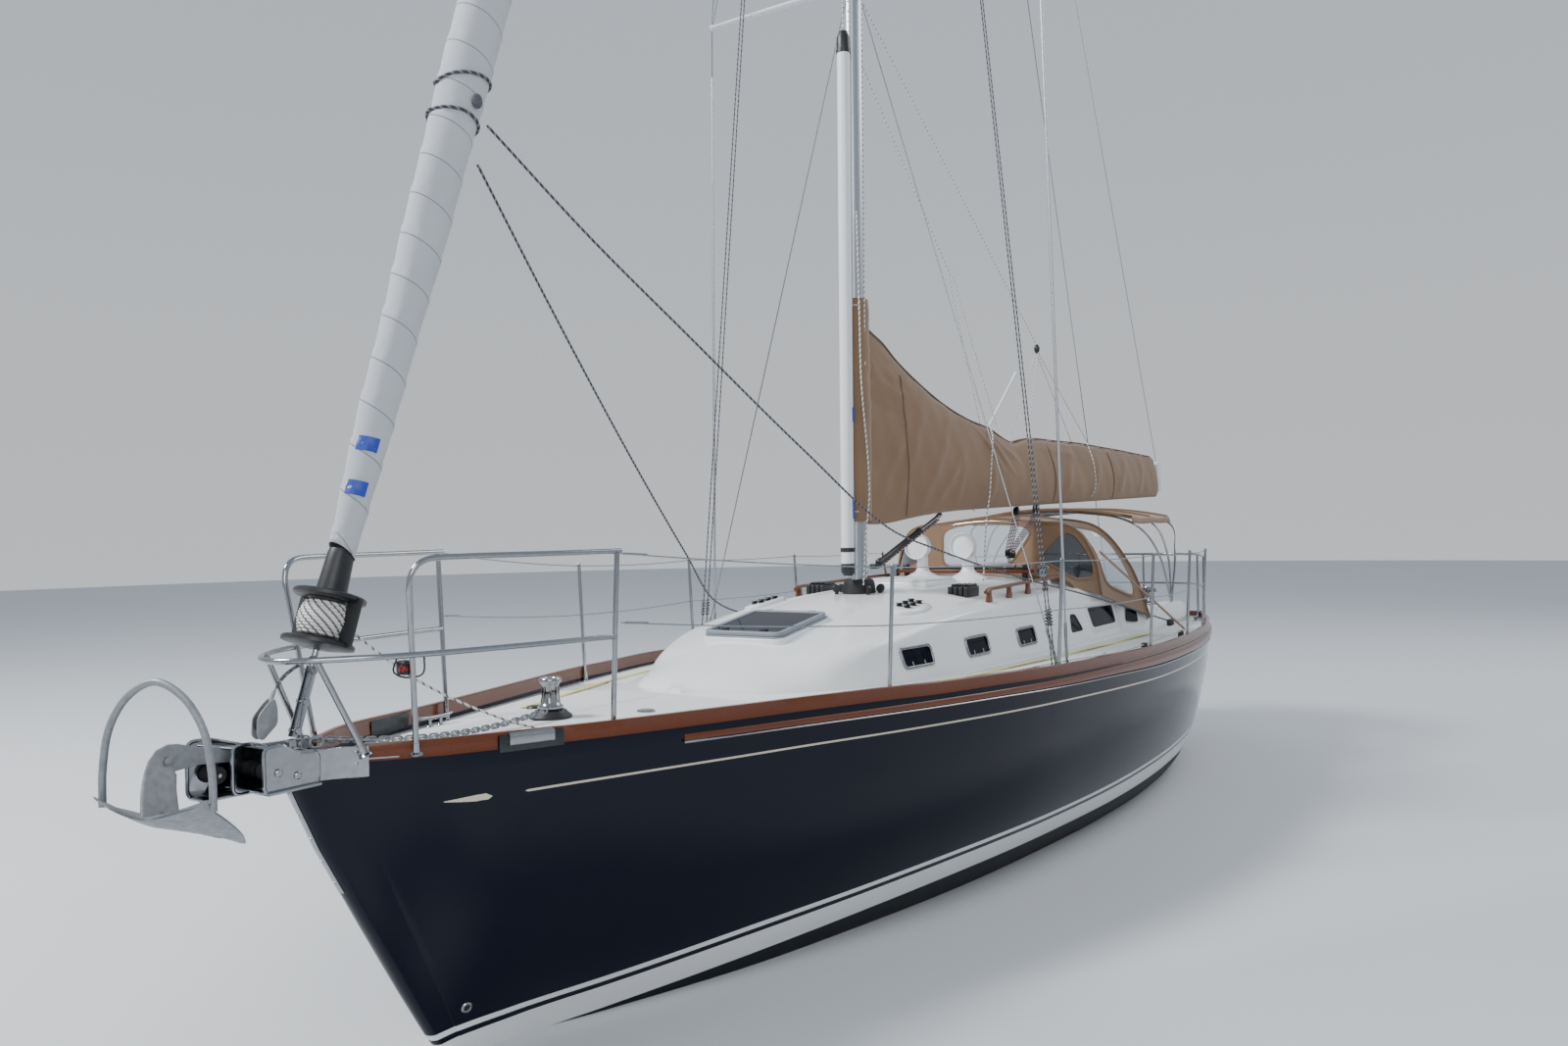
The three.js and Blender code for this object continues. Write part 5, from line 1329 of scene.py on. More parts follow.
class YACHT_OT_bow(bpy.types.Operator):
    """Makes the bow casting with its rollers, the stem band, the anchor and the chain."""
    bl_idname = "yacht.bow"
    bl_label = "Bow fitting and anchor"
    bl_options = {"REGISTER", "UNDO"}

    def execute(self, context):
        x = np.linspace(5.49, 5.222, 24)
        top = curve_through([(5.22, 0.106), (5.30, 0.108), (5.42, 0.110), (5.50, 0.132)])(x)
        ring = np.stack([np.stack([np.full(len(x), out), h], -1) for out, h in (
            (0.002, np.full(len(x), -0.026)), (0.008, np.full(len(x), -0.022)), (0.008, top[:, 0] - 0.004),
            (0.004, top[:, 0]), (-0.004, top[:, 0] - 0.004), (-0.006, np.full(len(x), -0.026)))], 1)
        side = edge_run(x, ring)
        half = deck_half(5.49) + 0.008
        z = sheer(5.49)
        nose = block((5.482, -half, z - 0.04), (5.496, half, z + 0.06), 0.005)
        deck = plate(np.linspace(5.49, 5.12, 12), 0.0, deck_half(np.linspace(5.49, 5.12, 12)) - 0.002,
                     lambda a, b: sheer(a) + 0.052 + 0 * b, 0.0, 0.006, 8)
        lip = [block((5.40, -0.105, z - 0.036), (5.640, 0.130, z - 0.022), 0.004),
               block((5.64, -0.105, z - 0.036), (5.83, 0.005, z - 0.024), 0.004)]
        cheeks = []
        for y, front, head in ((0.105, 5.645, 1.484), (0.0, 5.710, 1.492), (-0.105, 5.832, 1.520)):
            outline = rounded_ring(np.array([
                (5.40, z - 0.03), (5.40, 1.432), (5.50, 1.438), (front - 0.09, head - 0.004), (front, head - 0.002),
                (front, z - 0.03)]), 0.032, 5)
            cheeks.append(slab(outline, y - 0.005, y + 0.005))
            cheeks.append(hoop(upright(outline, y), 0.008, 8, PORT))
        pins = [rod((px, low, pz), (px, high, pz), 0.008)
                for px, pz, low, high in ((5.585, 1.375, -0.112, 0.114), (5.76, 1.385, -0.112, -0.002))]
        heads = [turned([(0.0, 0), (0.016, 0), (0.016, 0.006), (0.011, 0.010)], (px, y, pz), (0, np.sign(y), 0), 16)
                 for px, pz, y in ((5.585, 1.375, 0.110), (5.585, 1.375, -0.110), (5.76, 1.385, -0.110),
                                   (5.50, 1.350, 0.110))]
        bar = [rod((5.62, -0.006, 1.475), (5.62, 0.108, 1.475), 0.007),
               rod((5.79, -0.108, 1.500), (5.69, -0.002, 1.478), 0.007)]
        tang = block((5.410, -0.014, 1.38), (5.470, 0.014, 1.478), 0.006)
        bolts = [turned([(0.0, 0), (0.009, 0), (0.009, 0.002), (0.004, 0.005)],
                        (bx, deck_half(bx) + 0.007, sheer(bx) + bz), (0.35, 0.94, 0), 12)
                 for bx, bz in ((5.46, 0.03), (5.40, 0.015), (5.26, 0.03), (5.26, 0.08))]
        build("bow_casting", [*both([side, deck, *bolts]), nose, *lip, *cheeks, *pins, *heads, *bar, tang],
              "stainless", node="bow_fitting")
        groove = [(0.008, 0.0), (0.031, 0.0), (0.034, 0.006), (0.031, 0.020), (0.022, 0.040), (0.022, 0.048),
                  (0.031, 0.068), (0.034, 0.082), (0.031, 0.088), (0.008, 0.088)]
        rollers = [turned(groove, (px, y, pz), PORT, 28)
                   for px, y, pz in ((5.585, 0.007, 1.375), (5.585, -0.096, 1.375), (5.76, -0.096, 1.385))]
        build("bow_rollers", rollers, "rubber")
        self.stem()
        self.anchor()
        self.chain()
        # Painted shade: a dark grey block below and round each chock's stainless insert.
        dark = [edge_run(np.linspace(4.74, 4.44, 10), rounded_ring(
            [(0.006, 0.020), (0.006, 0.096), (-0.044, 0.096), (-0.044, 0.020)], 0.004, 3))]
        insert = edge_run(np.linspace(4.70, 4.49, 8), rounded_ring(
            [(0.016, 0.046), (0.016, 0.104), (-0.040, 0.104), (-0.040, 0.046)], 0.012, 4))
        build("mooring_chocks", [*both(dark), *numbered(both([insert]), 1)], "dark_alloy stainless")
        return {"FINISHED"}

    def stem(self):
        """Rounded stem ahead of the hull's flat fore edge, and the polished band bolted to
        its upper part."""
        rows = hull_side(np.linspace(FORE_STATION, 5.2, 52), np.linspace(0.0, 1.0, 80))
        first = int(np.argmax(rows[:, 0, 2] < 0.0)) + 1
        station = FORE_STATION - 0.005 * first
        z = np.linspace(-0.22, 1.326, 90)
        width = np.interp(z, rows[first, :, 2], rows[first, :, 1]) / deck_half(station)
        back = STEM_RAKE * (STEM_HEAD - z)
        ahead = np.interp(z, [-0.22, 0.0, 0.25, 0.52, 0.78, 1.0, 1.1, 1.19, 1.28, 1.33],
                          [4.62, 4.776, 4.921, 5.072, 5.217, 5.340, 5.386, 5.429, 5.470, 5.488])
        last = np.minimum(FORE_STATION, ahead + back - 0.03)
        k = np.linspace(0, 1, 12)
        run = (station - 0.02) + (last - station + 0.02)[:, None] * k
        a = np.linspace(0, np.pi / 2, 9)[1:]
        edge = deck_half(last) * width + 0.001
        x = np.concatenate([run - back[:, None],
                            (last - back)[:, None] + (ahead - last + back)[:, None] * np.sin(a)], 1)
        y = np.concatenate([deck_half(run) * width[:, None] + 0.001, edge[:, None] * np.cos(a)], 1)
        x, y = np.concatenate([x, x[:, -2::-1]], 1), np.concatenate([y, -y[:, -2::-1]], 1)
        front = levels(x, y, z)
        nose = build("stem_nose", [solid(front)], "enamel", sharp=60)
        paint_edges(nose, bpy.context.scene.yacht_sizes)
        drop = np.linspace(1.285, 0.79, 40)
        path = np.column_stack([np.interp(drop, z, ahead) + 0.001, np.zeros(len(drop)), drop])
        band = strip(path, 0.034, 0.007, 0.003, AHEAD)
        studs = [turned([(0.0, 0), (0.009, 0), (0.008, 0.003), (0.003, 0.006)],
                        (float(np.interp(h, z, ahead)) + 0.004, 0, h), (1, 0, -0.5), 12)
                 for h in np.arange(0.84, 1.27, 0.105)]
        build("stem_band", [band, *studs], "stainless")

    def anchor(self):
        """Anchor with a dished blade, a shank that drops at its end and a hoop: the blade is a
        sheet of two parameters, length and breadth, that widens and lifts at its edges. The
        blade and the hoop hang a little askew in the roller."""
        path = smooth_path([(5.33, -0.045, 1.440), (5.60, -0.045, 1.446), (5.84, -0.045, 1.470),
                            (5.955, -0.030, 1.475), (6.00, 0.0, 1.40), (6.02, 0.035, 1.29)], 30)
        shank = carry(path, rounded(0.056, 0.016, 0.005), up=PORT,
                      scale=np.interp(np.arange(30), [0, 3, 17, 22, 29], [0.7, 1, 1.2, 2.2, 2.6]),
                      lift_scale=np.ones(30))
        u, v = np.linspace(0, 1, 20)[:, None], np.linspace(-1, 1, 21)[None]
        half = 0.012 + 0.228 * u**0.8
        x = -0.46 + 0.50 * u + 0.04 * (1 - v**2) * u + 0 * v
        y = half * v
        z = 1.085 + 0.205 * u**0.9 + 0.060 * u * np.abs(v)**1.5 + 0.02 * np.clip(u - 0.85, 0, 1) / 0.15
        face = np.stack([x, y, z], -1)
        back = face - [0.006, 0, 0.014]
        blade = solid(np.concatenate([face, back[:, ::-1]], 1))
        hoop = tube(smooth_path([(0.0, 0.236, 1.32), (0.0, 0.232, 1.46), (0.0, 0.197, 1.62), (0.0, 0.112, 1.735),
                                 (0.0, 0, 1.785), (0.0, -0.112, 1.735), (0.0, -0.197, 1.62), (0.0, -0.232, 1.46),
                                 (0.0, -0.236, 1.32)], 56), 0.014, 16)
        rib = strip([(-0.34, 0, 1.150), (-0.01, 0, 1.285)], 0.05, 0.012, 0.004, PORT)
        askew = [moved(skin, (6.035, 0.045, 0), (0, 0, 20)) for skin in (blade, hoop, rib)]
        bolt = turned([(0.0, 0), (0.016, 0), (0.016, 0.008), (0.008, 0.012)], (5.955, -0.020, 1.475), PORT, 16)
        build("anchor_body", [shank, bolt, *askew], "galvanised", node="anchor")

    def chain(self):
        """Chain of oval links, each turned a quarter from the last, from the anchor's shackle
        over the deck to the windlass."""
        path = smooth_path([(5.36, -0.045, 1.462), (5.15, -0.02, 1.425), (4.80, 0.04, 1.385), (4.40, 0.05, 1.372),
                            (4.06, 0.07, 1.40)], 400)
        run = np.concatenate([[0], np.cumsum(np.linalg.norm(np.diff(path, axis=0), axis=1))])
        at = np.arange(0, run[-1], 0.031)
        centre = np.column_stack([np.interp(at, run, path[:, k]) for k in range(3)])
        ahead, side, lift = frames(centre, UP)
        oval = rounded_ring([(0.024, 0.011), (-0.024, 0.011), (-0.024, -0.011), (0.024, -0.011)], 0.011, 3)
        links = []
        for i in range(len(at)):
            across = side[i] if i % 2 else lift[i]
            loop = centre[i] + oval[:, :1] * ahead[i] + oval[:, 1:] * across
            links.append(hoop(loop, 0.0045, 5, np.cross(ahead[i], across)))
        shackle = hoop(rounded_ring([(5.40, 0.05, 1.475), (5.34, 0.05, 1.475), (5.34, 0.05, 1.435),
                                     (5.40, 0.05, 1.435)], 0.02, 4), 0.006, 8, PORT)
        build("anchor_chain", [*links, shackle], "galvanised")


class YACHT_OT_windlass(bpy.types.Operator):
    """Makes the windlass base and its capstan, and the small fittings of the foredeck."""
    bl_idname = "yacht.windlass"
    bl_label = "Windlass"
    bl_options = {"REGISTER", "UNDO"}

    def execute(self, context):
        z = deck_z(WINDLASS_X, 0.0)
        base = turned([(0.108, 0), (0.110, 0.004), (0.110, 0.032), (0.106, 0.036), (0.088, 0.050), (0.080, 0.060),
                       (0.02, 0.060)],
                      (WINDLASS_X, 0, z - 0.02), sides=48)
        build("windlass_foot", [base], "black", node="windlass_base")
        profile = [(0.060, 0.0), (0.062, 0.003), (0.066, 0.014), (0.066, 0.020), (0.060, 0.024), (0.052, 0.032),
                   (0.045, 0.046), (0.041, 0.070), (0.039, 0.095), (0.040, 0.118), (0.046, 0.134), (0.056, 0.146),
                   (0.058, 0.152), (0.057, 0.160), (0.052, 0.165), (0.030, 0.166), (0.026, 0.160), (0.01, 0.160)]
        drum = turned(profile, (WINDLASS_X, 0, z + 0.0404), sides=48)
        ribs = []
        for t in around(8):
            path = [(WINDLASS_X + r * np.cos(t), r * np.sin(t), z + h)
                    for r, h in ((0.047, 0.080), (0.041, 0.110), (0.044, 0.160))]
            ribs.append(carry(path, circle(6), scale=0.004))
        build("windlass_drum", [drum, *ribs], "stainless", "capstan", node="windlass_capstan")
        lip = turned([(0.050, 0.0), (0.050, 0.006), (0.044, 0.010), (0.02, 0.010)],
                     (3.55, 0.30, deck_z(3.55, 0.3) - 0.001), sides=32)
        cap = turned([(0.040, 0.0), (0.040, 0.011), (0.02, 0.012)], (3.55, 0.30, deck_z(3.55, 0.3)), sides=32)
        foot_switches = [turned([(0.045, 0), (0.045, 0.008), (0.038, 0.016), (0.01, 0.019)],
                                (3.72, y, deck_z(3.72, y) - 0.002), sides=28)
                         for y in (-0.22, -0.34)]
        build("deck_fills", [lip, cap], "stainless")
        build("foot_switches", foot_switches, "black")
        cleats = []
        for x, out in ((4.32, 0.14), (-0.2, 0.13), (-4.55, 0.14)):
            cleats.append(self.cleat(x, deck_half(x) - out))
        build("mooring_cleats", both(sum(cleats, [])), "stainless")
        return {"FINISHED"}

    def cleat(self, x, y):
        """Cleat on the side deck: two feet and a horn whose ends taper and lift."""
        z = deck_z(x, y)
        path = smooth_path([(x - 0.115, y, z + 0.055), (x - 0.06, y, z + 0.047), (x, y, z + 0.045),
                            (x + 0.06, y, z + 0.047), (x + 0.115, y, z + 0.055)], 16)
        horn = carry(path, circle(10), scale=0.011 * np.sqrt(np.clip(1 - np.linspace(-1, 1, 16)**4, 0.12, 1)),
                     up=UP)
        feet = [turned([(0.020, 0), (0.018, 0.006), (0.010, 0.012), (0.009, 0.045)], (x + dx, y, z - 0.002),
                       sides=14) for dx in (-0.035, 0.035)]
        return [horn, *feet]


class YACHT_OT_guardrails(bpy.types.Operator):
    """Makes the pulpit, the pushpit and the stanchions with their lifelines."""
    bl_idname = "yacht.guardrails"
    bl_label = "Pulpit, pushpit and lifelines"
    bl_options = {"REGISTER", "UNDO"}

    def execute(self, context):
        sizes = context.scene.yacht_sizes
        r = sizes.tube
        top = bent_path([(5.097, 0.338, 1.385), (5.195, 0.424, 2.205), (4.90, 0.480, 2.208), (4.50, 0.56, 2.205),
                         (4.10, 0.618, 2.205)], 0.14, 10)
        aft = [(4.13, 0.575, deck_z(4.13, 0.575) - 0.004), (4.13, 0.620, 2.200)]
        nose_half = [(4.13, 0.600, 1.800), (4.70, 0.500, 1.804), (5.158, 0.390, 1.808), (5.38, 0.250, 1.808),
                     (5.50, 0.120, 1.806), (5.536, 0, 1.804)]
        nose = smooth_path(nose_half + [(x, -y, z) for x, y, z in nose_half[-2::-1]], 90)
        strut = [(5.445, 0.165, 1.806), (5.245, 0.200, 1.395)]
        feet = [turned([(0.030, 0), (0.028, 0.006), (0.016, 0.012), (0.0145, 0.05)], foot, axis, 18)
                for foot, axis in (
                    ((5.097, 0.338, 1.385), (0.1, 0.086, 0.8)),
                    ((4.13, 0.575, deck_z(4.13, 0.575) - 0.004), (0, 0.05, 1)),
                    ((5.245, 0.200, 1.395), (0.2, -0.035, 0.41)))]
        pieces = both([tube(top, r, 14), tube(aft, r, 14), tube(strut, r, 14), *feet]) + [tube(nose, r, 14)]
        build("pulpit_rail", pieces, "stainless", node="pulpit")
        light = [block((5.115, 0.300, 1.722), (5.170, 0.362, 1.782), 0.014, 4)]
        lens = [ball((5.150, 0.338, 1.750), 0.026, sides=18)]
        light += [tube(smooth_path([(5.10, 0.40, 1.80), (5.105, 0.395, 1.725), (5.15, 0.34, 1.712),
                                    (5.20, 0.33, 1.74), (5.21, 0.365, 1.80)], 16), 0.004, 6)]
        build("bow_light", [*light, *numbered(lens, 1)], "black red_lens")
        self.pushpit()
        for name, turn in (("port", list), ("starboard", other_side)):
            legs, wires, bases = map(turn, self.lifelines(sizes))
            build(f"stanchions_{name}", [*legs, *bases], "stainless", node=f"lifelines_{name}")
            build(f"lifeline_wires_{name}", wires, "steel_wire")
        return {"FINISHED"}

    def pushpit(self):
        """Stern rail: a top and a middle loop round the stern and three legs on each side."""
        z = sheer(-4.7) + 0.70
        out = [(-4.2, deck_half(-4.2) - 0.05), (-4.7, deck_half(-4.7) - 0.05), (-5.15, deck_half(-5.15) - 0.07),
               (-5.33, deck_half(-5.3) - 0.21)]
        loops = []
        for height, radius in ((z, 0.0125), (z - 0.33, 0.011)):
            half = [(x, y, height) for x, y in out] + [(-5.35, 0, height)]
            loops.append(tube(smooth_path(half + [(x, -y, h) for x, y, h in half[-2::-1]], 110), radius, 12))
        legs = [tube([(x, y, deck_z(x, y) - 0.01), (x, y, z)], 0.0125, 12)
                for x, y in (out[0], out[2], (-5.35, 0.38))]
        feet = [turned([(0.028, 0), (0.026, 0.006), (0.015, 0.012), (0.014, 0.05)], (x, y, deck_z(x, y) - 0.002),
                       sides=16)
                for x, y in (out[0], out[2], (-5.35, 0.38))]
        build("pushpit_rail", [*loops, *both([*legs, *feet])], "stainless", node="pushpit")

    def lifelines(self, sizes):
        """Port stanchions, that lean outboard, with two wires that sag a little from one to
        the next, and the terminals where the wires end."""
        x = np.array(STANCHIONS)
        y, foot = deck_half(x) - 0.05, deck_z(x, deck_half(x) - 0.05)
        top = sheer(x) + STANCHION_TOP
        legs = [tube([(a, b, c - 0.004), (a, b + LEAN, d)], np.array([0.0125, 0.0115]), 12)
                for a, b, c, d in zip(x, y, foot, top)]
        caps = [ball((a, b + LEAN, d), 0.0135, (1, 1, 0.7), 12) for a, b, d in zip(x, y, top)]
        bases = [turned([(0.030, 0), (0.028, 0.008), (0.019, 0.014), (0.0165, 0.066), (0.013, 0.068)],
                        (a, b, c - 0.003), (0, LEAN, d - c), 18)
                 for a, b, c, d in zip(x, y, foot, top)]
        wires, ends = [], []
        for drop in (0.0, 0.33):
            k = 1 - (0.014 + drop) / (top - foot)
            stops = np.vstack([(4.098, 0.612, 2.193 - drop), np.column_stack([x, y + LEAN * k, top - 0.014 - drop]),
                               (-4.18, deck_half(-4.18) - 0.05, sheer(-4.18) + 0.69 - drop)])
            for a, b in zip(stops[:-1], stops[1:]):
                wires.append(tube(sagging(a, b, sizes.lifeline_sag, 10), sizes.wire, 8))
            for stop, towards in ((stops[0], stops[1]), (stops[-1], stops[-2])):
                way = unit(towards - stop)
                ends.append(rod(stop + way * 0.02, stop + way * 0.15, 0.006, sides=8))
        return legs + caps, wires + ends, bases


class YACHT_OT_headsail(bpy.types.Operator):
    """Makes the forestay, the furling drum and the furled headsail with its sheets."""
    bl_idname = "yacht.headsail"
    bl_label = "Furled headsail"
    bl_options = {"REGISTER", "UNDO"}

    def execute(self, context):
        way = unit(stay_point(1.0) - stay_point(0.0))
        straps = [strip([stay_point(0.004) + [0, y, 0], stay_point(0.30) + [0, y, 0]], 0.034, 0.006, 0.003, PORT)
                  for y in (-0.015, 0.015)]
        pins = [turned([(0.014, -0.028), (0.014, -0.020), (0.008, -0.019), (0.008, 0.019), (0.014, 0.020),
                        (0.014, 0.028)],
                       stay_point(d), PORT, 16) for d in (0.03, 0.15, 0.28)]
        wire = [rod(stay_point(0.28), stay_point(0.39), 0.014, sides=14),
                rod(stay_point(14.6), stay_point(15.54), 0.008, sides=8)]
        build("forestay_links", [*straps, *pins, *wire], "stainless", node="forestay")
        drum = turned([(0.018, 0.372), (0.060, 0.372), (0.138, 0.385), (0.150, 0.389), (0.150, 0.403),
                       (0.142, 0.410), (0.085, 0.414), (0.080, 0.420), (0.080, 0.572), (0.085, 0.580),
                       (0.142, 0.584), (0.150, 0.590), (0.150, 0.604), (0.142, 0.610), (0.075, 0.614),
                       (0.064, 0.622), (0.062, 0.66), (0.060, 0.70), (0.056, 0.78), (0.052, 0.80), (0.02, 0.80)],
                       stay_point(0), way, 48)
        posts = [strip([stay_point(h) + 0.134 * round_stay(t) for h in (0.395, 0.600)], 0.012, 0.070, 0.004,
                       round_stay(t)) for t in (-0.25, np.pi - 0.1)]
        build("furling_drum", [drum, *posts], "black", node="furler_drum")
        h = np.linspace(0.425, 0.568, 90)
        bulge = 0.018 * np.sin((h - 0.425) / 0.143 * np.pi)
        wound = turned(np.column_stack([0.086 + bulge + 0.0055 * np.abs(np.sin((h - 0.425) / 0.143 * np.pi * 11)),
                                        h]), stay_point(0), way, 40)
        build("furling_line_turns", [wound], "white_rope")
        self.sail()
        self.sheet_turns()
        return {"FINISHED"}

    def radius(self, d, share):
        """Radius of the furled sail at a distance up the stay and a share of the turn: the
        swell of the roll, plus a step of the cloth at each turn's edge and a slow ripple."""
        rolled = curve_through(((0.79, 0.058), (1.10, 0.068), (1.90, 0.088), (3.30, 0.116), (5.20, 0.126),
                                (9.0, 0.112), (12.5, 0.080), (14.72, 0.036)))(d)[..., 0]
        phase = share - d / ROLL_PITCH
        step = 1 - (phase % 1.0)
        ripple = np.sin(2 * np.pi * (2 * share + d / 0.9)) + 0.6 * np.sin(2 * np.pi * (3 * share - d / 1.7))
        return rolled + 0.006 * step + 0.0025 * ripple

    def sail(self):
        """Outer turn of the furled sail: rings round the stay."""
        d = np.linspace(ROLL_FOOT, ROLL_HEAD, 620)[:, None]
        share = np.linspace(0, 1, 40, endpoint=False)[None]
        a = 2 * np.pi * share
        start = d + np.where(d < 0.85, 0.03 * np.sin(a), 0)
        r = self.radius(d, share)
        points = stay_point(start) + r[..., None] * round_stay(a)
        skin = grid(points, ring=True)
        sail = cloth("furled_headsail", closed(skin), "furled", "furled_genoa", 0.003)
        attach(sail, "boat")
        tapes = []
        for low, high in ((1.235, 1.30), (1.035, 1.10)):
            d, share = np.linspace(low, high, 5)[:, None], np.linspace(0.02, 0.22, 12)[None]
            a, r = 2 * np.pi * share, self.radius(d, share) + 0.003
            face = stay_point(d) + r[..., None] * round_stay(a)
            back = stay_point(d) + (r - 0.003)[..., None] * round_stay(a)
            tapes.append(solid(np.concatenate([face, back[:, ::-1]], 1)))
        build("sail_tapes", tapes, "blue_tape")

    def sheet_turns(self):
        """The two sheets' turns round the sail near its clew, with the knot on top."""
        turns = []
        for base, rise, first in ((3.07, 0.09, 0.30), (2.93, -0.02, 0.05)):
            t = np.linspace(0, 1, 60)
            a = 2 * np.pi * (t + first)
            r = self.radius(base + rise * t, (t + first) % 1.0) + 0.007
            path = stay_point(base + rise * np.sin(np.pi * t)) + r[:, None] * round_stay(a)
            turns.append(tube(path, 0.0075, 8))
        knot = ball(stay_point(3.0) + 0.135 * round_stay(0), 0.028, (1, 0.8, 1.3), 14)
        build("sheet_turns", [*turns, knot], "dark_rope")


class YACHT_OT_mast(bpy.types.Operator):
    """Makes the mast with its tracks, spreaders, collar and pole."""
    bl_idname = "yacht.mast"
    bl_label = "Mast and pole"
    bl_options = {"REGISTER", "UNDO"}

    def execute(self, context):
        z = np.concatenate([np.linspace(1.79, 14.5, 40), np.linspace(14.7, MAST_HEAD, 10)])
        spar = solid(mast_ring(z))
        head = mast_x(MAST_HEAD)
        crane = block((head - 0.16, -0.022, 16.44), (head + 0.13, 0.022, 16.52), 0.008)
        arms = []
        for height, half, sweep in SPREADERS:
            x = mast_x(height)
            path = np.array([(x, 0.02, height), (x - sweep * 0.5, half * 0.5, height + 0.03),
                             (x - sweep, half, height + 0.06)])
            arms.append(carry(path, circle(16, 1.0, 0.42), up=UP, scale=[0.060, 0.052, 0.036]))
            root = block((x - 0.075, 0.036, height - 0.030), (x + 0.075, 0.075, height + 0.034), 0.012)
            arms.append(root)
            arms.append(ball((x - sweep, half - 0.004, height + 0.06), 0.026, (1.3, 0.8, 1.0), 16))
        build("mast_spar", [spar, crane], "anodised", node="mast")
        build("mast_spreaders", both(arms), "painted_alloy")
        self.tracks()
        collar = turned([(0.126, 1.745), (0.126, 1.80), (0.122, 1.815), (0.118, 1.86), (0.110, 1.885),
                         (0.100, 1.898), (0.085, 1.898)],
                        (mast_x(1.85), 0, 0), sides=48)
        band = turned([(0.1285, 1.775), (0.1310, 1.777), (0.1310, 1.787), (0.1285, 1.789)], (mast_x(1.775), 0, 0),
                      sides=48)
        build("mast_boot", [collar, (band, 1)], "rubber stainless", node="mast_collar")
        self.pole()
        foot = []
        for a, reach in ((0.9, 0.17), (1.7, 0.165), (2.4, 0.17), (-0.9, 0.17), (-1.7, 0.165), (-2.4, 0.17)):
            c = np.array([mast_x(1.82) + reach * np.cos(a), reach * np.sin(a), 1.83])
            foot.append(turned([(0.004, -0.012), (0.026, -0.012), (0.030, -0.006), (0.022, 0.0), (0.030, 0.006),
                                (0.026, 0.012), (0.004, 0.012)],
                               c, (np.sin(a), -np.cos(a), 0), 20))
            foot.append(block(c - [0.012, 0.012, 0.045], c + [0.012, 0.012, 0.0], 0.004))
        build("mast_foot_blocks", foot, "black")
        return {"FINISHED"}

    def tracks(self):
        """Sail track up the aft face and pole track up the fore face, with its stop holes drawn as small black
        discs of painted shade.
        """
        z = np.array([2.6, 16.2])
        aft = [strip(np.column_stack([mast_x(z) - 0.083, [0, 0], z]), 0.030, 0.014, 0.004, AHEAD)]
        z = np.array([1.95, 6.6])
        front = [strip(np.column_stack([mast_x(z) + 0.088, [0, 0], z]), 0.032, 0.014, 0.004, AHEAD)]
        # Painted shade: each stop hole is a small black disc on the track's face.
        hole_shades = [turned([(0.004, 0), (0.006, 0.0), (0.006, 0.0015), (0.004, 0.002)], (mast_x(h) + 0.0945, 0, h),
                        AHEAD, 8)
                 for h in np.arange(2.0, 6.55, 0.075)]
        build("mast_tracks", [*aft, *front, *numbered(hole_shades, 1)], "anodised rubber")

    def pole(self):
        """Whisker pole stowed up the fore side of the mast, with its end fittings and tape."""
        z = np.array([1.93, 1.96, 1.962, 5.90, 5.902, 5.95])
        axis = np.column_stack([mast_x(z) + 0.168, np.zeros(6), z])
        tube_skin = tube(axis[1:5], 0.048, 32)
        ends = [tube([axis[0], axis[1], axis[1] + [0, 0, 0.06]], np.array([0.030, 0.050, 0.050]), 24),
                tube([axis[4] - [0, 0, 0.10], axis[4], axis[5]], np.array([0.050, 0.050, 0.028]), 24)]
        brackets = []
        for h in (2.12, 5.80):
            x = mast_x(h)
            brackets.append(block((x + 0.094, -0.020, h - 0.025), (x + 0.140, 0.020, h + 0.025), 0.006))
            brackets.append(turned([(0.0485, -0.016), (0.054, -0.013), (0.054, 0.013), (0.0485, 0.016)],
                                   (x + 0.168, 0, h), (-0.02, 0, 1), 24))
        build("pole_tube", [tube_skin], "painted_alloy", node="whisker_pole")
        build("pole_ends", [*ends, *brackets], "black")
        tapes = []
        for low, high in ((3.06, 3.165), (2.345, 2.495)):
            tapes.append(turned([(0.0482, low), (0.0497, low + 0.001), (0.0497, high - 0.001), (0.0482, high)],
                                (mast_x(low) + 0.168, 0, 0), (-0.004, 0, 1), 28))
        build("pole_tapes", tapes, "blue_tape")


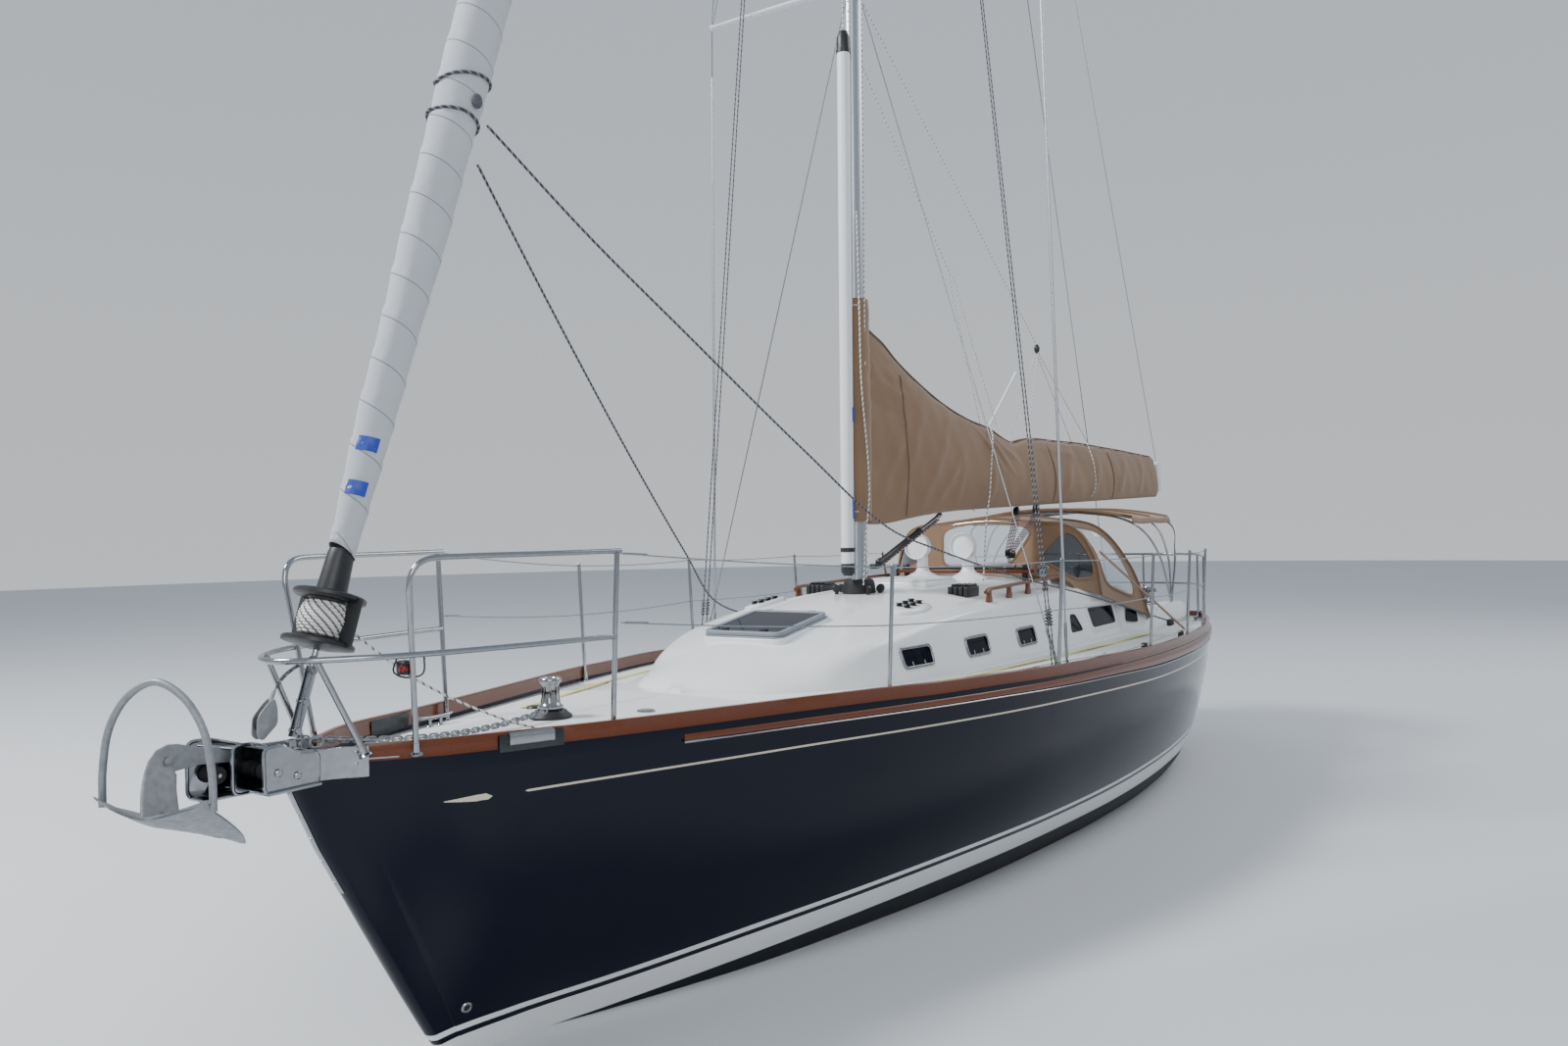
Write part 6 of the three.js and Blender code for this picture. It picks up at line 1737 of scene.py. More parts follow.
class YACHT_OT_rigging(bpy.types.Operator):
    """Makes the shrouds and the backstay with their turnbuckles and chainplates, and the
    spare halyards and the rollers beside the shrouds."""
    bl_idname = "yacht.rigging"
    bl_label = "Standing rigging"
    bl_options = {"REGISTER", "UNDO"}

    def execute(self, context):
        y = deck_half(CHAINPLATE_X) - 0.095
        z = deck_z(CHAINPLATE_X, y) - 0.01
        tips = [np.array([mast_x(h) - sweep, half + 0.006, h + 0.062]) for h, half, sweep in SPREADERS]
        head = np.array([mast_x(MAST_HEAD) - 0.02, 0.03, 16.48])
        runs = [([(0.45, y, z + 0.03), *tips, head], 0.005, 0.33),
                ([(0.61, y, z + 0.03), (mast_x(6.25) + 0.02, 0.06, 6.25)], 0.0045, 0.30),
                ([tips[0], (mast_x(11.1), 0.06, 11.1)], 0.004, 0.0)]
        wires, screws = [], []
        for points, radius, foot in runs:
            points = np.asarray(points, float)
            wires += [rod(a, b, radius, sides=8) for a, b in zip(points[:-1], points[1:])]
            screws += self.turnbuckle(points[0], points[1], foot)
        plates = [block((0.41, y - 0.014, z), (0.65, y + 0.014, z + 0.040), 0.006),
                  block((0.38, y - 0.035, z - 0.004), (0.68, y + 0.035, z + 0.012), 0.004)]
        foot = np.array([0.45, y, z + 0.03])
        way = unit(tips[0] - foot)
        roller = turned([(0.006, 0.0), (0.0095, 0.004), (0.0095, 4.3), (0.006, 4.304)], foot + way * 0.42, way, 16)
        for name, turn in (("port", list), ("starboard", other_side)):
            build(f"shroud_wires_{name}", turn(wires), "steel_wire", node=f"shrouds_{name}")
            build(f"turnbuckles_{name}", turn([*screws, *plates]), "stainless")
            build(f"spare_halyards_{name}", turn(self.spare_halyards(y, z)), "dark_rope")
            build(f"shroud_roller_{name}", turn([roller]), "anodised")
        stern = deck_z(-5.3, 0.0)
        a, b = np.array([-5.29, 0, stern + 0.05]), np.array([mast_x(MAST_HEAD) - 0.145, 0, 16.46])
        stay = [rod(a, b, 0.005, sides=8),
                block((-5.34, -0.012, stern - 0.02), (-5.24, 0.012, stern + 0.06), 0.005)]
        build("backstay_wire", [*stay, *self.turnbuckle(a, b, 0.42)], "stainless", node="backstay")
        return {"FINISHED"}

    def spare_halyards(self, y, z):
        """Two halyards brought to the chainplate to keep them quiet, each with a few turns
        of its tail round itself."""
        made = []
        for x in (0.68, 0.62):
            foot, top = np.array([x, y - 0.02, z + 0.04]), np.array([0.56, 0.05, 16.3])
            way = unit(top - foot)
            made.append(rod(foot, top, 0.0048, sides=8))
            a = np.linspace(0, 10 * np.pi, 90)[:, None]
            side = unit(np.cross(way, [1.0, 0.0, 0.0]))
            ahead = np.cross(way, side)
            coil = foot + way * (0.30 + a * 0.0035) + 0.012 * (side * np.cos(a) + ahead * np.sin(a))
            made.append(tube(coil, 0.0048, 6))
        return made

    def turnbuckle(self, a, b, length):
        """Open-bodied turnbuckle near the foot of a stay: a toggle with its pin, two threaded
        rods and a body that swells in the middle."""
        if not length:
            return []
        a, way = np.asarray(a, float), unit(np.asarray(b, float) - a)
        t = np.array([0.0, 0.02, 0.06, 0.061, 0.5, 0.93, 0.94, 1.0]) * (length - 0.05)
        body = turned(np.column_stack([[0.006, 0.007, 0.008, 0.012, 0.0105, 0.012, 0.008, 0.006], 0.05 + t]), a,
                      way, 16)
        toggle = strip([a - way * 0.01, a + way * 0.055], 0.026, 0.016, 0.005, AHEAD)
        pin = turned([(0.007, -0.018), (0.009, -0.016), (0.009, 0.016), (0.007, 0.018)], a + way * 0.02,
                     unit(np.cross(way, [1, 0.2, 0])), 14)
        return [body, toggle, pin]


class YACHT_OT_boom(bpy.types.Operator):
    """Makes the boom, the vang and the mainsheet with its traveller."""
    bl_idname = "yacht.boom"
    bl_label = "Boom and mainsheet"
    bl_options = {"REGISTER", "UNDO"}

    def execute(self, context):
        r = np.array([0.07, 0.09, 4.68, 4.70])
        ring = rounded(0.090, 0.140, 0.035, 5)
        points = np.stack([np.column_stack([np.full(len(ring), -a), ring[:, 0] * k,
                                            boom_low(a) + 0.07 + ring[:, 1] * k])
                           for a, k in zip(r, (0.9, 1, 1, 0.9))])
        spar = solid(points)
        fittings = [block((-0.09, -0.012, 2.415), (0.0, 0.012, 2.485), 0.006),
                    rod((0, 0, 2.398), (0, 0, 2.505), 0.014, sides=20),
                    block((-1.19, -0.014, 2.405), (-1.13, 0.014, 2.450), 0.006),
                    block((-0.96, -0.014, 2.398), (-0.90, 0.014, 2.440), 0.006)]
        for a in SHEET_POINTS[::-1]:
            fittings.append(block((-a - 0.03, -0.012, boom_low(a) - 0.035), (-a + 0.03, 0.012, boom_low(a) + 0.01),
                                  0.006))
        build("boom_spar", [swung(spar)], "anodised", "boom_body", node="boom")
        build("boom_end", [swung(self.cap(boom_low(4.73)))], "painted_alloy", "boom_body")
        build("boom_fittings", [swung(s) for s in fittings], "stainless", "boom_body")
        self.vang()
        self.mainsheet(context.scene.yacht_sizes.rope)
        return {"FINISHED"}

    def cap(self, low):
        """Casting at the boom's aft end: a plate with a round head and a sheave."""
        outline = rounded_ring(np.array([(-4.690, low + 0.03), (-4.690, low + 0.33), (-4.745, low + 0.345),
                                         (-4.770, low + 0.31), (-4.775, low + 0.05), (-4.76, low + 0.03)]), 0.03, 5)
        return slab(outline, -0.038, 0.038, 0.008, 0.90)

    def vang(self):
        """Rod vang under the boom: an outer tube, a polished inner rod and its ends."""
        foot, head = np.array([-0.075, 0, 1.992]), np.array([-0.93, 0, boom_low(0.93) - 0.046])
        way = unit(head - foot)
        reach = np.linalg.norm(head - foot)
        body = turned([(0.020, 0.03), (0.030, 0.04), (0.030, 0.07), (0.0225, 0.08), (0.0225, reach * 0.62),
                       (0.026, reach * 0.625), (0.026, reach * 0.66), (0.015, reach * 0.665)],
                      foot, way, 24)
        rod_part = turned([(0.014, reach * 0.64), (0.014, reach - 0.06), (0.020, reach - 0.055),
                           (0.020, reach - 0.01), (0.012, reach)], foot, way, 20)
        lug = block((-0.095, -0.030, 1.965), (-0.035, 0.030, 2.005), 0.01)
        lines = [rod(foot + way * 0.06 + [0, y, -0.032], head - way * 0.05 + [0, y, -0.026], 0.005, sides=8)
                 for y in (-0.016, 0.0, 0.016)]
        build("vang_tube", [swung(s) for s in (body, lug)], "black", "boom_body", node="vang")
        build("vang_rod", [swung(rod_part)], "stainless", "boom_body")
        build("vang_lines", [swung(s) for s in lines], "red_rope", "boom_body")

    def mainsheet(self, radius):
        """Mainsheet tackle between two points of the boom and the traveller's car."""
        car = np.array(SHEET_CAR)
        at = swung({"co": np.array([(-a, 0, boom_low(a) - 0.035) for a in SHEET_POINTS])})["co"]
        blocks, lines = [], []
        for place, way in ((at[0], car - at[0]), (at[1], car - at[1]), (car + [0.03, 0, 0.02], at[1] - car),
                           (car + [-0.03, 0, 0.02], at[0] - car)):
            way = unit(way)
            across = unit(np.cross(way, [0, 0, 1]) + 1e-6)
            for shift in (-0.013, 0.013):
                blocks.append(turned([(0.004, -0.009), (0.028, -0.009), (0.033, -0.005), (0.024, 0.0),
                                      (0.033, 0.005), (0.028, 0.009), (0.004, 0.009)],
                                     place + way * 0.04 + across * shift, across, 22))
            blocks.append(carry([place - way * 0.005, place + way * 0.075], rounded(0.036, 0.042, 0.01), up=across,
                                scale=[0.5, 1.0]))
        for top, base in ((at[0] + [0, 0, -0.07], car + [-0.03, 0, 0.06]),
                          (at[1] + [0, 0, -0.07], car + [0.03, 0, 0.06])):
            side = unit(np.cross(top - base, [1, 0, 0]))
            for shift in (-0.030, -0.010, 0.010, 0.030):
                lines.append(tube(np.linspace(base + side * shift * 0.8, top + side * shift, 8), radius * 0.85, 8))
        for name, skins, look in (("mainsheet_blocks", blocks, "black"), ("mainsheet_lines", lines, "red_rope")):
            made = build(name, skins, look, None)
            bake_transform(made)
        rail = [block((-1.235, -0.60, 1.890), (-1.195, 0.60, 1.913), 0.004),
                *[block((-1.24, y - 0.02, 1.78), (-1.19, y + 0.02, 1.892), 0.008) for y in (-0.56, 0, 0.56)]]
        stops = [block((-1.242, y - 0.025, 1.888), (-1.188, y + 0.025, 1.935), 0.008) for y in (-0.57, 0.57)]
        car_skin = [block((-1.245, 0.365, 1.905), (-1.185, 0.475, 1.940), 0.010),
                    block((-1.232, 0.408, 1.935), (-1.198, 0.432, 1.985), 0.008)]
        beam = [block((-1.285, -0.62, 1.862), (-1.150, 0.62, 1.892), 0.010)]
        build("traveller_track", [*rail, *stops, *numbered(beam, 1)], "black teak", node="traveller")
        build("traveller_car", car_skin, "stainless")


class YACHT_OT_cover(bpy.types.Operator):
    """Makes the sail cover on the boom and its collar round the mast."""
    bl_idname = "yacht.cover"
    bl_label = "Sail cover"
    bl_options = {"REGISTER", "UNDO"}
    # Distance aft of the gooseneck, half breadth, height of the ridge and drop below the boom.
    rows = (
        (-0.10, 0.083, 3.860, 0.075), (-0.03, 0.086, 3.815, 0.078), (0.06, 0.090, 3.760, 0.082),
        (0.20, 0.104, 3.690, 0.078), (0.36, 0.122, 3.575, 0.062), (0.64, 0.146, 3.420, 0.038),
        (0.98, 0.158, 3.268, 0.024), (1.31, 0.164, 3.165, 0.022), (1.64, 0.163, 3.098, 0.022),
        (1.86, 0.160, 3.020, 0.022), (1.96, 0.158, 2.998, 0.022), (2.08, 0.158, 3.018, 0.022),
        (2.25, 0.156, 3.040, 0.022), (2.70, 0.150, 3.036, 0.022), (3.12, 0.140, 3.030, 0.022),
        (3.54, 0.128, 3.008, 0.022), (3.85, 0.117, 2.992, 0.022), (4.25, 0.098, 2.965, 0.022),
        (4.62, 0.078, 2.940, 0.022))
    # Folds as lines of distance aft and height, their depth and half breadth in metres.
    folds = (
        (0.50, 2.42, 0.98, 3.22, 0.013, 0.040), (0.66, 2.42, 1.12, 2.95, 0.014, 0.036),
        (0.95, 2.44, 1.06, 2.80, 0.010, 0.034), (0.22, 2.44, 0.62, 3.30, 0.014, 0.050),
        (0.02, 2.46, 0.34, 3.05, 0.012, 0.045), (-0.05, 3.52, 0.44, 3.40, 0.016, 0.028),
        (-0.05, 3.42, 0.40, 3.26, 0.015, 0.026), (-0.05, 3.31, 0.30, 3.22, 0.013, 0.024),
        (-0.05, 3.62, 0.26, 3.60, 0.010, 0.022), (-0.05, 3.02, 0.46, 3.12, 0.010, 0.032),
        (-0.05, 2.75, 0.30, 2.90, 0.009, 0.035), (1.36, 3.10, 1.62, 2.74, 0.020, 0.026),
        (1.46, 3.08, 1.80, 2.70, 0.017, 0.024), (1.56, 3.05, 1.95, 2.80, 0.014, 0.022),
        (2.00, 2.50, 2.20, 2.98, 0.012, 0.050), (1.42, 2.45, 1.50, 2.80, 0.014, 0.036),
        (2.62, 2.50, 2.86, 2.98, 0.012, 0.055), (3.20, 2.52, 3.36, 2.96, 0.011, 0.050),
        (3.70, 2.54, 3.92, 2.93, 0.010, 0.045), (4.18, 2.56, 4.28, 2.91, 0.009, 0.040),
        (2.30, 2.96, 3.00, 2.90, 0.010, 0.030))

    def execute(self, context):
        thick = context.scene.yacht_sizes.canvas
        r = np.linspace(-0.10, 4.62, 210)
        half, high, drop = curve_through(self.rows, False)(r).T
        low = boom_low(r) - drop
        shape = curve_through(((0.0, 0.16, 0.0), (0.10, 0.66, 0.0), (0.24, 0.90, 0.12), (0.42, 1.0, 0.30),
                               (0.60, 0.93, 0.50), (0.76, 0.68, 0.74), (0.90, 0.30, 0.94), (1.0, 0.0, 1.0)),
                               False)(np.linspace(0, 1, 46))
        out, up = half[:, None] * shape[:, 0], low[:, None] + (high - low)[:, None] * shape[:, 1]
        sides = []
        for sign, seed in ((1, 0.0), (-1, 1.7)):
            press = self.pressed(r[:, None], up, seed)
            fade = (np.clip(shape[:, 1] * 6, 0, 1) * np.clip((1 - shape[:, 1]) * 5, 0.25, 1)
                    * np.clip((r[:, None] + 0.10) / 0.12, 0.3, 1))
            sides.append(np.stack([np.broadcast_to(-r[:, None], out.shape), sign * (out + press * fade),
                                   up + 0.004 * np.sin(r[:, None] * 21 + seed) * shape[:, 1]], -1))
        points = np.concatenate([sides[0], sides[1][:, -2::-1]], 1)
        cover = cloth("mainsail_cover", closed_sheet(swung(grid(points))), "canvas", "sail_cover", thick, 70)
        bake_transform(cover)
        self.trims(r, half, high, low, shape)
        self.collar(thick)
        return {"FINISHED"}

    def pressed(self, r, z, seed):
        """How far the cloth stands proud: a soft ridge along each fold, and a fine ripple."""
        total = 0.003 * np.sin(13 * z + 3.0 * np.sin(2.1 * r + seed)) + 0.0015 * np.sin(31 * r + 9 * z + seed)
        gathers = np.exp(-(r / 0.26)**2) * np.exp(-((z - 3.28) / 0.30)**2)
        total = total + 0.0055 * gathers * np.sin(74 * z + 14 * r + 2 * np.sin(9 * z + seed) + seed)
        for a, low, b, high, depth, reach in self.folds:
            run, rise = b - a, high - low
            t = np.clip(((r - a) * run + (z - low) * rise) / (run**2 + rise**2), 0, 1)
            away = np.hypot(r - a - t * run, z - low - t * rise)
            total = total + depth * np.exp(-(away / reach)**2) * np.sin(np.pi * np.clip(t, 0.05, 0.95))**0.5
        return total

    def trims(self, r, half, high, low, shape):
        """Seams up the cover's sides and a binding along its ridge."""
        seams = []
        for at in (0.36, 2.47, 3.60):
            i = int(np.abs(r - at).argmin())
            keep = slice(6, 40)
            for sign in (1, -1):
                z = low[i] + (high[i] - low[i]) * shape[keep, 1]
                press = self.pressed(r[i], z, 0.0 if sign > 0 else 1.7)
                path = np.column_stack([
                    np.full(34, -r[i]), sign * (half[i] * shape[keep, 0] + 0.006 + press), z])
                seams.append(swung(strip(path, 0.022, 0.003, 0.001, PORT)))
        ridge = np.column_stack([-r[6:-2], 0 * r[6:-2], high[6:-2] + 0.004])
        seams.append(swung(strip(ridge, 0.030, 0.006, 0.002, UP)))
        build("cover_seams", seams, "binding", "boom_body")

    def collar(self, thick):
        """Collar round the mast: rings a little wider than the spar, wrinkled where it is
        drawn together, and longer ahead than aft."""
        z = np.linspace(2.33, 3.985, 110)
        chord = np.interp(z, [2.33, 3.0, 3.9, 3.985], [0.112, 0.116, 0.104, 0.098])
        width = np.interp(z, [2.33, 3.0, 3.9, 3.985], [0.088, 0.092, 0.080, 0.074])
        a = around(56)
        wave = 0.0035 * np.sin(z[:, None] * 46 + 1.5 * np.sin(2 * a)) * np.exp(-((z[:, None] - 3.45) / 0.28)**2) \
            + 0.002 * np.sin(z[:, None] * 17 + 2 * a)
        x = mast_x(z)[:, None] - 0.006 + (chord[:, None] + wave) * np.cos(a)
        y = (width[:, None] + wave) * np.sin(a)
        points = levels(x, y, z)
        collar = cloth("mast_collar_cover", closed(grid(points, ring=True)), "canvas", "cover_collar", thick * 0.8,
                       70)
        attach(collar, "boat")
        zip_x = mast_x(z) + 0.008 + chord
        tape = strip(np.column_stack([zip_x + 0.003, np.full(len(z), 0.012), z])[4:-4:4], 0.022, 0.004, 0.001,
                     AHEAD)
        lashing = []
        for h in (2.40, 3.93):
            ring = mast_ring(np.array([h]), 1.0, 40, 0.018 if h < 3 else 0.010)[0] + [0.008, 0, 0]
            lashing.append(hoop(ring, 0.004, 6, UP))
        build("collar_trims", [tape, *numbered(lashing, 1)], "binding white_rope")


class YACHT_OT_deck_fittings(bpy.types.Operator):
    """Makes the handrails, the cowl vents, the winches and the roof's small fittings."""
    bl_idname = "yacht.deck_fittings"
    bl_label = "Deck fittings"
    bl_options = {"REGISTER", "UNDO"}

    def execute(self, context):
        rails = []
        x = np.linspace(0.20, -1.36, 5)
        z = roof_top(x, HANDRAIL_Y)
        for a, h in zip(x, z):
            base = roof_top(a, HANDRAIL_Y) - 0.012
            foot = np.array([(0.048, 0.0), (0.044, 0.25), (0.030, 0.6), (0.028, 0.85), (0.036, 1.0)])
            top = h + 0.085
            rows = []
            for k, s in foot:
                ring = rounded(2 * k, 0.026, 0.008, 3)
                rows.append(np.column_stack([a + ring[:, 0], HANDRAIL_Y + ring[:, 1],
                                             np.full(len(ring), base + (top - base) * s)]))
            rails.append(solid(np.stack(rows)))
        run = np.linspace(0.26, -1.42, 60)
        level = np.interp(run, x[::-1], z[::-1]) + 0.093
        level = level - 0.022 * np.clip((np.abs(run + 0.58) - 0.76) / 0.08, 0, 1)**2
        rails.append(strip(np.column_stack([run, np.full(60, HANDRAIL_Y), level]), 0.032, 0.027, 0.012, UP, 4))
        build("handrail_wood_port", rails, "teak", node="handrail_port")
        build("handrail_wood_starboard", other_side(rails), "teak", node="handrail_starboard")
        for name, y in (("port", 0.21), ("starboard", -0.21)):
            base = turned([(0.165, -0.01), (0.165, 0.028), (0.158, 0.040), (0.128, 0.056), (0.090, 0.074),
                           (0.064, 0.090), (0.052, 0.110), (0.047, 0.14), (0.045, 0.25), (0.02, 0.25)],
                          (-0.82, y, 1.80), sides=44)
            back = np.array([(0.004, -0.060), (0.030, -0.056), (0.056, -0.044), (0.076, -0.022), (0.088, 0.008),
                             (0.092, 0.045), (0.094, 0.080), (0.096, 0.096), (0.092, 0.100), (0.086, 0.094),
                             (0.082, 0.050), (0.070, 0.012), (0.045, -0.020), (0.004, -0.034)])
            cowl = turned(back * [1.16, 1.0], (-0.79, y, 2.105), (1, 0, 0.02), 44)
            neck = tube(smooth_path([(-0.82, y, 1.98), (-0.82, y, 2.05), (-0.812, y, 2.09)], 8), 0.045, 28)
            face = turned([(0.002, 0.083), (0.060, 0.080), (0.100, 0.074), (0.102, 0.070), (0.002, 0.070)],
                          (-0.79, y, 2.105), (1, 0, 0.02), 40)
            build(f"cowl_{name}", [base, cowl, neck, face], "gelcoat", node=f"cowl_vent_{name}")
        self.roof_fittings()
        for name, body, x, y, z, r, h in (
                ("primary_winch_port", "winch_a", -3.10, 1.065, 1.481, 0.085, 0.170),
                ("primary_winch_starboard", "winch_b", -3.10, -1.065, 1.481, 0.085, 0.170),
                ("halyard_winch_port", "winch_c", -1.25, 0.70, 1.800, 0.062, 0.135),
                ("halyard_winch_starboard", "winch_d", -1.25, -0.70, 1.800, 0.062, 0.135)):
            profile = np.array([(0.97, 0.0), (1.0, 0.02), (1.0, 0.09), (0.96, 0.12), (0.74, 0.17), (0.66, 0.26),
                                (0.62, 0.42), (0.62, 0.62), (0.66, 0.72), (0.80, 0.78), (0.86, 0.80), (0.86, 0.83),
                                (0.66, 0.845), (0.66, 0.865), (0.86, 0.88), (0.86, 0.91), (0.80, 0.935),
                                (0.50, 0.95), (0.46, 1.0), (0.20, 1.0), (0.18, 0.94), (0.10, 0.94)])
            drum = turned(profile * [r, h], (x, y, z), sides=44)
            knurl = []
            for t in around(14):
                path = [(x + r * k * np.cos(t), y + r * k * np.sin(t), z + h * up)
                        for k, up in ((0.655, 0.24), (0.628, 0.45), (0.640, 0.68))]
                knurl.append(carry(path, circle(5), scale=r * 0.035))
            feeder = block((x - r * 0.12, y + r * 0.62, z + h * 0.70), (x + r * 0.12, y + r * 0.95, z + h * 0.90),
                           0.004)
            build(name + "_drum", [drum, *knurl, feeder], "stainless", body, node=name)
        return {"FINISHED"}

    def roof_fittings(self):
        """Low hatch with a pale lid aft of the mast, an oval line guide, a bank of rope
        clutches and the small vents."""
        z = roof_top(-0.15, 0.0)
        frame_low = block((-0.44, -0.285, z - 0.02), (0.14, 0.285, z + 0.020), 0.012, 4)
        lid = block((-0.42, -0.265, z + 0.018), (0.12, 0.265, z + 0.038), 0.010, 4)
        plates = []
        for side in (1, -1):
            a = around(48)
            rows = []
            for k, h in ((1.0, -0.02), (1.0, 0.016), (0.95, 0.026), (0.86, 0.030), (0.4, 0.031)):
                x, y = 1.05 + 0.23 * k * np.cos(a), side * 0.60 + 0.105 * k * np.sin(a)
                rows.append(np.column_stack([x, y, roof_top(x, np.abs(y)) + h]))
            plates.append(solid(np.stack(rows)))
        build("roof_hatch", [frame_low, *plates, (lid, 1)], "gelcoat nonskid")
        guides = []
        for x in (0.96, 1.05, 1.14):
            for dy in (-0.03, 0.03):
                foot = roof_top(x, 0.60 + dy) + 0.028
                guides.append(turned([(0.004, 0.0), (0.024, 0.0), (0.026, 0.004), (0.017, 0.012), (0.026, 0.020),
                                      (0.024, 0.024), (0.004, 0.024)], (x, 0.60 + dy, foot), sides=18))
        foot = roof_top(0.20, 0.62) - 0.012
        for i in range(4):
            y = 0.54 + 0.042 * i
            guides.append(block((0.08, y, foot), (0.30, y + 0.036, foot + 0.078), 0.008, 3))
            guides.append(block((0.10, y + 0.008, foot + 0.074), (0.25, y + 0.028, foot + 0.096), 0.006, 2))
        build("rope_clutches", both(guides), "black")
        vents = []
        for x, y in ((1.62, 0.22), (1.62, -0.22), (-1.20, 0.0)):
            vents.append(turned([(0.055, -0.01), (0.055, 0.008), (0.050, 0.016), (0.020, 0.020), (0.002, 0.020)],
                                (x, y, roof_top(x, abs(y))), sides=28))
        build("roof_vents", vents, "stainless")


class YACHT_OT_shelter(bpy.types.Operator):
    """Makes the dodger with its windows and bows, and the bimini with its frame."""
    bl_idname = "yacht.shelter"
    bl_label = "Dodger and bimini"
    bl_options = {"REGISTER", "UNDO"}

    def execute(self, context):
        thick = context.scene.yacht_sizes.canvas
        self.dodger(thick)
        self.bimini(thick)
        return {"FINISHED"}

    def hood_ring(self, x, foot_x, foot_y, low, shoulder, shoulder_z, crown):
        """Ring of the dodger from the port foot over the crown to the starboard foot."""
        half = [(foot_x, foot_y, low),
                ((foot_x + x) / 2, (foot_y + shoulder) / 2 + 0.05, low + (shoulder_z - low) * 0.6),
                (x, shoulder, shoulder_z), (x, shoulder * 0.5, crown - 0.032), (x, 0, crown)]
        return smooth_path(half + [(a, -b, c) for a, b, c in half[-2::-1]], HOOD_COLS + 1)

    def dodger(self, thick):
        """Hood over the companionway: rings drawn between three bows, the cloth a little
        hollow between them, with clear windows ahead and at the sides."""
        rings = [self.hood_ring(*row) for row in (
            (-1.40, -1.50, 0.88, 1.725, 0.700, 1.805, 1.868), (-1.78, -1.90, 0.99, 1.640, 0.790, 2.225, 2.325),
            (-2.26, -2.85, 1.145, 1.375, 0.840, 2.235, 2.350))]
        t = np.linspace(0, 2, HOOD_ROWS + 1)
        i = np.minimum(t.astype(int), 1)
        k = (t - i)[:, None, None]
        rings = np.stack(rings)
        points = rings[i] * (1 - k) + rings[i + 1] * k
        hollow = 0.012 * np.sin(np.pi * k[..., 0])
        middle = points.mean(1, keepdims=True)
        points = points - unit(points - middle) * hollow[..., None]
        skin = closed_sheet(grid(points))
        row, col = np.meshgrid((np.arange(HOOD_ROWS) + 0.5) / HOOD_ROWS * 2,
                               (np.arange(HOOD_COLS) + 0.5) / HOOD_COLS, indexing="ij")
        number = np.zeros(row.shape, int)
        tapes = []
        # Middle and half size of each window along the hood and up from its foot.
        # Windows numbered 2, at the sides, take the darker vinyl: painted shade of the space behind them.
        for centre, reach, pane_number in (((0.52, 0.500), (0.41, 0.165), 1), ((0.63, 0.150), (0.31, 0.095), 2),
                                          ((1.50, 0.155), (0.36, 0.110), 1)):
            inside = (np.abs((row - centre[0]) / reach[0])**5
                      + np.abs((np.minimum(col, 1 - col) - centre[1]) / reach[1])**5) < 1
            number[inside] = pane_number
            a = around(72)
            edge = [m + h * np.sign(f) * np.abs(f)**0.4 for m, h, f in zip(centre, reach, (np.cos(a), np.sin(a)))]
            i, j = (np.clip(e * n, 0, m - 0.01) for e, n, m in (
                (edge[0], HOOD_ROWS / 2, HOOD_ROWS), (edge[1], HOOD_COLS, HOOD_COLS)))
            k, m = (i % 1)[:, None], (j % 1)[:, None]
            i, j = i.astype(int), j.astype(int)
            line = ((points[i, j] * (1 - m) + points[i, j + 1] * m) * (1 - k)
                    + (points[i + 1, j] * (1 - m) + points[i + 1, j + 1] * m) * k)
            face = unit(line.mean(0) - [line[:, 0].mean() - 0.3, 0, 1.4])
            tape = strip(line + face * 0.003, 0.024, 0.004, 0.0015, face, loop=True)
            tapes += [tape] if centre[1] == 0.5 else both([tape])
        skin["numbers"] = [number.ravel()]
        hood = cloth("dodger_hood", skin, "canvas vinyl dark_vinyl", "dodger", thick)
        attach(hood, "boat")
        reach = np.linalg.norm(np.diff(points, axis=0), axis=2).sum(0)
        bows = [tube(ring * [1, 0.985, 1] - [0.0, 0, 0.017], 0.0115, 10) for ring in rings[1:]]
        build("dodger_bows", bows, "stainless")
        edges = []
        for index in (0, HOOD_ROWS // 2, HOOD_ROWS):
            edges.append(strip(points[index] + unit(points[index] - middle[index]) * 0.002, 0.034, 0.006, 0.002,
                               AHEAD))
        strap = strip([(-1.68, 1.06, 2.03), (-2.10, 1.235, 1.735), (-2.76, 1.49, 1.285)], 0.034, 0.004, 0.0015,
                      (0, 1, 0.3))
        build("dodger_bindings", [*edges, *tapes, *both([strap])], "binding")

    def bimini(self, thick):
        """Canopy over the helm: a crowned sheet, slack between its hoops, with a hemmed drop
        at both sides."""
        x = np.linspace(-3.35, -4.74, 60)[:, None]
        k = np.linspace(-1, 1, 61)[None]

